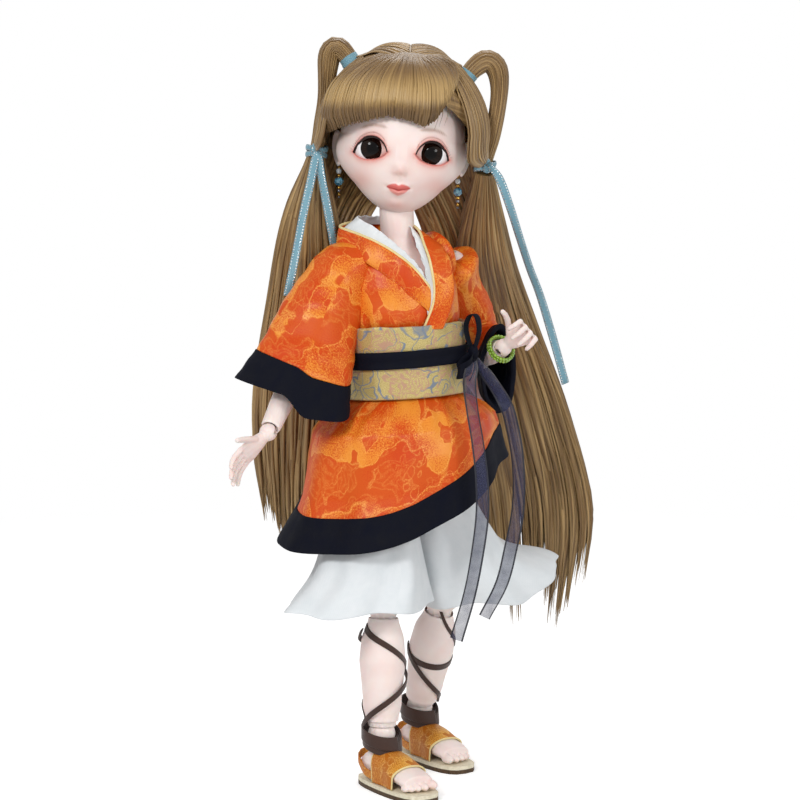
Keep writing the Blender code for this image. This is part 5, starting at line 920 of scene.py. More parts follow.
def strand(bm, path, half, flat, thin=0.5, sides=5, start=0.4, end=0.12, rise=0.12, fall=0.3):
    """One tapered lock; half is its half width in mm."""
    size = taper(half * MM, start, end, rise, fall)
    around = 4 * half * (1 + thin) / 10 * 0.8
    tube(bm, path, size, lambda share: size(share) * thin, flat, sides, (around, length_of(path) * 100),
         shift=(draw(0, 60), draw(0, 60)))


def surface_flat(path):
    """Each place's direction along the head's surface and across the path, for flat locks."""
    middle = HEAD @ mm(0, 0, HEAD_MIDDLE / MM)
    last = len(path) - 1

    def side(share):
        index = round(share * last)
        way = heading(path, index).normalized()
        return way.cross((path[index] - middle).normalized())
    return side


def combed(starts, target, steps, lift, leave=0.8):
    """Points over the wig's surface through head-frame knots, leaving it for the last one."""
    knots = [wig_surface(way, 0) for way in starts] + [target]
    points = []
    for index in range(steps + 1):
        share = index / steps
        raw = spline(knots, share)
        on = wig_surface(head_middle_way(raw), lift(share))
        points.append(HEAD @ on.lerp(raw, smooth(leave, 1.0, share)))
    return points


TIE = {side: mm(sign * 34, 3.1, 20.9) for side, sign in SIDES.items()}
LOOP_WAY = {side: Vector((sign * 0.65, 0.03, 0.76)).normalized() for side, sign in SIDES.items()}


def build_cap():
    """The combed hair's closed under layer, with streaks that run from the parting to the sides."""
    def place(across, down):
        turn = across * 360
        fall = hairline(turn) * max(down, 0.012)
        tuck = 2.6 * smooth(0.9, 1.0, down)
        return HEAD @ wig_surface(crown_way(turn, fall), -0.5 - tuck)

    bm = bmesh.new()
    patch(bm, 120, 44, place, wrap=True)
    layer = bm.loops.layers.uv.verify()
    back = HEAD.inverted()
    for face in bm.faces:
        for loop in face.loops:
            way = back @ loop.vert.co - mm(0, 0, HEAD_TALL)
            swing = math.atan2(-way.y, way.z)
            out = math.atan2(abs(way.x), math.hypot(way.y, way.z))
            loop[layer].uv = (swing * 3.2, out * 3.0 + (7 if way.x > 0 else 0))
    cap = piece("hair_cap", bm, HAIR)
    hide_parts("wig_cap")
    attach(cap, "head")


# The front edge of the hair over each temple: turn from the face and fall from the crown, in degrees
TEMPLE = {"right": ((52, 42), (61, 66), (66, 84), (70, 99)),
          "left": ((44, 40), (50, 64), (54, 86), (55, 101))}


def between(first, middle, last):
    """Directions from first over middle towards last, with the halfway ones."""
    return [first, first.lerp(middle, 0.5).normalized(), middle, middle.lerp(last, 0.5).normalized()]


def build_combed():
    """Locks combed from the parting to the loops' feet, from the temples and from behind to the ties."""
    for side, sign in SIDES.items():
        root = LOOP_WAY[side]
        bm = bmesh.new()
        count = 70
        for index in range(count):
            swing = mix(44, -78, (index + draw(-0.3, 0.3)) / (count - 1))
            first = crown_way(0, swing) if swing > 0 else crown_way(180, -swing)
            first = (first + Vector((sign * 0.012, 0, 0))).normalized()
            lean = root.lerp(first, 0.10).normalized()
            middle = first.lerp(root, 0.5).normalized()
            puff = draw(0.5, 1.1)
            target = wig_surface(lean, 1.2)
            path = combed(between(first, middle, lean), target, 14,
                          lambda share: -0.35 + puff * sin(pi * min(1, share * 1.2)) + 0.5 * share)
            strand(bm, path, draw(0.55, 0.85), surface_flat(path), 0.4, 5, 0.5, 0.6)
        count = 90
        for index in range(count):
            s = (index + draw(-0.3, 0.3)) / (count - 1)
            deep = draw(0, 1)
            front = TEMPLE[side]
            back = ((96, 34), (99, 58), (102, 78), (104, 88))
            ways = [crown_way(sign * mix(a[0], b[0], s), mix(a[1], b[1], s)) for a, b in zip(front, back)]
            target = TIE[side] + mm(draw(-1.6, 1.6), draw(-1.8, 1.8), draw(0, 2.0))
            path = combed(ways, target, 18, lambda share: -0.3 + 0.9 * deep + 1.3 * sin(pi * share) ** 2,
                          0.80)
            strand(bm, path, draw(0.5, 0.85), surface_flat(path), 0.4, 5, 0.4, 0.6)
        count = 80
        for index in range(count):
            s = (index + draw(-0.3, 0.3)) / (count - 1)
            fall = mix(40, 116, s)
            deep = draw(0, 1)
            first = (crown_way(180, fall) + Vector((sign * 0.03, 0, 0))).normalized()
            near = crown_way(sign * 108, mix(78, 99, s))
            middle = first.lerp(near, 0.5).normalized()
            ways = between(first, middle, near) + [near]
            target = TIE[side] + mm(draw(-1.6, 1.6), draw(-1.2, 2.4), draw(-1, 1.5))
            path = combed(ways, target, 20, lambda share: -0.35 + 0.7 * deep + 0.6 * sin(pi * share), 0.8)
            strand(bm, path, draw(0.6, 0.95), surface_flat(path), 0.4, 5, 0.5, 0.6)
        locks = piece("combed_hair_" + side, bm, HAIR)
        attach(locks, "head")


FRINGE_LOW = ((-74, 91), (-60, 88), (-40, 82.5), (-13, 75), (4, 77), (17, 80.5), (25, 76), (38, 62),
              (52, 50))


def fringe_low(turn):
    """How far down from the crown the fringe ends at a turn from the face, in degrees."""
    return blend_rows(FRINGE_LOW, turn)[0]


def fringe_point(turn, low, share, grow):
    """A place of a fringe lock: up from the crown, out over the brow, rolled under at its end."""
    aside = turn * mix(0.62, 1.0, smooth(0, 0.6, share))
    fall = mix(25, low, share ** 0.92)
    puff = 3.1 * sin(pi * min(1.0, share * 0.86 + 0.05)) ** 0.8
    roll = 2.5 * smooth(0.84, 1.0, share)
    return HEAD @ wig_surface(crown_way(aside, fall), grow + puff - roll)


def build_fringe():
    """The rolled fringe: an under sheet, two layers of locks and a few loose hairs."""
    def base(across, down):
        turn = mix(-70, 50, across)
        return fringe_point(turn, fringe_low(turn) - 1.5, down, -0.35)

    under = grid("fringe_under", 70, 18, base, FRINGE, (6.0, 3.6))
    give_wall(under, 0.0008)
    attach(under, "head")
    bm = bmesh.new()
    for layer, count, lift in ((0, 150, 0.10), (1, 120, 0.35)):
        for index in range(count):
            turn = mix(-71, 50, (index + draw(-0.45, 0.45)) / (count - 1))
            low = fringe_low(turn) + draw(-0.8, 1.0)
            grow = lift + draw(-0.12, 0.15)
            begin = draw(0, 0.06) + 0.05 * layer
            sway = draw(-1.6, 1.6)
            path = [fringe_point(turn + sway * (1 - k / 16), low, mix(begin, 1, k / 16),
                                 grow - 0.9 * smooth(0.25, 0, k / 16))
                    for k in range(17)]
            strand(bm, path, draw(0.45, 0.75), surface_flat(path), 0.35, 5, 0.3, 0.35, 0.15, 0.12)
    for turn, low, bend in ((27, 80, 3), (30, 79, 5), (33, 76, 4), (36, 73, 6), (41, 70, 5), (24, 83, 2),
                            (-50, 86, -2)):
        path = [fringe_point(turn + bend * (k / 12) ** 2, low, mix(0.3, 1.0, k / 12),
                             0.4 - 1.2 * (k / 12) ** 3)
                for k in range(13)]
        strand(bm, path, 0.14, surface_flat(path), 0.8, 4, 0.8, 0.3)
    locks = piece("fringe_locks", bm, FRINGE)
    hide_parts("fringe")
    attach(locks, "head")


# Each loop in the head's own frame, in mm: from its foot over the top and down to the tie
LOOP_KNOTS = {
    "right": ((-21, 1.2, 54.5), (-25.5, 2, 60), (-29.4, 3, 62.6), (-32.0, 4, 59.5), (-32.4, 4.5, 51),
              (-32.2, 4.4, 41),
              (-33, 3.8, 31), (-34, 3.1, 22.4)),
    "left": ((21.5, 1.2, 53), (26, 2, 59), (30.6, 3, 62.4), (35.0, 4, 60), (37.0, 4.5, 53), (37.0, 4.4, 43),
             (35.8, 3.8, 32), (34.2, 3.1, 22.4)),
}


LOOP_WIDE, LOOP_THICK = 4.1, 3.5


def loop_path(side):
    """The middle line of one standing loop."""
    root = LOOP_WAY[side]
    knots = [wig_surface(root, -2.0)] + [mm(*knot) for knot in LOOP_KNOTS[side]]
    return [HEAD @ point for point in route(knots, 34)]


def loop_width(share):
    """A loop's share of its full width along its run."""
    return 0.86 + 0.36 * bell(share - 0.32, 0.16) - 0.16 * smooth(0.8, 1.0,
                                                                  share) - 0.1 * smooth(0.12, 0.0, share)


def build_loops():
    """The two standing loops, each a core with locks round it."""
    across = HEAD_BACK
    for side in SIDES:
        path = loop_path(side)
        bm = bmesh.new()
        tube(bm, path, lambda share: LOOP_WIDE * MM * loop_width(share),
             lambda share: LOOP_THICK * MM * loop_width(share), across, 12,
             (2.2, length_of(path) * 100))
        last = len(path) - 1
        for index in range(64):
            angle = index * TURN / 64 + draw(-0.1, 0.1)
            reach = draw(0.93, 1.02)
            drift = draw(-0.5, 0.5)
            points = []
            for k, point in enumerate(path):
                way = heading(path, k).normalized()
                flat = square_to(across, way)
                up = way.cross(flat)
                spin = angle + drift * k / last
                width = loop_width(k / last) * MM * reach
                points.append(point + flat * cos(spin) * LOOP_WIDE * width
                              + up * sin(spin) * LOOP_THICK * width)
            strand(bm, points, draw(0.3, 0.5), across, 0.8, 4, 0.8, 0.8)
        loop = piece("hair_loop_locks_" + side, bm, HAIR)
        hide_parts("hair_loop_" + side)
        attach(loop, "head")


LENGTHS = {"right": 0.170, "left": 0.200}
LENGTH_SHARES = {
    "right": ((0.16, 0.50, 0.44, 0.20, 0.09), (0.34, 0.42, 0.58, 0.30, 0.09), (0.60, 0.32, 0.84, 0.36, 0.09),
              (0.82, 0.27, 0.97, 0.30, 0.07), (1.00, 0.25, 0.97, 0.24, 0.03)),
    "left": ((0.16, 0.88, 0.08, 0.20, 0.09), (0.32, 1.22, 0.40, 0.32, 0.09), (0.52, 1.44, 0.42, 0.44, 0.09),
             (0.74, 1.64, 0.42, 0.48, 0.07), (1.00, 1.66, 0.44, 0.36, 0.03)),
}
SPREAD = 0.053


def length_rows(side, sign):
    """The long hair's middle, half width and half thickness down its run."""
    start = HEAD @ (TIE[side] - mm(0, 0, 2.2))
    rows = [(start, 3.2 * MM, 3.2 * MM)]
    for down, out, back, wide, thick in LENGTH_SHARES[side]:
        middle = Vector((AT["neck"].x + sign * SPREAD * out, AT["neck"].y + SPREAD * back,
                         start.z - LENGTHS[side] * down))
        rows.append((middle, SPREAD * wide, SPREAD * thick))
    return rows


def build_lengths():
    """The long straight hair below the ties, in an outer and an inner layer."""
    flat = HEAD_ASIDE
    for side, sign in SIDES.items():
        rows = length_rows(side, sign)
        middles = [row[0] for row in rows]
        sizes = [Vector((row[1], row[2], 0)) for row in rows]
        for part, count, low, high in (("outer", 300, -1.0, 1.0), ("inner", 150, -1.0, 1.0)):
            bm = bmesh.new()
            for index in range(count):
                u = mix(low, high, (index + draw(0, 1)) / count)
                v = draw(-1, 1) * math.sqrt(max(0.05, 1 - u * u * 0.8))
                if part == "outer":
                    v = math.copysign(mix(0.55, 1.0, abs(v)), v)
                reach = draw(0.93, 1.0) if rng.random() < 0.8 else draw(0.80, 0.95)
                reach -= 0.05 * abs(u) * (side == "right")
                clump = round(u * 7) / 7
                reach -= 0.075 * (0.5 + 0.5 * sin(clump * 37 + 2.0))
                wander = [Vector((draw(-1, 1), draw(-1, 1), 0)) * 0.45 * MM * k for k in range(len(rows))]
                knots = []
                for k, (middle, size) in enumerate(zip(middles, sizes)):
                    deep = heading(middles, k).normalized().cross(flat).normalized()
                    own = mix(u, clump, 0.75 * smooth(0.55, 1.0, k / (len(rows) - 1)))
                    knots.append(middle + flat * own * size.x + deep * v * size.y + wander[k] * 0.5)
                path = [spline(knots, reach * k / 26) for k in range(27)]
                strand(bm, path, draw(0.5, 1.0) if part == "outer" else draw(1.3, 2.0), flat, 0.3, 5,
                       0.35, 0.05, 0.2, 0.14)
            name = "long_hair_%s_%s" % (part, side)
            lock = piece(name, bm, HAIR)
            if part == "outer":
                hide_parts("hair_length_" + side)
            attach(lock, "head")


def build_nape():
    """Hair from the back of the head that falls behind the neck and joins both lengths."""
    flat = HEAD_ASIDE
    for side, sign in SIDES.items():
        rows = length_rows(side, sign)
        bm = bmesh.new()
        count = 120
        for index in range(count):
            s = (index + draw(0, 1)) / count
            turn = sign * mix(104, 176, s)
            first = HEAD @ wig_surface(crown_way(turn, hairline(turn) - 14), draw(-1.2, 0.2))
            below = HEAD @ wig_surface(crown_way(turn, hairline(turn) + 2), draw(-1.6, 0.0))
            u = -sign * mix(-0.4, 1.0, s) + draw(-0.1, 0.1)
            knots = [first, below]
            for k in (1, 2, 3):
                middle, wide, thick = rows[k]
                own = middle + flat * u * wide * 1.15 + Vector((0, draw(-1, 1) * thick, 0))
                keep = (0.45, 0.2, 0.0)[k - 1]
                own += (Vector((below.x, below.y + 0.004, own.z)) - own) * keep * s
                knots.append(own)
            path = [spline(knots, draw(0.9, 1.0) * k / 22) for k in range(23)]
            strand(bm, path, draw(0.7, 1.2), flat, 0.35, 5, 0.5, 0.05, 0.1, 0.18)
        lock = piece("nape_hair_" + side, bm, HAIR)
        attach(lock, "head")


build_cap()
build_combed()
build_fringe()
build_loops()
build_lengths()
build_nape()


# Clothes, as hand-built curved sheets

VIEW_RIGHT = Vector((0.8192, -0.5736, 0))
VIEW_AHEAD = Vector((0.5736, 0.8192, 0))


def seen(aside, height, depth):
    """A place in mm as it is seen from the front three-quarter view: aside of the middle, up, and away."""
    return mm(20.5, 27, height) + (VIEW_RIGHT * aside + VIEW_AHEAD * depth) * MM


CHEST_SHARES = ((-0.30, 0.93, 0.95), (-0.08, 0.93, 0.95), (0.10, 0.94, 0.96), (0.34, 0.96, 1.0),
                (0.58, 1.0, 1.04),
                (0.84, 1.0, 0.98), (1.03, 0.90, 0.78), (1.14, 0.58, 0.56), (1.22, 0.36,
                                                                            0.45), (1.4, 0.27, 0.36))


# The upper body's half width, half depth and height, in mm
CHEST_WIDE, CHEST_DEEP, CHEST_TALL = 21.5, 18, 39


def torso_point(turn, share, grow):
    """A place round the upper body: turn in degrees, share of the chest's height, grow in mm."""
    wide, deep = blend_rows(CHEST_SHARES, share)
    turn = radians(turn)
    rise = grow * clamp((share - 0.90) * 5)
    return CHEST @ mm((CHEST_WIDE * wide + grow) * sin(turn), -(CHEST_DEEP * deep + grow) * cos(turn),
                      CHEST_TALL * share + rise)


def waves(value, parts):
    """A sum of sines: parts are (count, size, start)."""
    return sum(size * sin(count * value + start) for count, size, start in parts)


def strip(bm, path, width, flat, scale=None, bow=0.0, columns=4):
    """A flat ribbon along path; flat gives its width's direction."""
    last = len(path) - 1

    def place(across, down):
        index = round(down * last)
        way = heading(path, index).normalized()
        side = square_to(at(flat, down), way)
        up = way.cross(side)
        return path[index] + side * at(width, down) * (across - 0.5) + up * bow * (1 - (2 * across - 1) ** 2)

    patch(bm, columns, last, place, scale or (1.0, length_of(path) * 100))


NECKLINE = ((0, 0.80), (22, 0.82), (30, 0.90), (48, 1.03), (80, 1.165), (130, 1.175), (180, 1.18),
            (230, 1.175),
            (280, 1.165), (314, 1.02), (340, 0.82), (360, 0.80))
OBI_LOW, OBI_HIGH = -0.30, 0.4436


def build_bodice():
    """The jacket's body, from its crossed neckline to under the waist band."""
    def place(across, down):
        turn = across * 360
        top = blend_rows(NECKLINE, turn)[0] - 0.01
        share = mix(top, -0.27, down)
        angle = radians(turn)
        near_obi = smooth(0.75, 0.42, share)
        folds = near_obi * 0.35 * waves(angle, ((17, 1, 0.3), (9, 0.8, 1.9), (27, 0.4, 0.5)))
        drape = 0.35 * waves(angle * 3 + share * 6, ((1, 1, 0.4), (2, 0.5, 1.1))) * smooth(0.3, 0.7, share)
        full = 0.9 * near_obi * smooth(0.40, 0.5, share)
        return torso_point(turn, share, 1.9 + folds + drape * 0.6 + full)

    body = grid("jacket_bodice", 120, 44, place, ORANGE, (15.5, 5.4), wrap=True, thick=0.0006, rounds=1)
    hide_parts("jacket_body")
    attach(body, "chest")


# The neck band's edges, from the end at the waist over the crossing, round the neck and under it
BAND_TOP = ((9.6, 183.0, -18.6), (13.8, 195.6, -18.4), (13.0, 205.6, -17.2), (10.4, 215.0, -12),
            (7.6, 221.5, -5),
            (3.0, 223.5, 8), (-8.0, 224.5, 12), (-18.0, 224.2, 7.5), (-24.0, 222.6,
                                                                      -1.5), (-15.0, 219.4, -10.5),
            (-8.0, 216.4, -13.6), (-0.8, 212.0, -16.0), (5.2, 207.2, -17.0), (11.4, 199.8,
                                                                              -16.6), (16, 192, -14.5))
BAND_LOW = ((17.0, 183.0, -17.4), (21.4, 195.6, -16.2), (20.6, 206.6, -14.2), (18.4, 213.2, -9),
            (15.0, 216.0, -1),
            (6.0, 213.5, 12), (-8.0, 212.5, 15), (-19.0, 212.0, 10), (-25.2, 211.0,
                                                                      -3.0), (-16.6, 210.4, -13.0),
            (-10.2, 207.2, -16.0), (-3.4, 202.0, -17.8), (3.4, 196.4, -18.2), (10.6, 190.6,
                                                                               -17.6), (15, 184, -16))
LINING = ((8.0, 198.0, -16.2), (10.4, 200.5, -15.6), (9.6, 207.5, -13.8), (6.6, 215.5, -9.6),
          (4.2, 222.5, -4),
          (1.5, 225.5, 6), (-8.0, 226.5, 9.5), (-15.0, 227.0, 5), (-16.5, 226.5, -2.5), (-10.0, 223.0, -8.6),
          (-4.2, 218.6, -10.6), (2.4, 213.0, -13.0), (7.6, 207.6, -14.6), (11.0, 201.4,
                                                                           -15.2), (13, 196, -14))


def from_neck(point):
    """The level direction from the neck's middle to a place."""
    return Vector((point.x - AT["neck"].x, point.y - AT["neck"].y, 0)).normalized()


def band_place(rows, share):
    """A place on an edge of the neck band."""
    return spline([seen(*row) for row in rows], share)


def build_collar():
    """The jacket's neck band, its piping and its stitches."""
    def band(across, down):
        low, top = band_place(BAND_LOW, down), band_place(BAND_TOP, down)
        point = low.lerp(top, across)
        out = from_neck(point)
        soft = 0.55 * sin(pi * across) + 0.14 * sin(down * 47)
        soft += 0.10 * sin(down * 83 + across * 4)
        return point + out * soft * MM

    collar = grid("collar_band", 12, 150, band, ORANGE, (0.8, 13.5), thick=0.0007, rounds=1)
    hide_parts("jacket_collar")
    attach(collar, "chest")
    bm = bmesh.new()
    path = [band(1.03, k / 160) for k in range(161)]
    tube(bm, path, 0.00058, 0.00046, UP + Vector((0.3, 0.2, 0)), 8, (0.3, 13.5))
    close_ends(bm)
    piping = piece("collar_piping", bm, PIPING)
    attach(piping, "chest")
    bm = bmesh.new()
    for offset in (0.10, 0.86):
        for k in range(100):
            points = []
            for step in (0.1, 0.4, 0.7):
                point = band(offset, (k + step) / 100)
                out = from_neck(point)
                points.append(point + out * 0.00045)
            tube(bm, points, 0.00009, 0.00006, UP, 4)
    stitches = piece("collar_stitches", bm, ORANGE_THREAD)
    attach(stitches, "chest")


def build_shirt():
    """The white shirt: its crossed collar with a ruffled edge, and its body."""
    def place(across, down):
        low, top = band_place(BAND_TOP, mix(0.03, 0.97, down)), band_place(LINING, mix(0.03, 0.97, down))
        back = from_neck(low) * -0.0008
        ruffle = 0.40 * smooth(0.5, 1.0, across) * waves(down * 120, ((1, 1, 0.2), (2.3, 0.5, 1.0)))
        out = from_neck(top)
        return (low + back - UP * 0.0012).lerp(top, across) + (out * ruffle * 0.6 + UP * ruffle * 0.5) * MM

    collar = grid("shirt_collar", 12, 220, place, WHITE, (0.55, 12.0), thick=0.0004, rounds=1)
    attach(collar, "chest")

    def inner(across, down):
        turn = across * 360
        top = blend_rows(NECKLINE, turn)[0] + 0.035
        front = smooth(40, 15, min(turn, 360 - turn))
        return torso_point(turn, mix(top - 0.05 * front, 0.55, down), 0.75)

    shirt = grid("shirt_body", 96, 20, inner, WHITE, (14.5, 2.4), wrap=True, thick=0.0005, rounds=1)
    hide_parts("shirt")
    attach(shirt, "chest")


def build_obi():
    """The brocade waist band and the dark sash round it."""
    def place(across, down):
        turn = across * 360
        share = mix(OBI_HIGH, OBI_LOW, down)
        angle = radians(turn)
        top_edge = smooth(0.16, 0.0, down)
        gather = waves(angle, ((23, 0.22, 0.4), (41, 0.12, 2.0), (11, 0.15, 1.0))) * (0.35 + 0.8 * top_edge)
        pinch = -0.25 * bell(down - 0.46, 0.10)
        return torso_point(turn, share + 0.006 * waves(angle, ((5, 1, 0.3), (13, 0.6, 1.5))) * top_edge,
                           5.1 + gather * 0.7 + pinch)

    obi = grid("waist_band", 160, 26, place, BROCADE, (15.8, 2.9), wrap=True, thick=0.0011, rounds=1)
    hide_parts("obi")
    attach(obi, "chest")

    def ring(across, down):
        turn = across * 360
        angle = radians(turn)
        share = mix(0.1918, 0.0123, down)
        fold = 0.16 * sin(down * 9 + sin(angle * 2)) + 0.10 * sin(angle * 19 + down * 4)
        rise = 0.010 * smooth(-60, 40, turn if turn < 180 else turn - 360)
        return torso_point(turn, share + rise, 6.6 + fold)

    sash = grid("sash_band", 140, 10, ring, NAVY, (16.0, 0.7), wrap=True, thick=0.0006, rounds=1)
    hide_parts("sash")
    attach(sash, "chest")
    return obi, sash


KNOT_ACROSS = CHEST.to_3x3() @ Vector((cos(radians(40)), sin(radians(40)), 0))
KNOT_OUT = CHEST.to_3x3() @ Vector((sin(radians(40)), -cos(radians(40)), 0))
KNOT = torso_point(40, 0.102, 9.4)


def by_knot(across, out, rise):
    """A place near the bow's knot, in mm: across, out of the band and up."""
    return KNOT + (KNOT_ACROSS * across + KNOT_OUT * out + UP * rise) * MM


def build_bow():
    """The upright loop, the side loop and the short end of the bow, and its knot."""
    bm = bmesh.new()
    first = [by_knot(-0.4, 0.6, 0.5), by_knot(-0.8, -1.6, 6), by_knot(-1.0, -2.4, 11.5),
             by_knot(-1.1, -0.6, 15.6),
             by_knot(-1.0, 2.2, 15.0), by_knot(-0.7, 3.2, 9.5), by_knot(-0.4, 1.8,
                                                                        3.5), by_knot(-0.2, 0.4, 0.2)]
    path = route(first, 44)
    strip(bm, path, lambda s: (3.4 + 1.2 * sin(pi * s)) * MM, KNOT_ACROSS + KNOT_OUT * 0.30, (0.48, 3.6),
          0.0002)
    second = [by_knot(-1.0, 0.6, 0.0), by_knot(-5.5, 1.4, -2.2), by_knot(-9.5, 1.0, -4.6),
              by_knot(-12.2, -1.2, -6.2),
              by_knot(-11.0, -3.4, -6.4), by_knot(-7.2, -3.0, -4.4), by_knot(-3.4, -1.6,
                                                                             -2.0), by_knot(-1.0, 0.0, 0.0)]
    path = route(second, 44)
    strip(bm, path, lambda s: (3.2 + 2.6 * sin(pi * s)) * MM, UP + KNOT_ACROSS * 0.2, (0.55, 3.0), 0.0004, 6)
    third = [by_knot(-0.6, 0.8, 0.0), by_knot(-3.5, 2.2, -4.0), by_knot(-5.4, 1.6, -8.0),
             by_knot(-6.6, 0.6, -10.4)]
    path = route(third, 20)
    strip(bm, path, lambda s: (3.0 + 1.6 * s) * MM, UP * 0.4 + KNOT_ACROSS, (0.48, 1.2), 0.0003)
    loops = piece("bow_loops", bm, NAVY)
    give_wall(loops, 0.00035)
    soften(loops, 1)

    def knot(across, down):
        turn = across * TURN
        fall = down * pi
        ridge = 1 + 0.10 * sin(turn * 5 + down * 5) * sin(fall)
        return by_knot(2.6 * sin(fall) * sin(turn) * ridge - 0.4, 2.1 * cos(turn) * sin(fall) * ridge + 0.6,
                       3.4 * cos(fall) + 0.4 * sin(turn * 2))

    tied = grid("bow_knot", 32, 20, knot, NAVY, (1.2, 1.0), wrap=True, rounds=1)
    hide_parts("bow")
    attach(loops, "chest")
    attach(tied, "chest")
    return loops, tied


def organza():
    """Sheer dark ribbon: crossing threads with gaps, and two close-woven edges."""
    material, t, surface = shader("sheer_organza", Sheen_Weight=0.3, Sheen_Roughness=0.4,
                                  Specular_IOR_Level=0.4)
    uv = t.place("UV")
    parts = t.add("SeparateXYZ", uv)
    off = t.math("ABSOLUTE", t.less(parts.outputs[0], 0.24))
    edge = t.range(off, 0.165, 0.185)
    warp = t.math("ABSOLUTE", t.math("SINE", t.times(parts.outputs[0], 95.0)))
    weft = t.math("ABSOLUTE", t.math("SINE", t.times(parts.outputs[1], 95.0)))
    mesh = t.range(t.most(warp, weft), 0.62, 0.95, 0.34, 0.72)
    cloudy = t.add("TexNoise", uv, Scale=2.2, Detail=3.0).outputs[0]
    cover = t.times(mesh, t.range(cloudy, 0.3, 0.7, 0.9, 1.15))
    t.put(surface.inputs["Alpha"], t.most(cover, t.times(edge, 0.97), limit=True))
    t.dress(surface, t.colours(edge, rgb("26294a"), rgb("090b1c")), t.range(cloudy, 0.3, 0.7, 0.45, 0.6),
            t.bump(t.most(warp, weft), 0.3, 0.00006))
    return material


ORGANZA = organza()
# The tails as seen from the front three-quarter view: aside, up and away, in mm
TAIL_KNOTS = (((27.4, 163, -27), (28.4, 152, -31), (30.4, 140, -34), (32.0, 126, -37), (32.2, 112, -38.5),
               (30.2, 96, -39.5), (27.2, 80, -39), (22.2, 62, -37)),
              ((40.6, 156, -26), (44.6, 144, -28), (46.6, 129, -31), (46.4, 113, -32.5), (43.6, 98, -34),
               (40.0, 84, -35), (33.2, 70.8, -36)))


def build_tails():
    """The bow's two long sheer tails."""
    made = []
    for index, tail in enumerate(TAIL_KNOTS):
        start = by_knot(-0.2 + 1.4 * index, 0.8 + 0.4 * index, -2.2)
        knots = [start] + [seen(*knot) for knot in tail]
        path = route(knots, 70)
        bm = bmesh.new()

        def flat(share, own=index):
            turn = 0.42 * sin(share * 5.5 + own * 2) * smooth(0.05, 0.3, share)
            level = VIEW_RIGHT * cos(turn) + VIEW_AHEAD * sin(turn)
            return level + UP * 0.08 * sin(share * 7 + own)

        def wide(share):
            return mix(2.8, 5.4, smooth(0, 0.10, share)) * MM

        strip(bm, path, wide, flat, (0.48, length_of(path) * 100), 0.0005, 8)
        tail_piece = piece("sash_tail_%d" % (index + 1), bm, ORGANZA)
        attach(tail_piece, "chest")
        if index == 0:
            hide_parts("sash_tails")
        made.append((tail_piece, path, start))
    return made


# Each section of the right sleeve: its two ends as seen from the front three-quarter view (aside, up), its
# middle's depth, half the depth and how far its front hangs below its back, in mm
RIGHT_SLEEVE = ((-15.0, 217.5, -8.5, 203.0, -3, 9.5, 0), (-28.0, 214.5, -13.0, 196.0, -6, 12.5, 0),
                (-39.0, 203.5, -16.2, 184.5, -12, 12.0, 0), (-47.6, 188.5, -18.0, 173.5, -18, 11.0, 1.0),
                (-55.4, 175.4, -19.8, 162.2, -25, 11.0, 1.8), (-63.2, 164.6, -20.4, 152.0, -29, 11.6, 6.0))
LEFT_SLEEVE = ((0.02, 0.13, 0.17, -0.30, 0.04), (-0.10, 0.22, 0.25, -0.13, -0.01),
               (0.0, 0.25, 0.25, -0.03, -0.01), (0.25, 0.21, 0.20, 0, 0), (0.50, 0.21, 0.20, 0.05, 0))
BENT_ROWS = ((-0.102, 0.240, 0.371, -0.175, 0.371, 0.21), (-0.060, 0.252, 0.336, -0.210, 0.038, 0.21),
             (-0.005, 0.268, 0.335, -0.012, -0.343, 0.20), (-0.071, 0.345, 0.324, 0.321, -0.414, 0.19),
             (-0.119, 0.476, 0.341, 0.476, -0.474, 0.19))
CUFF = 0.042


def arm_point(side, share):
    """A place along the arm: 0 at the shoulder, 1 at the elbow, 2 at the wrist."""
    shoulder, elbow, wrist = AT["shoulder_" + side], AT["elbow_" + side], AT["wrist_" + side]
    return shoulder.lerp(elbow, share) if share <= 1 else elbow.lerp(wrist, share - 1)


def sleeve_sections(side, sign):
    """Each section's middle, half width, half depth and sag; the last pair bounds the cuff."""
    sections = []
    if side == "right":
        for left, left_up, right, right_up, depth, deep, sag in RIGHT_SLEEVE:
            outer, inner = seen(left, left_up, depth), seen(right, right_up, depth)
            sections.append(((outer + inner) / 2, (inner - outer) / 2, -VIEW_AHEAD * deep * MM,
                             Vector((0, 0, -sag * MM))))
        return sections
    path = [arm_point(side, share) + Vector((sign * aside, 0, -down)) * CUFF
            for share, wide, deep, aside, down in LEFT_SLEEVE]
    for index, row in enumerate(LEFT_SLEEVE):
        turn = frame_along(path[index], heading(path, index), ASIDE).to_3x3()
        sections.append((path[index], turn @ Vector((row[1] * CUFF, 0, 0)),
                         turn @ Vector((0, -row[2] * CUFF, 0)), Vector()))
    for beside, ahead, rise, ahead_low, rise_low, wide in BENT_ROWS:
        upper = Vector((beside, -ahead, rise)) * CUFF
        lower = Vector((beside, -ahead_low, rise_low)) * CUFF
        sections.append((AT["elbow_left"] + (upper + lower) / 2, Vector((CUFF * wide, 0, 0)),
                         (upper - lower) / 2, Vector()))
    return sections


def sleeve_point(sections, place, turn, grow):
    """place counts sections from 0; turn is in whole rounds."""
    share = place / (len(sections) - 1)
    middle, across, deep, sag = (spline([section[k] for section in sections], share) for k in range(4))
    angle = turn * TURN
    low = smooth(-0.15, 0.2, sin(angle)) * max(0.0, cos(angle)) ** 0.5
    point = middle + across * sin(angle) + deep * cos(angle) + sag * low
    return point + (point - middle).normalized() * grow * MM


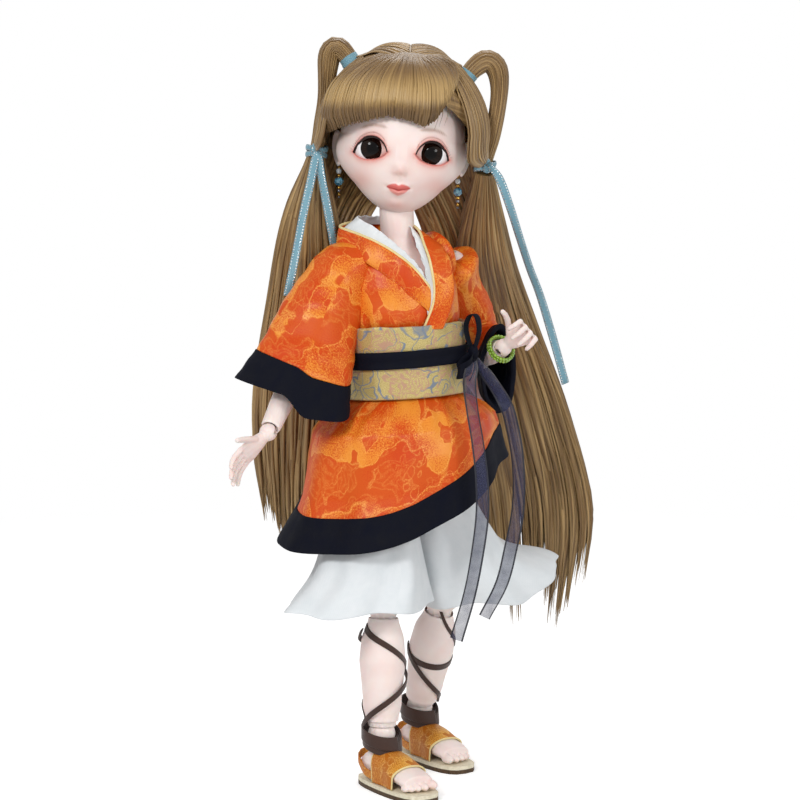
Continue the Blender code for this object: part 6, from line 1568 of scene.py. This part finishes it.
def sleeve_folds(place, angle, far):
    """How far the cloth stands out or in, in mm: soft lengthwise folds and a few across the bend."""
    long = (0.1 + 0.7 * far) * waves(angle, ((3, 0.55, 0.4), (5, 0.4, 1.7), (8, 0.2, 0.2)))
    slant = 0.55 * sin(place * 3.3 + 2.2 * sin(angle + 0.6)) * bell(place - 2.2, 1.3)
    fine = 0.16 * sin(place * 11 + 3.0 * sin(angle * 2 + 1)) * smooth(0.4, 1.2, place)
    return long * smooth(0.3, 1.5, place) + slant + fine


def build_sleeves():
    """The wide sleeves and their folded cuffs."""
    made = []
    for side, sign in SIDES.items():
        sections = sleeve_sections(side, sign)
        cuff_from = len(sections) - 2

        def surface(across, down):
            place = cuff_from * down ** 0.9
            return sleeve_point(sections, place, across, 0.5 + sleeve_folds(place, across * TURN, down))

        sleeve = grid("sleeve_cloth_" + side, 84, 60, surface, ORANGE, (8.4, 5.2), wrap=True, thick=0.0006,
                      rounds=1)
        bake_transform(sleeve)
        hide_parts("sleeve_" + side)
        made.append(sleeve)

        def hem(across, down):
            out = smooth(0.0, 0.42, down)
            place, layer = mix(cuff_from, cuff_from + 1, out), 0.8
            if down >= 0.46:
                place, layer = mix(cuff_from + 1, cuff_from - 1.9, (down - 0.46) / 0.54), -0.9
            fold = sleeve_folds(place, across * TURN, 1.0)
            return sleeve_point(sections, place, across, layer + fold)

        cuff = grid("cuff_band_" + side, 96, 36, hem, NAVY, (14.5, 3.2), wrap=True, thick=0.0006, rounds=1)
        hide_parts("cuff_" + side)
        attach(cuff, "forearm_" + side)
        made.append(cuff)
    return made


SKIRT_LIFT = ((-180, 10), (-119, 6.6), (-95, 3.2), (-69, 1.8), (-40, 3), (-15, 9), (15, 21.0), (41, 32),
              (70, 35),
              (100, 29), (135, 18), (180, 10))
SKIRT_OUT = ((-0.06, -0.12), (0, 0), (0.05, 0.20), (0.12, 0.44), (0.22, 0.62), (0.40, 0.71), (0.64, 0.78),
             (0.85, 0.92),
             (1.0, 1.04))
BORDER = 13.5
# The skirt's run from the waist band, in mm, and its half width and half depth at the hem, in metres
SKIRT_LONG = 60
SKIRT_WIDE, SKIRT_DEEP = 0.048, 0.038


def skirt_drop(turn):
    """How far the hem hangs below the waist band, in mm."""
    turn = (turn + 180) % 360 - 180
    low, high = blend_rows(SKIRT_LIFT, turn - 7)[0], blend_rows(SKIRT_LIFT, turn + 7)[0]
    return 60.3 - (low + high + blend_rows(SKIRT_LIFT, turn)[0]) / 3


def skirt_point(turn, drop, grow):
    """A place on the jacket's skirt: turn in degrees from the front, drop in mm below the waist band."""
    angle = radians(turn)
    turn = (turn + 180) % 360 - 180
    start = torso_point(turn, OBI_LOW, 3.1) - UP * 0.0003
    share = drop / SKIRT_LONG
    whole = drop / skirt_drop(turn)
    out = blend_rows(SKIRT_OUT, (share + blend_rows(((-0.1, -0.1), (0, 0), (1.2, 1.2)), whole)[0]) / 2)[0]
    beside = 0.14 * bell(turn + 112, 48) * smooth(0.72, 1.0, whole)
    ahead = 0.07 * bell(turn - 30, 40) * smooth(0.1, 0.5, whole)
    out += beside + ahead
    fold = 0.030 * sin(7 * angle) + 0.022 * sin(4 * angle + 0.9) + 0.014 * sin(13 * angle + 1.1)
    gather = (0.012 * sin(31 * angle + 0.7) + 0.010 * sin(19 * angle)) * smooth(20, 1,
                                                                                drop) * smooth(-1, 2, drop)
    slant = 0.018 * sin(5 * angle + drop * 0.09) * smooth(6, 25, drop)
    wide = SKIRT_WIDE * (1 + fold * min(1.0, share * 1.6) + slant) + grow * MM
    deep = SKIRT_DEEP * (1 + fold * min(1.0, share * 1.6) + slant) + grow * MM
    hem = Vector((AT["pelvis"].x + wide * sin(angle), AT["pelvis"].y - deep * cos(angle), 0))
    flat = Vector((start.x, start.y, 0)).lerp(hem, out)
    middle = Vector((AT["pelvis"].x, AT["pelvis"].y, 0))
    flat += (flat - middle) * gather
    return Vector((flat.x, flat.y, start.z - drop * MM))


def build_skirt():
    """The jacket's skirt and its border."""
    def place(across, down):
        turn = across * 360
        return skirt_point(turn, mix(-2.4, skirt_drop(turn) - BORDER + 0.6, down), 0.4)

    skirt = grid("jacket_skirt_panel", 180, 44, place, ORANGE, (25, 4.6), wrap=True, thick=0.0006, rounds=1)
    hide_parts("jacket_skirt")
    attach(skirt, "pelvis")

    def hem(across, down):
        turn = across * 360
        low = skirt_drop(turn)
        return skirt_point(turn, mix(low - BORDER, low, down), 0.75)

    edge = grid("skirt_border_band", 180, 14, hem, NAVY, (28, 1.35), wrap=True, thick=0.0009, rounds=1)
    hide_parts("skirt_border")
    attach(edge, "pelvis")
    return skirt, edge


TROUSER_ROWS = ((0.19, 0.21, 0.218, 0.03), (0.30, 0.232, 0.25, 0.10), (0.50, 0.29, 0.285, 0.26),
                (0.78, 0.36, 0.32, 0.48), (1.0, 0.49, 0.33, 1.0))
TROUSER_SIZE = 0.064
TROUSER_SHIFT = {"right": mm(-8, 4, 0), "left": mm(21.5, 3, 0)}


def build_trousers():
    """The two wide trouser legs."""
    made = []
    for side, sign in SIDES.items():
        hip, knee = AT["hip_" + side], AT["knee_" + side]
        rows = []
        for down, wide, deep, shift in TROUSER_ROWS:
            middle = hip.lerp(knee, down) + TROUSER_SHIFT[side] * shift - UP * 0.003
            rows.append((middle, Vector((wide, deep, 0)) * TROUSER_SIZE))

        def surface(across, down):
            middle = spline([row[0] for row in rows], down)
            size = spline([row[1] for row in rows], down)
            angle = across * TURN
            folds = waves(angle, ((4, 0.045, 0.5), (7, 0.050, 1.3 + sign),
                                  (12, 0.020, 0.2))) * smooth(0.05, 0.9, down)
            wave = 0.9 * sin(angle * 5 + 0.8 * sign) * smooth(0.8, 1.0, down)
            outer = max(0.0, sign * sin(angle))
            stretch = (8.5 if side == "left" else 3.0) * outer ** 1.5 * smooth(0.4, 1.0, down)
            lift = (13.0 if side == "left" else 1.0) * outer ** 2 * smooth(0.5, 1.0, down)
            return middle + Vector((size.x * (1 + folds) * sin(angle) + sign * stretch * MM,
                                    -size.y * (1 + folds * 1.3) * cos(angle), (lift - wave) * MM))

        leg = grid("trouser_cloth_" + side, 120, 36, surface, WHITE, (16, 5.2), wrap=True, thick=0.0005,
                   rounds=1)
        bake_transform(leg)
        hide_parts("trouser_leg_" + side)
        made.append(leg)
    return made


ORANGE_THREAD = plain_cloth("orange_thread", rgb("c24a10"), rgb("e06a20"), rough=0.5)
build_bodice()
build_collar()
build_shirt()
band, sash = build_obi()
bow = build_bow()
for tail, path, start in build_tails():
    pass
sleeves = build_sleeves()
skirt, edge = build_skirt()
legs = build_trousers()


# Limbs, findings, ribbons and sandals

def plain_cord(name, colour, other):
    """The covered stringing elastic: a fine, matt, uneven surface."""
    material, t, surface = shader(name, Specular_IOR_Level=0.3)
    place = t.place("Object")
    grain = t.add("TexNoise", place, Scale=1400.0, Detail=2.0).outputs[0]
    t.dress(surface, t.colours(t.range(grain, 0.35, 0.65), colour, other),
            t.range(grain, 0.3, 0.7, 0.6, 0.75), t.bump(grain, 0.25, 0.00005))
    return material


def ribbon_cloth():
    """Pale blue woven ribbon with a dashed silver thread along each edge whose sparkle is painted glints, in
    centimetre UVs.
    """
    material, t, surface = shader("silver_edged_ribbon", Specular_IOR_Level=0.5, Sheen_Weight=0.1)
    uv = t.place("UV")
    parts = t.add("SeparateXYZ", uv)
    off = t.math("ABSOLUTE", t.less(parts.outputs[0], 0.17))
    edge = t.times(t.range(off, 0.085, 0.10), t.range(off, 0.145, 0.16, 1.0, 0.0))
    dash = t.range(t.math("SINE", t.times(parts.outputs[1], 52.0)), -0.25, 0.1)
    painted_glint_and_tone = t.add("TexNoise", uv, Scale=26.0, Detail=2.0, Roughness=0.8).outputs[0]
    thread = t.times(edge, dash)
    grain = t.math("SINE", t.times(parts.outputs[1], 210.0))
    # One noise gives the blue cloth its random tone and the silver thread its painted glints
    cloth = t.colours(t.range(painted_glint_and_tone, 0.35, 0.65), rgb("4f7f92"), rgb("86b2c0"))
    # The silver thread runs from dark grey to white by noise: painted glints
    metal = t.colours(t.range(painted_glint_and_tone, 0.42, 0.58), rgb("31383c"), rgb("f2f6f6"))
    t.put(surface.inputs["Base Color"], t.colours(thread, cloth, metal))
    t.put(surface.inputs["Metallic"], t.times(thread, 0.8))
    t.put(surface.inputs["Roughness"], t.range(thread, 0.0, 1.0, 0.45, 0.25))
    t.put(surface.inputs["Normal"], t.bump(t.times_plus(thread, 3.0, grain), 0.3, 0.00006))
    return material


def sole_material():
    """Cream sole with a dark bound edge, by height."""
    material, t, surface = shader("sandal_sole_board", Specular_IOR_Level=0.3)
    place = t.place("Object")
    parts = t.add("SeparateXYZ", place)
    grain = t.add("TexNoise", place, Scale=900.0, Detail=3.0).outputs[0]
    top = t.colours(t.range(grain, 0.3, 0.7), rgb("d9cfb4"), rgb("ece4cd"))
    edge = t.colours(t.range(grain, 0.3, 0.7), rgb("3a2a1c"), rgb("5a4630"))
    t.dress(surface, t.colours(t.range(parts.outputs[2], 0.00165, 0.0018), edge, top),
            t.range(grain, 0.3, 0.7, 0.55, 0.7), t.bump(grain, 0.2, 0.00005))
    return material


STEEL = glossy("hook_steel", rgb("8d9096"), rgb("b4b7bb"), 0.25, 1.0)
GOLD = glossy("finding_gold", rgb("a9782c"), rgb("dcae58"), 0.18, 1.0)
CRYSTAL = glossy("clear_bead", rgb("cfdde4"), rgb("f2f7f8"), 0.05, 0.0, coat=0.5, clear=0.5)
BLUE = glossy("blue_bead", rgb("1f6384"), rgb("7cbcd2"), 0.06, 0.0, coat=0.8, clear=0.35)
GREY = glossy("dark_bead", rgb("4b4b52"), rgb("8f8f96"), 0.2, 0.9)
GREEN = glossy("green_bead", rgb("6f9c1e"), rgb("a9cf48"), 0.14, 0.0, coat=0.5, clear=0.15)
ELASTIC = plain_cord("stringing_elastic", rgb("d9d8d2"), rgb("f0efe9"))
RIBBON = ribbon_cloth()
SOLE = sole_material()


def bead(bm, middle, radius, tall=1.0, sides=12):
    """Adds one bead to bm; tall is its height by its width."""
    rings = max(5, sides // 2)
    made = bmesh.ops.create_uvsphere(bm, u_segments=sides, v_segments=rings, radius=radius)["verts"]
    for vert in made:
        vert.co = Vector((vert.co.x, vert.co.y, vert.co.z * tall)) + middle


def build_limbs():
    """Rounds and colours the cast limbs, the hooks and the elastics."""
    for side in SIDES:
        for node in ("upper_arm_", "thigh_", "shin_", "forearm_"):
            weld_smooth(node + side, 1)
            paint(node + side, RESIN)
        for node in ("hand_", "foot_"):
            weld_smooth(node + side, 0, 0.00036, 6)
            paint(node + side, RESIN)
        for node in ("hand_hook_", "foot_hook_"):
            paint(node + side, STEEL)
        paint("leg_elastic_" + side, ELASTIC)
    weld_smooth("chest", 0, 0.0006, 10)
    weld_smooth("pelvis", 0, 0.0008, 6)
    paint("chest", RESIN)
    paint("pelvis", RESIN)
    paint("neck_hook", STEEL)
    paint("arm_elastic", ELASTIC)
    weld_smooth("head_cap", 2)
    paint("head_cap", RESIN)


# The plain shin: share of the way down, then its share of the widest half width, in mm
SHIN_WIDE = 8.6
SHIN_ROWS = ((0.0, 0.60), (0.26, 0.80), (0.46, 0.90), (0.74, 0.74), (0.95, 0.80))
EARRING_TOP = {"right": mm(3.8, 46.15, 247.6), "left": mm(43.0, 18.6, 243.4)}


# Each kind of bead: how far down it hangs and its radius, in mm, its height by its width, if faceted
EARRING_BEADS = (("crystal", CRYSTAL, ((2.6, 1.15, 1.0),), True), ("blue", BLUE, ((6.8, 1.95, 0.92),), True),
                 ("grey", GREY, ((10.5, 0.8, 0.9), (13.1, 0.5, 1.0)), False))


def build_earrings():
    """Gold hook and wire with a crystal, a blue bead and small dark and gold ones."""
    for side in SIDES:
        top = EARRING_TOP[side]
        bm = bmesh.new()
        path = [top + mm(0, 0, 0.9) + mm(0.9 * sin(a), 0, 0.9 * cos(a) - 0.9) for a in
                [k * 0.35 - 1.2 for k in range(14)]]
        tube(bm, path, 0.00022, 0.00022, BACK, 8)
        close_ends(bm)
        for drop, radius, tall in ((4.4, 0.85, 0.6), (9.2, 0.9, 0.7), (11.9, 0.62, 0.8)):
            bead(bm, top - mm(0, 0, drop), radius * MM, tall)
        wire = [top - mm(0, 0, 0.6 + k * 1.15) for k in range(12)]
        tube(bm, wire, 0.00014, 0.00014, BACK, 6)
        close_ends(bm)
        hook = piece("earring_hook_" + side, bm, GOLD)
        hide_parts("earring_" + side)
        parts = [hook]
        for name, material, beads, flat in EARRING_BEADS:
            bm = bmesh.new()
            for drop, radius, tall in beads:
                bead(bm, top - mm(0, 0, drop), radius * MM, tall, 9 if flat else 14)
            parts.append(piece("earring_%s_%s" % (name, side), bm, material, smooth_faces=not flat))
        for part in parts:
            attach(part, "head")


def build_bracelet():
    """Two rows of round beads."""
    way = (AT["wrist_left"] - AT["elbow_left"]).normalized()
    middle = mm(56.65, 7.4, 173.2)
    tilt = (way + UP * 0.35 + Vector((0.25, 0, 0))).normalized()
    across = tilt.cross(UP).normalized()
    rise = across.cross(tilt)
    bm = bmesh.new()
    for row in (-0.75, 0.75):
        for index in range(25):
            angle = (index + (0.5 if row > 0 else 0)) * TURN / 25
            spot = middle + (across * cos(angle) + rise * sin(angle)) * 5.35 * MM + tilt * row * MM
            bead(bm, spot, 0.78 * MM, 1.0, 10)
    beads = piece("bracelet_beads", bm, GREEN)
    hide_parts("bracelet")
    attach(beads, "forearm_left")


# Each strap round the shin: how far it stands off in mm, then its turns in radians and places down the shin
LACE_ROUTES = {
    "right": ((0.35, ((-1.95, 0.20), (-0.4, 0.33), (1.25, 0.52), (2.9, 0.66), (4.4, 0.90))),
              (0.75, ((-1.9, 0.24), (-3.4, 0.38), (-5.03, 0.56), (-6.6, 0.74), (-8.2, 0.93)))),
    "left": ((0.35, ((-0.75, 0.04), (0.3, 0.26), (1.45, 0.45), (2.9, 0.50), (4.4, 0.52), (6.28, 0.54),
                     (7.9, 0.52))),
             (0.75, ((-2.2, 0.46), (-1.2, 0.58), (0.0, 0.76), (1.2, 0.92), (2.6, 0.96)))),
}


def shin_frame(side):
    """The shin's own frame at the knee, and its length."""
    knee, ankle = AT["knee_" + side], AT["ankle_" + side]
    return frame_along(knee, ankle - knee, ASIDE), (ankle - knee).length


def build_calves():
    """The calf's fuller form over the plain shin, run out to nothing at both ends."""
    for side in SIDES:
        turn_to, length = shin_frame(side)

        def place(across, down):
            share = mix(0.14, 0.90, down)
            angle = across * TURN
            radius = blend_rows(SHIN_ROWS, share)[0] * SHIN_WIDE
            full = smooth(0.0, 0.22, down) * smooth(1.0, 0.82, down)
            grow = 1.5 * full + 0.5 * full * max(0.0, -cos(angle)) * bell(down - 0.35, 0.25) - 0.12
            return turn_to @ Vector(((radius + grow) * MM * sin(angle), -(radius + grow) * MM * cos(angle),
                                     -length * share))

        calf = grid("calf_form_" + side, 48, 40, place, RESIN, (5, 4), wrap=True)
        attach(calf, "shin_" + side)


def build_lacing():
    """The crossed straps round each shin."""
    for side in SIDES:
        turn_to, length = shin_frame(side)

        def strap(bm, spots, wide, lift):
            knots = [Vector(spot) for spot in spots]

            def place(across, down):
                turn, share = spline(knots, down)
                share += (across - 0.5) * wide * MM / length
                full = smooth(0.14, 0.31, share) * smooth(0.90, 0.76, share)
                grown = lift + 1.5 * full + 0.5 * full * max(0.0, -cos(turn))
                radius = blend_rows(SHIN_ROWS, share)[0] * SHIN_WIDE * MM + grown * MM
                return turn_to @ Vector((radius * sin(turn), -radius * cos(turn), -length * share))
            patch(bm, 4, 90, place, (0.26, 5.0))

        bm = bmesh.new()
        for lift, spots in LACE_ROUTES[side]:
            strap(bm, spots, 2.7, lift)
        lacing = piece("crossed_straps_" + side, bm, LACE)
        give_wall(lacing, 0.0006, 1)
        round_edges(lacing, 0.00015, 2)
        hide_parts("lacing_" + side)
        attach(lacing, "shin_" + side)


# The foot's scale, in mm, its height over the floor, and the heel's place and length, in metres
FOOT_SIZE, FOOT_UP = 15, 3.5
HEEL_BACK, FOOT_LONG = 0.0095, 0.040
FOOT_ROWS = ((0.00, 0.22, 0.20, 0.14), (0.05, 0.34, 0.36, 0.30), (0.20, 0.44, 0.42, 0.40),
             (0.42, 0.42, 0.42, 0.38),
             (0.62, 0.34, 0.46, 0.30), (0.80, 0.26, 0.50, 0.22), (0.88, 0.22, 0.46, 0.18))


def foot_place(side, along, turn, grow):
    """A place around the foot: along from heel to toe, turn from its top in radians, grow in mm."""
    high, wide, tall = blend_rows(FOOT_ROWS, along)
    ankle = AT["ankle_" + side]
    x = (FOOT_SIZE * wide + grow) * sin(turn)
    z = FOOT_UP + FOOT_SIZE * high + (FOOT_SIZE * tall + grow) * cos(turn)
    if abs(turn) > pi / 2:
        drop = (abs(turn) - pi / 2) / 0.35
        x = math.copysign(FOOT_SIZE * wide + grow, turn)
        z = mix(FOOT_UP + FOOT_SIZE * high, 3.3, min(1.0, drop))
    return Vector((ankle.x + x * MM, ankle.y + HEEL_BACK - FOOT_LONG * along, z * MM))


def build_sandals():
    """Brocade uppers with bound edges, heel straps, ankle bands and the soles' rounded edges."""
    for side in SIDES:
        ankle = AT["ankle_" + side]

        def upper(across, down):
            turn = 1.92 * (2 * across - 1)
            front = 0.70 + 0.035 * cos(turn * 0.9)
            back = mix(0.27, 0.33, abs(2 * across - 1))
            return foot_place(side, mix(back, front, down), turn, 0.75 + 0.18 * sin(down * 9 + across * 4))

        cloth = grid("sandal_brocade_" + side, 44, 26, upper, SANDAL, (3.4, 1.7), thick=0.0006, rounds=1)
        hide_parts("sandal_upper_" + side)
        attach(cloth, "foot_" + side)
        bm = bmesh.new()
        for edge in (1.0, 0.0):
            path = [upper(k / 44, edge) for k in range(45)]
            tube(bm, path, 0.0004, 0.00034, UP + Vector((0.2, 0.1, 0)), 8, (0.25, 3.4))
        close_ends(bm)
        binding = piece("sandal_binding_" + side, bm, PIPING)
        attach(binding, "foot_" + side)

        def heel(across, down):
            share = across * 2 - 1
            along = mix(0.36, -0.012, sin(pi * across) ** 0.55) if 0 < across < 1 else 0.36
            high = mix(4.4, 10.2, smooth(0.0, 1.0, sin(pi * across))) + down * 3.6
            wide = FOOT_SIZE * blend_rows(FOOT_ROWS, max(0.03, along))[1] + 0.8
            x = wide * math.copysign(min(1.0, abs(share) * 1.9) ** 0.8, share)
            return Vector((ankle.x + x * MM, ankle.y + HEEL_BACK - FOOT_LONG * along
                           + (0.0009 if along < 0.05 else 0), high * MM))

        strap = grid("sandal_heel_strap_" + side, 60, 4, heel, SANDAL, (5.0, 0.36), thick=0.0006, rounds=1)
        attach(strap, "foot_" + side)

        def band(across, down):
            angle = across * TURN * 2.04
            grow = 0.5 * (across * 2) + 0.12 * sin(angle * 3)
            ahead = cos(angle)
            z = mix(21.6, 16.2, down) - 2.4 * ahead + 2.4 * smooth(0.5, 0.65, across)
            wide = 7.1 + grow
            deep = 7.3 + grow + 1.4 * max(0.0, ahead) * down
            return Vector((ankle.x + wide * sin(angle) * MM, ankle.y - deep * ahead * MM, z * MM))

        wrap = grid("ankle_band_" + side, 120, 8, band, LACE, (10.0, 0.6), thick=0.0005, rounds=1)
        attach(wrap, "foot_" + side)
        round_edges(paint("sandal_sole_" + side, SOLE), 0.0005, 3)


# The hair ribbons' tails as seen from the front three-quarter view: aside, up and away, in mm
RIBBON_TAILS = (
    ("right", 1, ((-33.2, 253.6, -0.5), (-35.2, 243, -3.5), (-38.6, 228, -6.5), (-41.6, 212, -8.5),
                  (-44.8, 195.6, -10.5))),
    ("right", 2, ((-32.8, 253.2, -1.0), (-31.6, 244, -2.0), (-29.4, 232, -1.5), (-27.4, 221, 0.5),
                  (-26.0, 212.5, 2.5))),
    ("left", 1, ((35.2, 248.2, 0.0), (39.8, 242, -1.0), (44.4, 230, 2.0), (48.4, 218.0, 8.0),
                 (53.0, 205.0, 16.0),
                 (57.6, 193.6, 23.0), (63.4, 175.6, 31.0), (69.2, 155.8, 37.0))),
)


RIBBON_THICK = 0.0003


def build_ribbons():
    """The hair ribbons' tails, and the bands and knots at the ties."""
    made = {}
    for side, number, knots in RIBBON_TAILS:
        path = route([seen(*knot) for knot in knots], 60)
        bm = bmesh.new()
        own = number * 1.7 + (side == "left")

        def flat(share, own=own):
            turn = 0.5 * sin(share * 5 + own) * smooth(0.02, 0.25, share)
            return VIEW_RIGHT * cos(turn) + VIEW_AHEAD * sin(turn) * 0.7

        strip(bm, path, lambda share: mix(2.2, 3.4, smooth(0, 0.08, share)) * MM, flat,
              (0.34, length_of(path) * 100), 0.00025, 6)
        tail = piece("hair_ribbon_tail_%s_%d" % (side, number), bm, RIBBON)
        give_wall(tail, RIBBON_THICK)
        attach(tail, "head")
        if number == 1:
            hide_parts("hair_ribbon_" + side)
        made[side, number] = tail, path
    for side, sign in SIDES.items():
        middle = HEAD @ TIE[side]
        bm = bmesh.new()
        for height, radius in ((0.7, 4.3), (-1.5, 4.2)):
            path = []
            for k in range(49):
                angle = k * TURN / 48
                rise = height + 0.35 * sin(2 * angle + height)
                spot = Vector((cos(angle) * radius, sin(angle) * radius, rise))
                path.append(middle + HEAD_TURN @ spot * MM)
            strip(bm, path, 2.3 * MM, HEAD_UP, (0.34, 2.7), 0.0003, 4)
        ahead = (HEAD_TURN @ Vector((0.1 * sign, -1, 0))).normalized()
        knot = middle + ahead * 4.6 * MM
        path = [knot + UP * (2.6 - 5.4 * k / 12) * MM + ahead * 0.9 * sin(pi * k / 12) * MM
                for k in range(13)]
        strip(bm, path, lambda share: (2.4 + 1.0 * sin(pi * share)) * MM, VIEW_RIGHT, (0.34, 0.5), 0.0006, 6)
        wrap = piece("hair_tie_band_" + side, bm, RIBBON)
        give_wall(wrap, RIBBON_THICK)
        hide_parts("hair_tie_" + side)
        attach(wrap, "head")
    for (side, number), (tail, path) in made.items():
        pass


def build_loop_wraps():
    """The silvery blue band and the small strap round each loop's foot."""
    for side in SIDES:
        path = loop_path(side)
        across = HEAD_BACK
        bm = bmesh.new()
        for low, high, grow in ((0.05, 0.105, 0.7), (0.09, 0.14, 0.5)):
            points = [spline(path, mix(low, high, k / 12)) for k in range(13)]
            tube(bm, points, lambda share: (3.9 + grow) * MM * loop_width(0.12),
                 lambda share: (3.3 + grow) * MM * loop_width(0.12),
                 across, 24, (2.6, 0.6))
        wrap = piece("loop_wrap_" + side, bm, RIBBON)
        give_wall(wrap, RIBBON_THICK)
        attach(wrap, "head")


build_limbs()
build_earrings()
build_bracelet()
build_calves()
build_lacing()
build_sandals()
build_ribbons()
build_loop_wraps()


# Floor, light and camera

def seen_directly(t):
    """One for what the camera sees straight, mirrored or through glass, none for what only gives light."""
    ray = t.add("LightPath")
    bent = t.most(ray.outputs["Is Glossy Ray"], ray.outputs["Is Transmission Ray"])
    return t.most(ray.outputs["Is Camera Ray"], bent)


def build_stage():
    """White floor and white surroundings."""
    bm = bmesh.new()
    bmesh.ops.create_grid(bm, x_segments=1, y_segments=1, size=6.0)
    material = bpy.data.materials.new("studio_floor")
    material.use_nodes = True
    t = Tree(material.node_tree)
    tree = material.node_tree
    tree.nodes.remove(tree.nodes["Principled BSDF"])
    look = seen_directly(t)
    spot = t.place("Object")
    away = t.add("VectorMath", spot, operation="LENGTH").outputs["Value"]
    far = t.range(away, 0.18, 0.75)
    speckle = t.add("TexNoise", spot, Scale=3.0).outputs[0]
    pale = t.add("BsdfDiffuse", t.colours(speckle, rgb("ececec"), rgb("f2f2f2")))
    glow = t.add("Emission", (1, 1, 1, 1), t.times(look, 0.40))
    near = t.add("AddShader", pale, glow)
    bright = t.add("Emission", (1, 1, 1, 1), t.most(look, 0.5))
    both = t.add("MixShader", far, near, bright)
    t.put(tree.nodes["Material Output"].inputs["Surface"], both)
    floor = piece("floor", bm, material)
    world = bpy.data.worlds.new("studio")
    bpy.context.scene.world = world
    world.use_nodes = True
    t = Tree(world.node_tree)
    tree = world.node_tree
    look = seen_directly(t)
    strength = t.times_plus(look, 0.48, 0.52)
    back = tree.nodes["Background"]
    t.put(back.inputs["Color"], (1, 1, 1, 1))
    t.put(back.inputs["Strength"], strength)


def lamp(name, place, aim, size, power, tint=(1, 1, 1)):
    """One round soft lamp aimed at a place."""
    data = bpy.data.lights.new(name, "AREA")
    data.shape = "DISK"
    data.size = size
    data.energy = power
    data.color = tint
    obj = bpy.data.objects.new(name, data)
    bpy.context.scene.collection.objects.link(obj)
    obj.location = place
    obj.rotation_euler = (Vector(aim) - Vector(place)).to_track_quat("-Z", "Y").to_euler()


# The camera's turn round the doll, its level distance and how far it stands over its target, in metres
VIEW_TURN = radians(-35)
VIEW_FAR, VIEW_RISE = 1.05, 0.1144


def build_camera():
    """The front three-quarter view."""
    target = Vector((0.0205, 0.027, 0.1529))
    place = target + Vector((sin(VIEW_TURN) * VIEW_FAR, -cos(VIEW_TURN) * VIEW_FAR, VIEW_RISE))
    data = bpy.data.cameras.new("camera")
    data.lens = 117.6
    data.sensor_width = 36
    data.clip_start = 0.01
    camera = bpy.data.objects.new("camera", data)
    bpy.context.scene.collection.objects.link(camera)
    camera.location = place
    camera.rotation_euler = (target - place).to_track_quat("-Z", "Y").to_euler()
    bpy.context.scene.camera = camera


def from_view(right, back, up):
    """A lamp's place given as seen by the camera: to its right, behind it and up."""
    return Vector((0.02, 0.02, 0)) + VIEW_RIGHT * right - VIEW_AHEAD * back + UP * up


build_stage()
lamp("key", from_view(-0.45, 1.0, 0.85), (0.02, 0.02, 0.17), 0.30, 6.4)
lamp("fill", from_view(0.65, 0.9, 0.55), (0.02, 0.02, 0.15), 0.30, 3.4)
lamp("top", from_view(0.1, -0.5, 0.95), (0.02, 0.02, 0.2), 0.5, 3.0)
build_camera()
bpy.context.scene.view_settings.view_transform = "Standard"
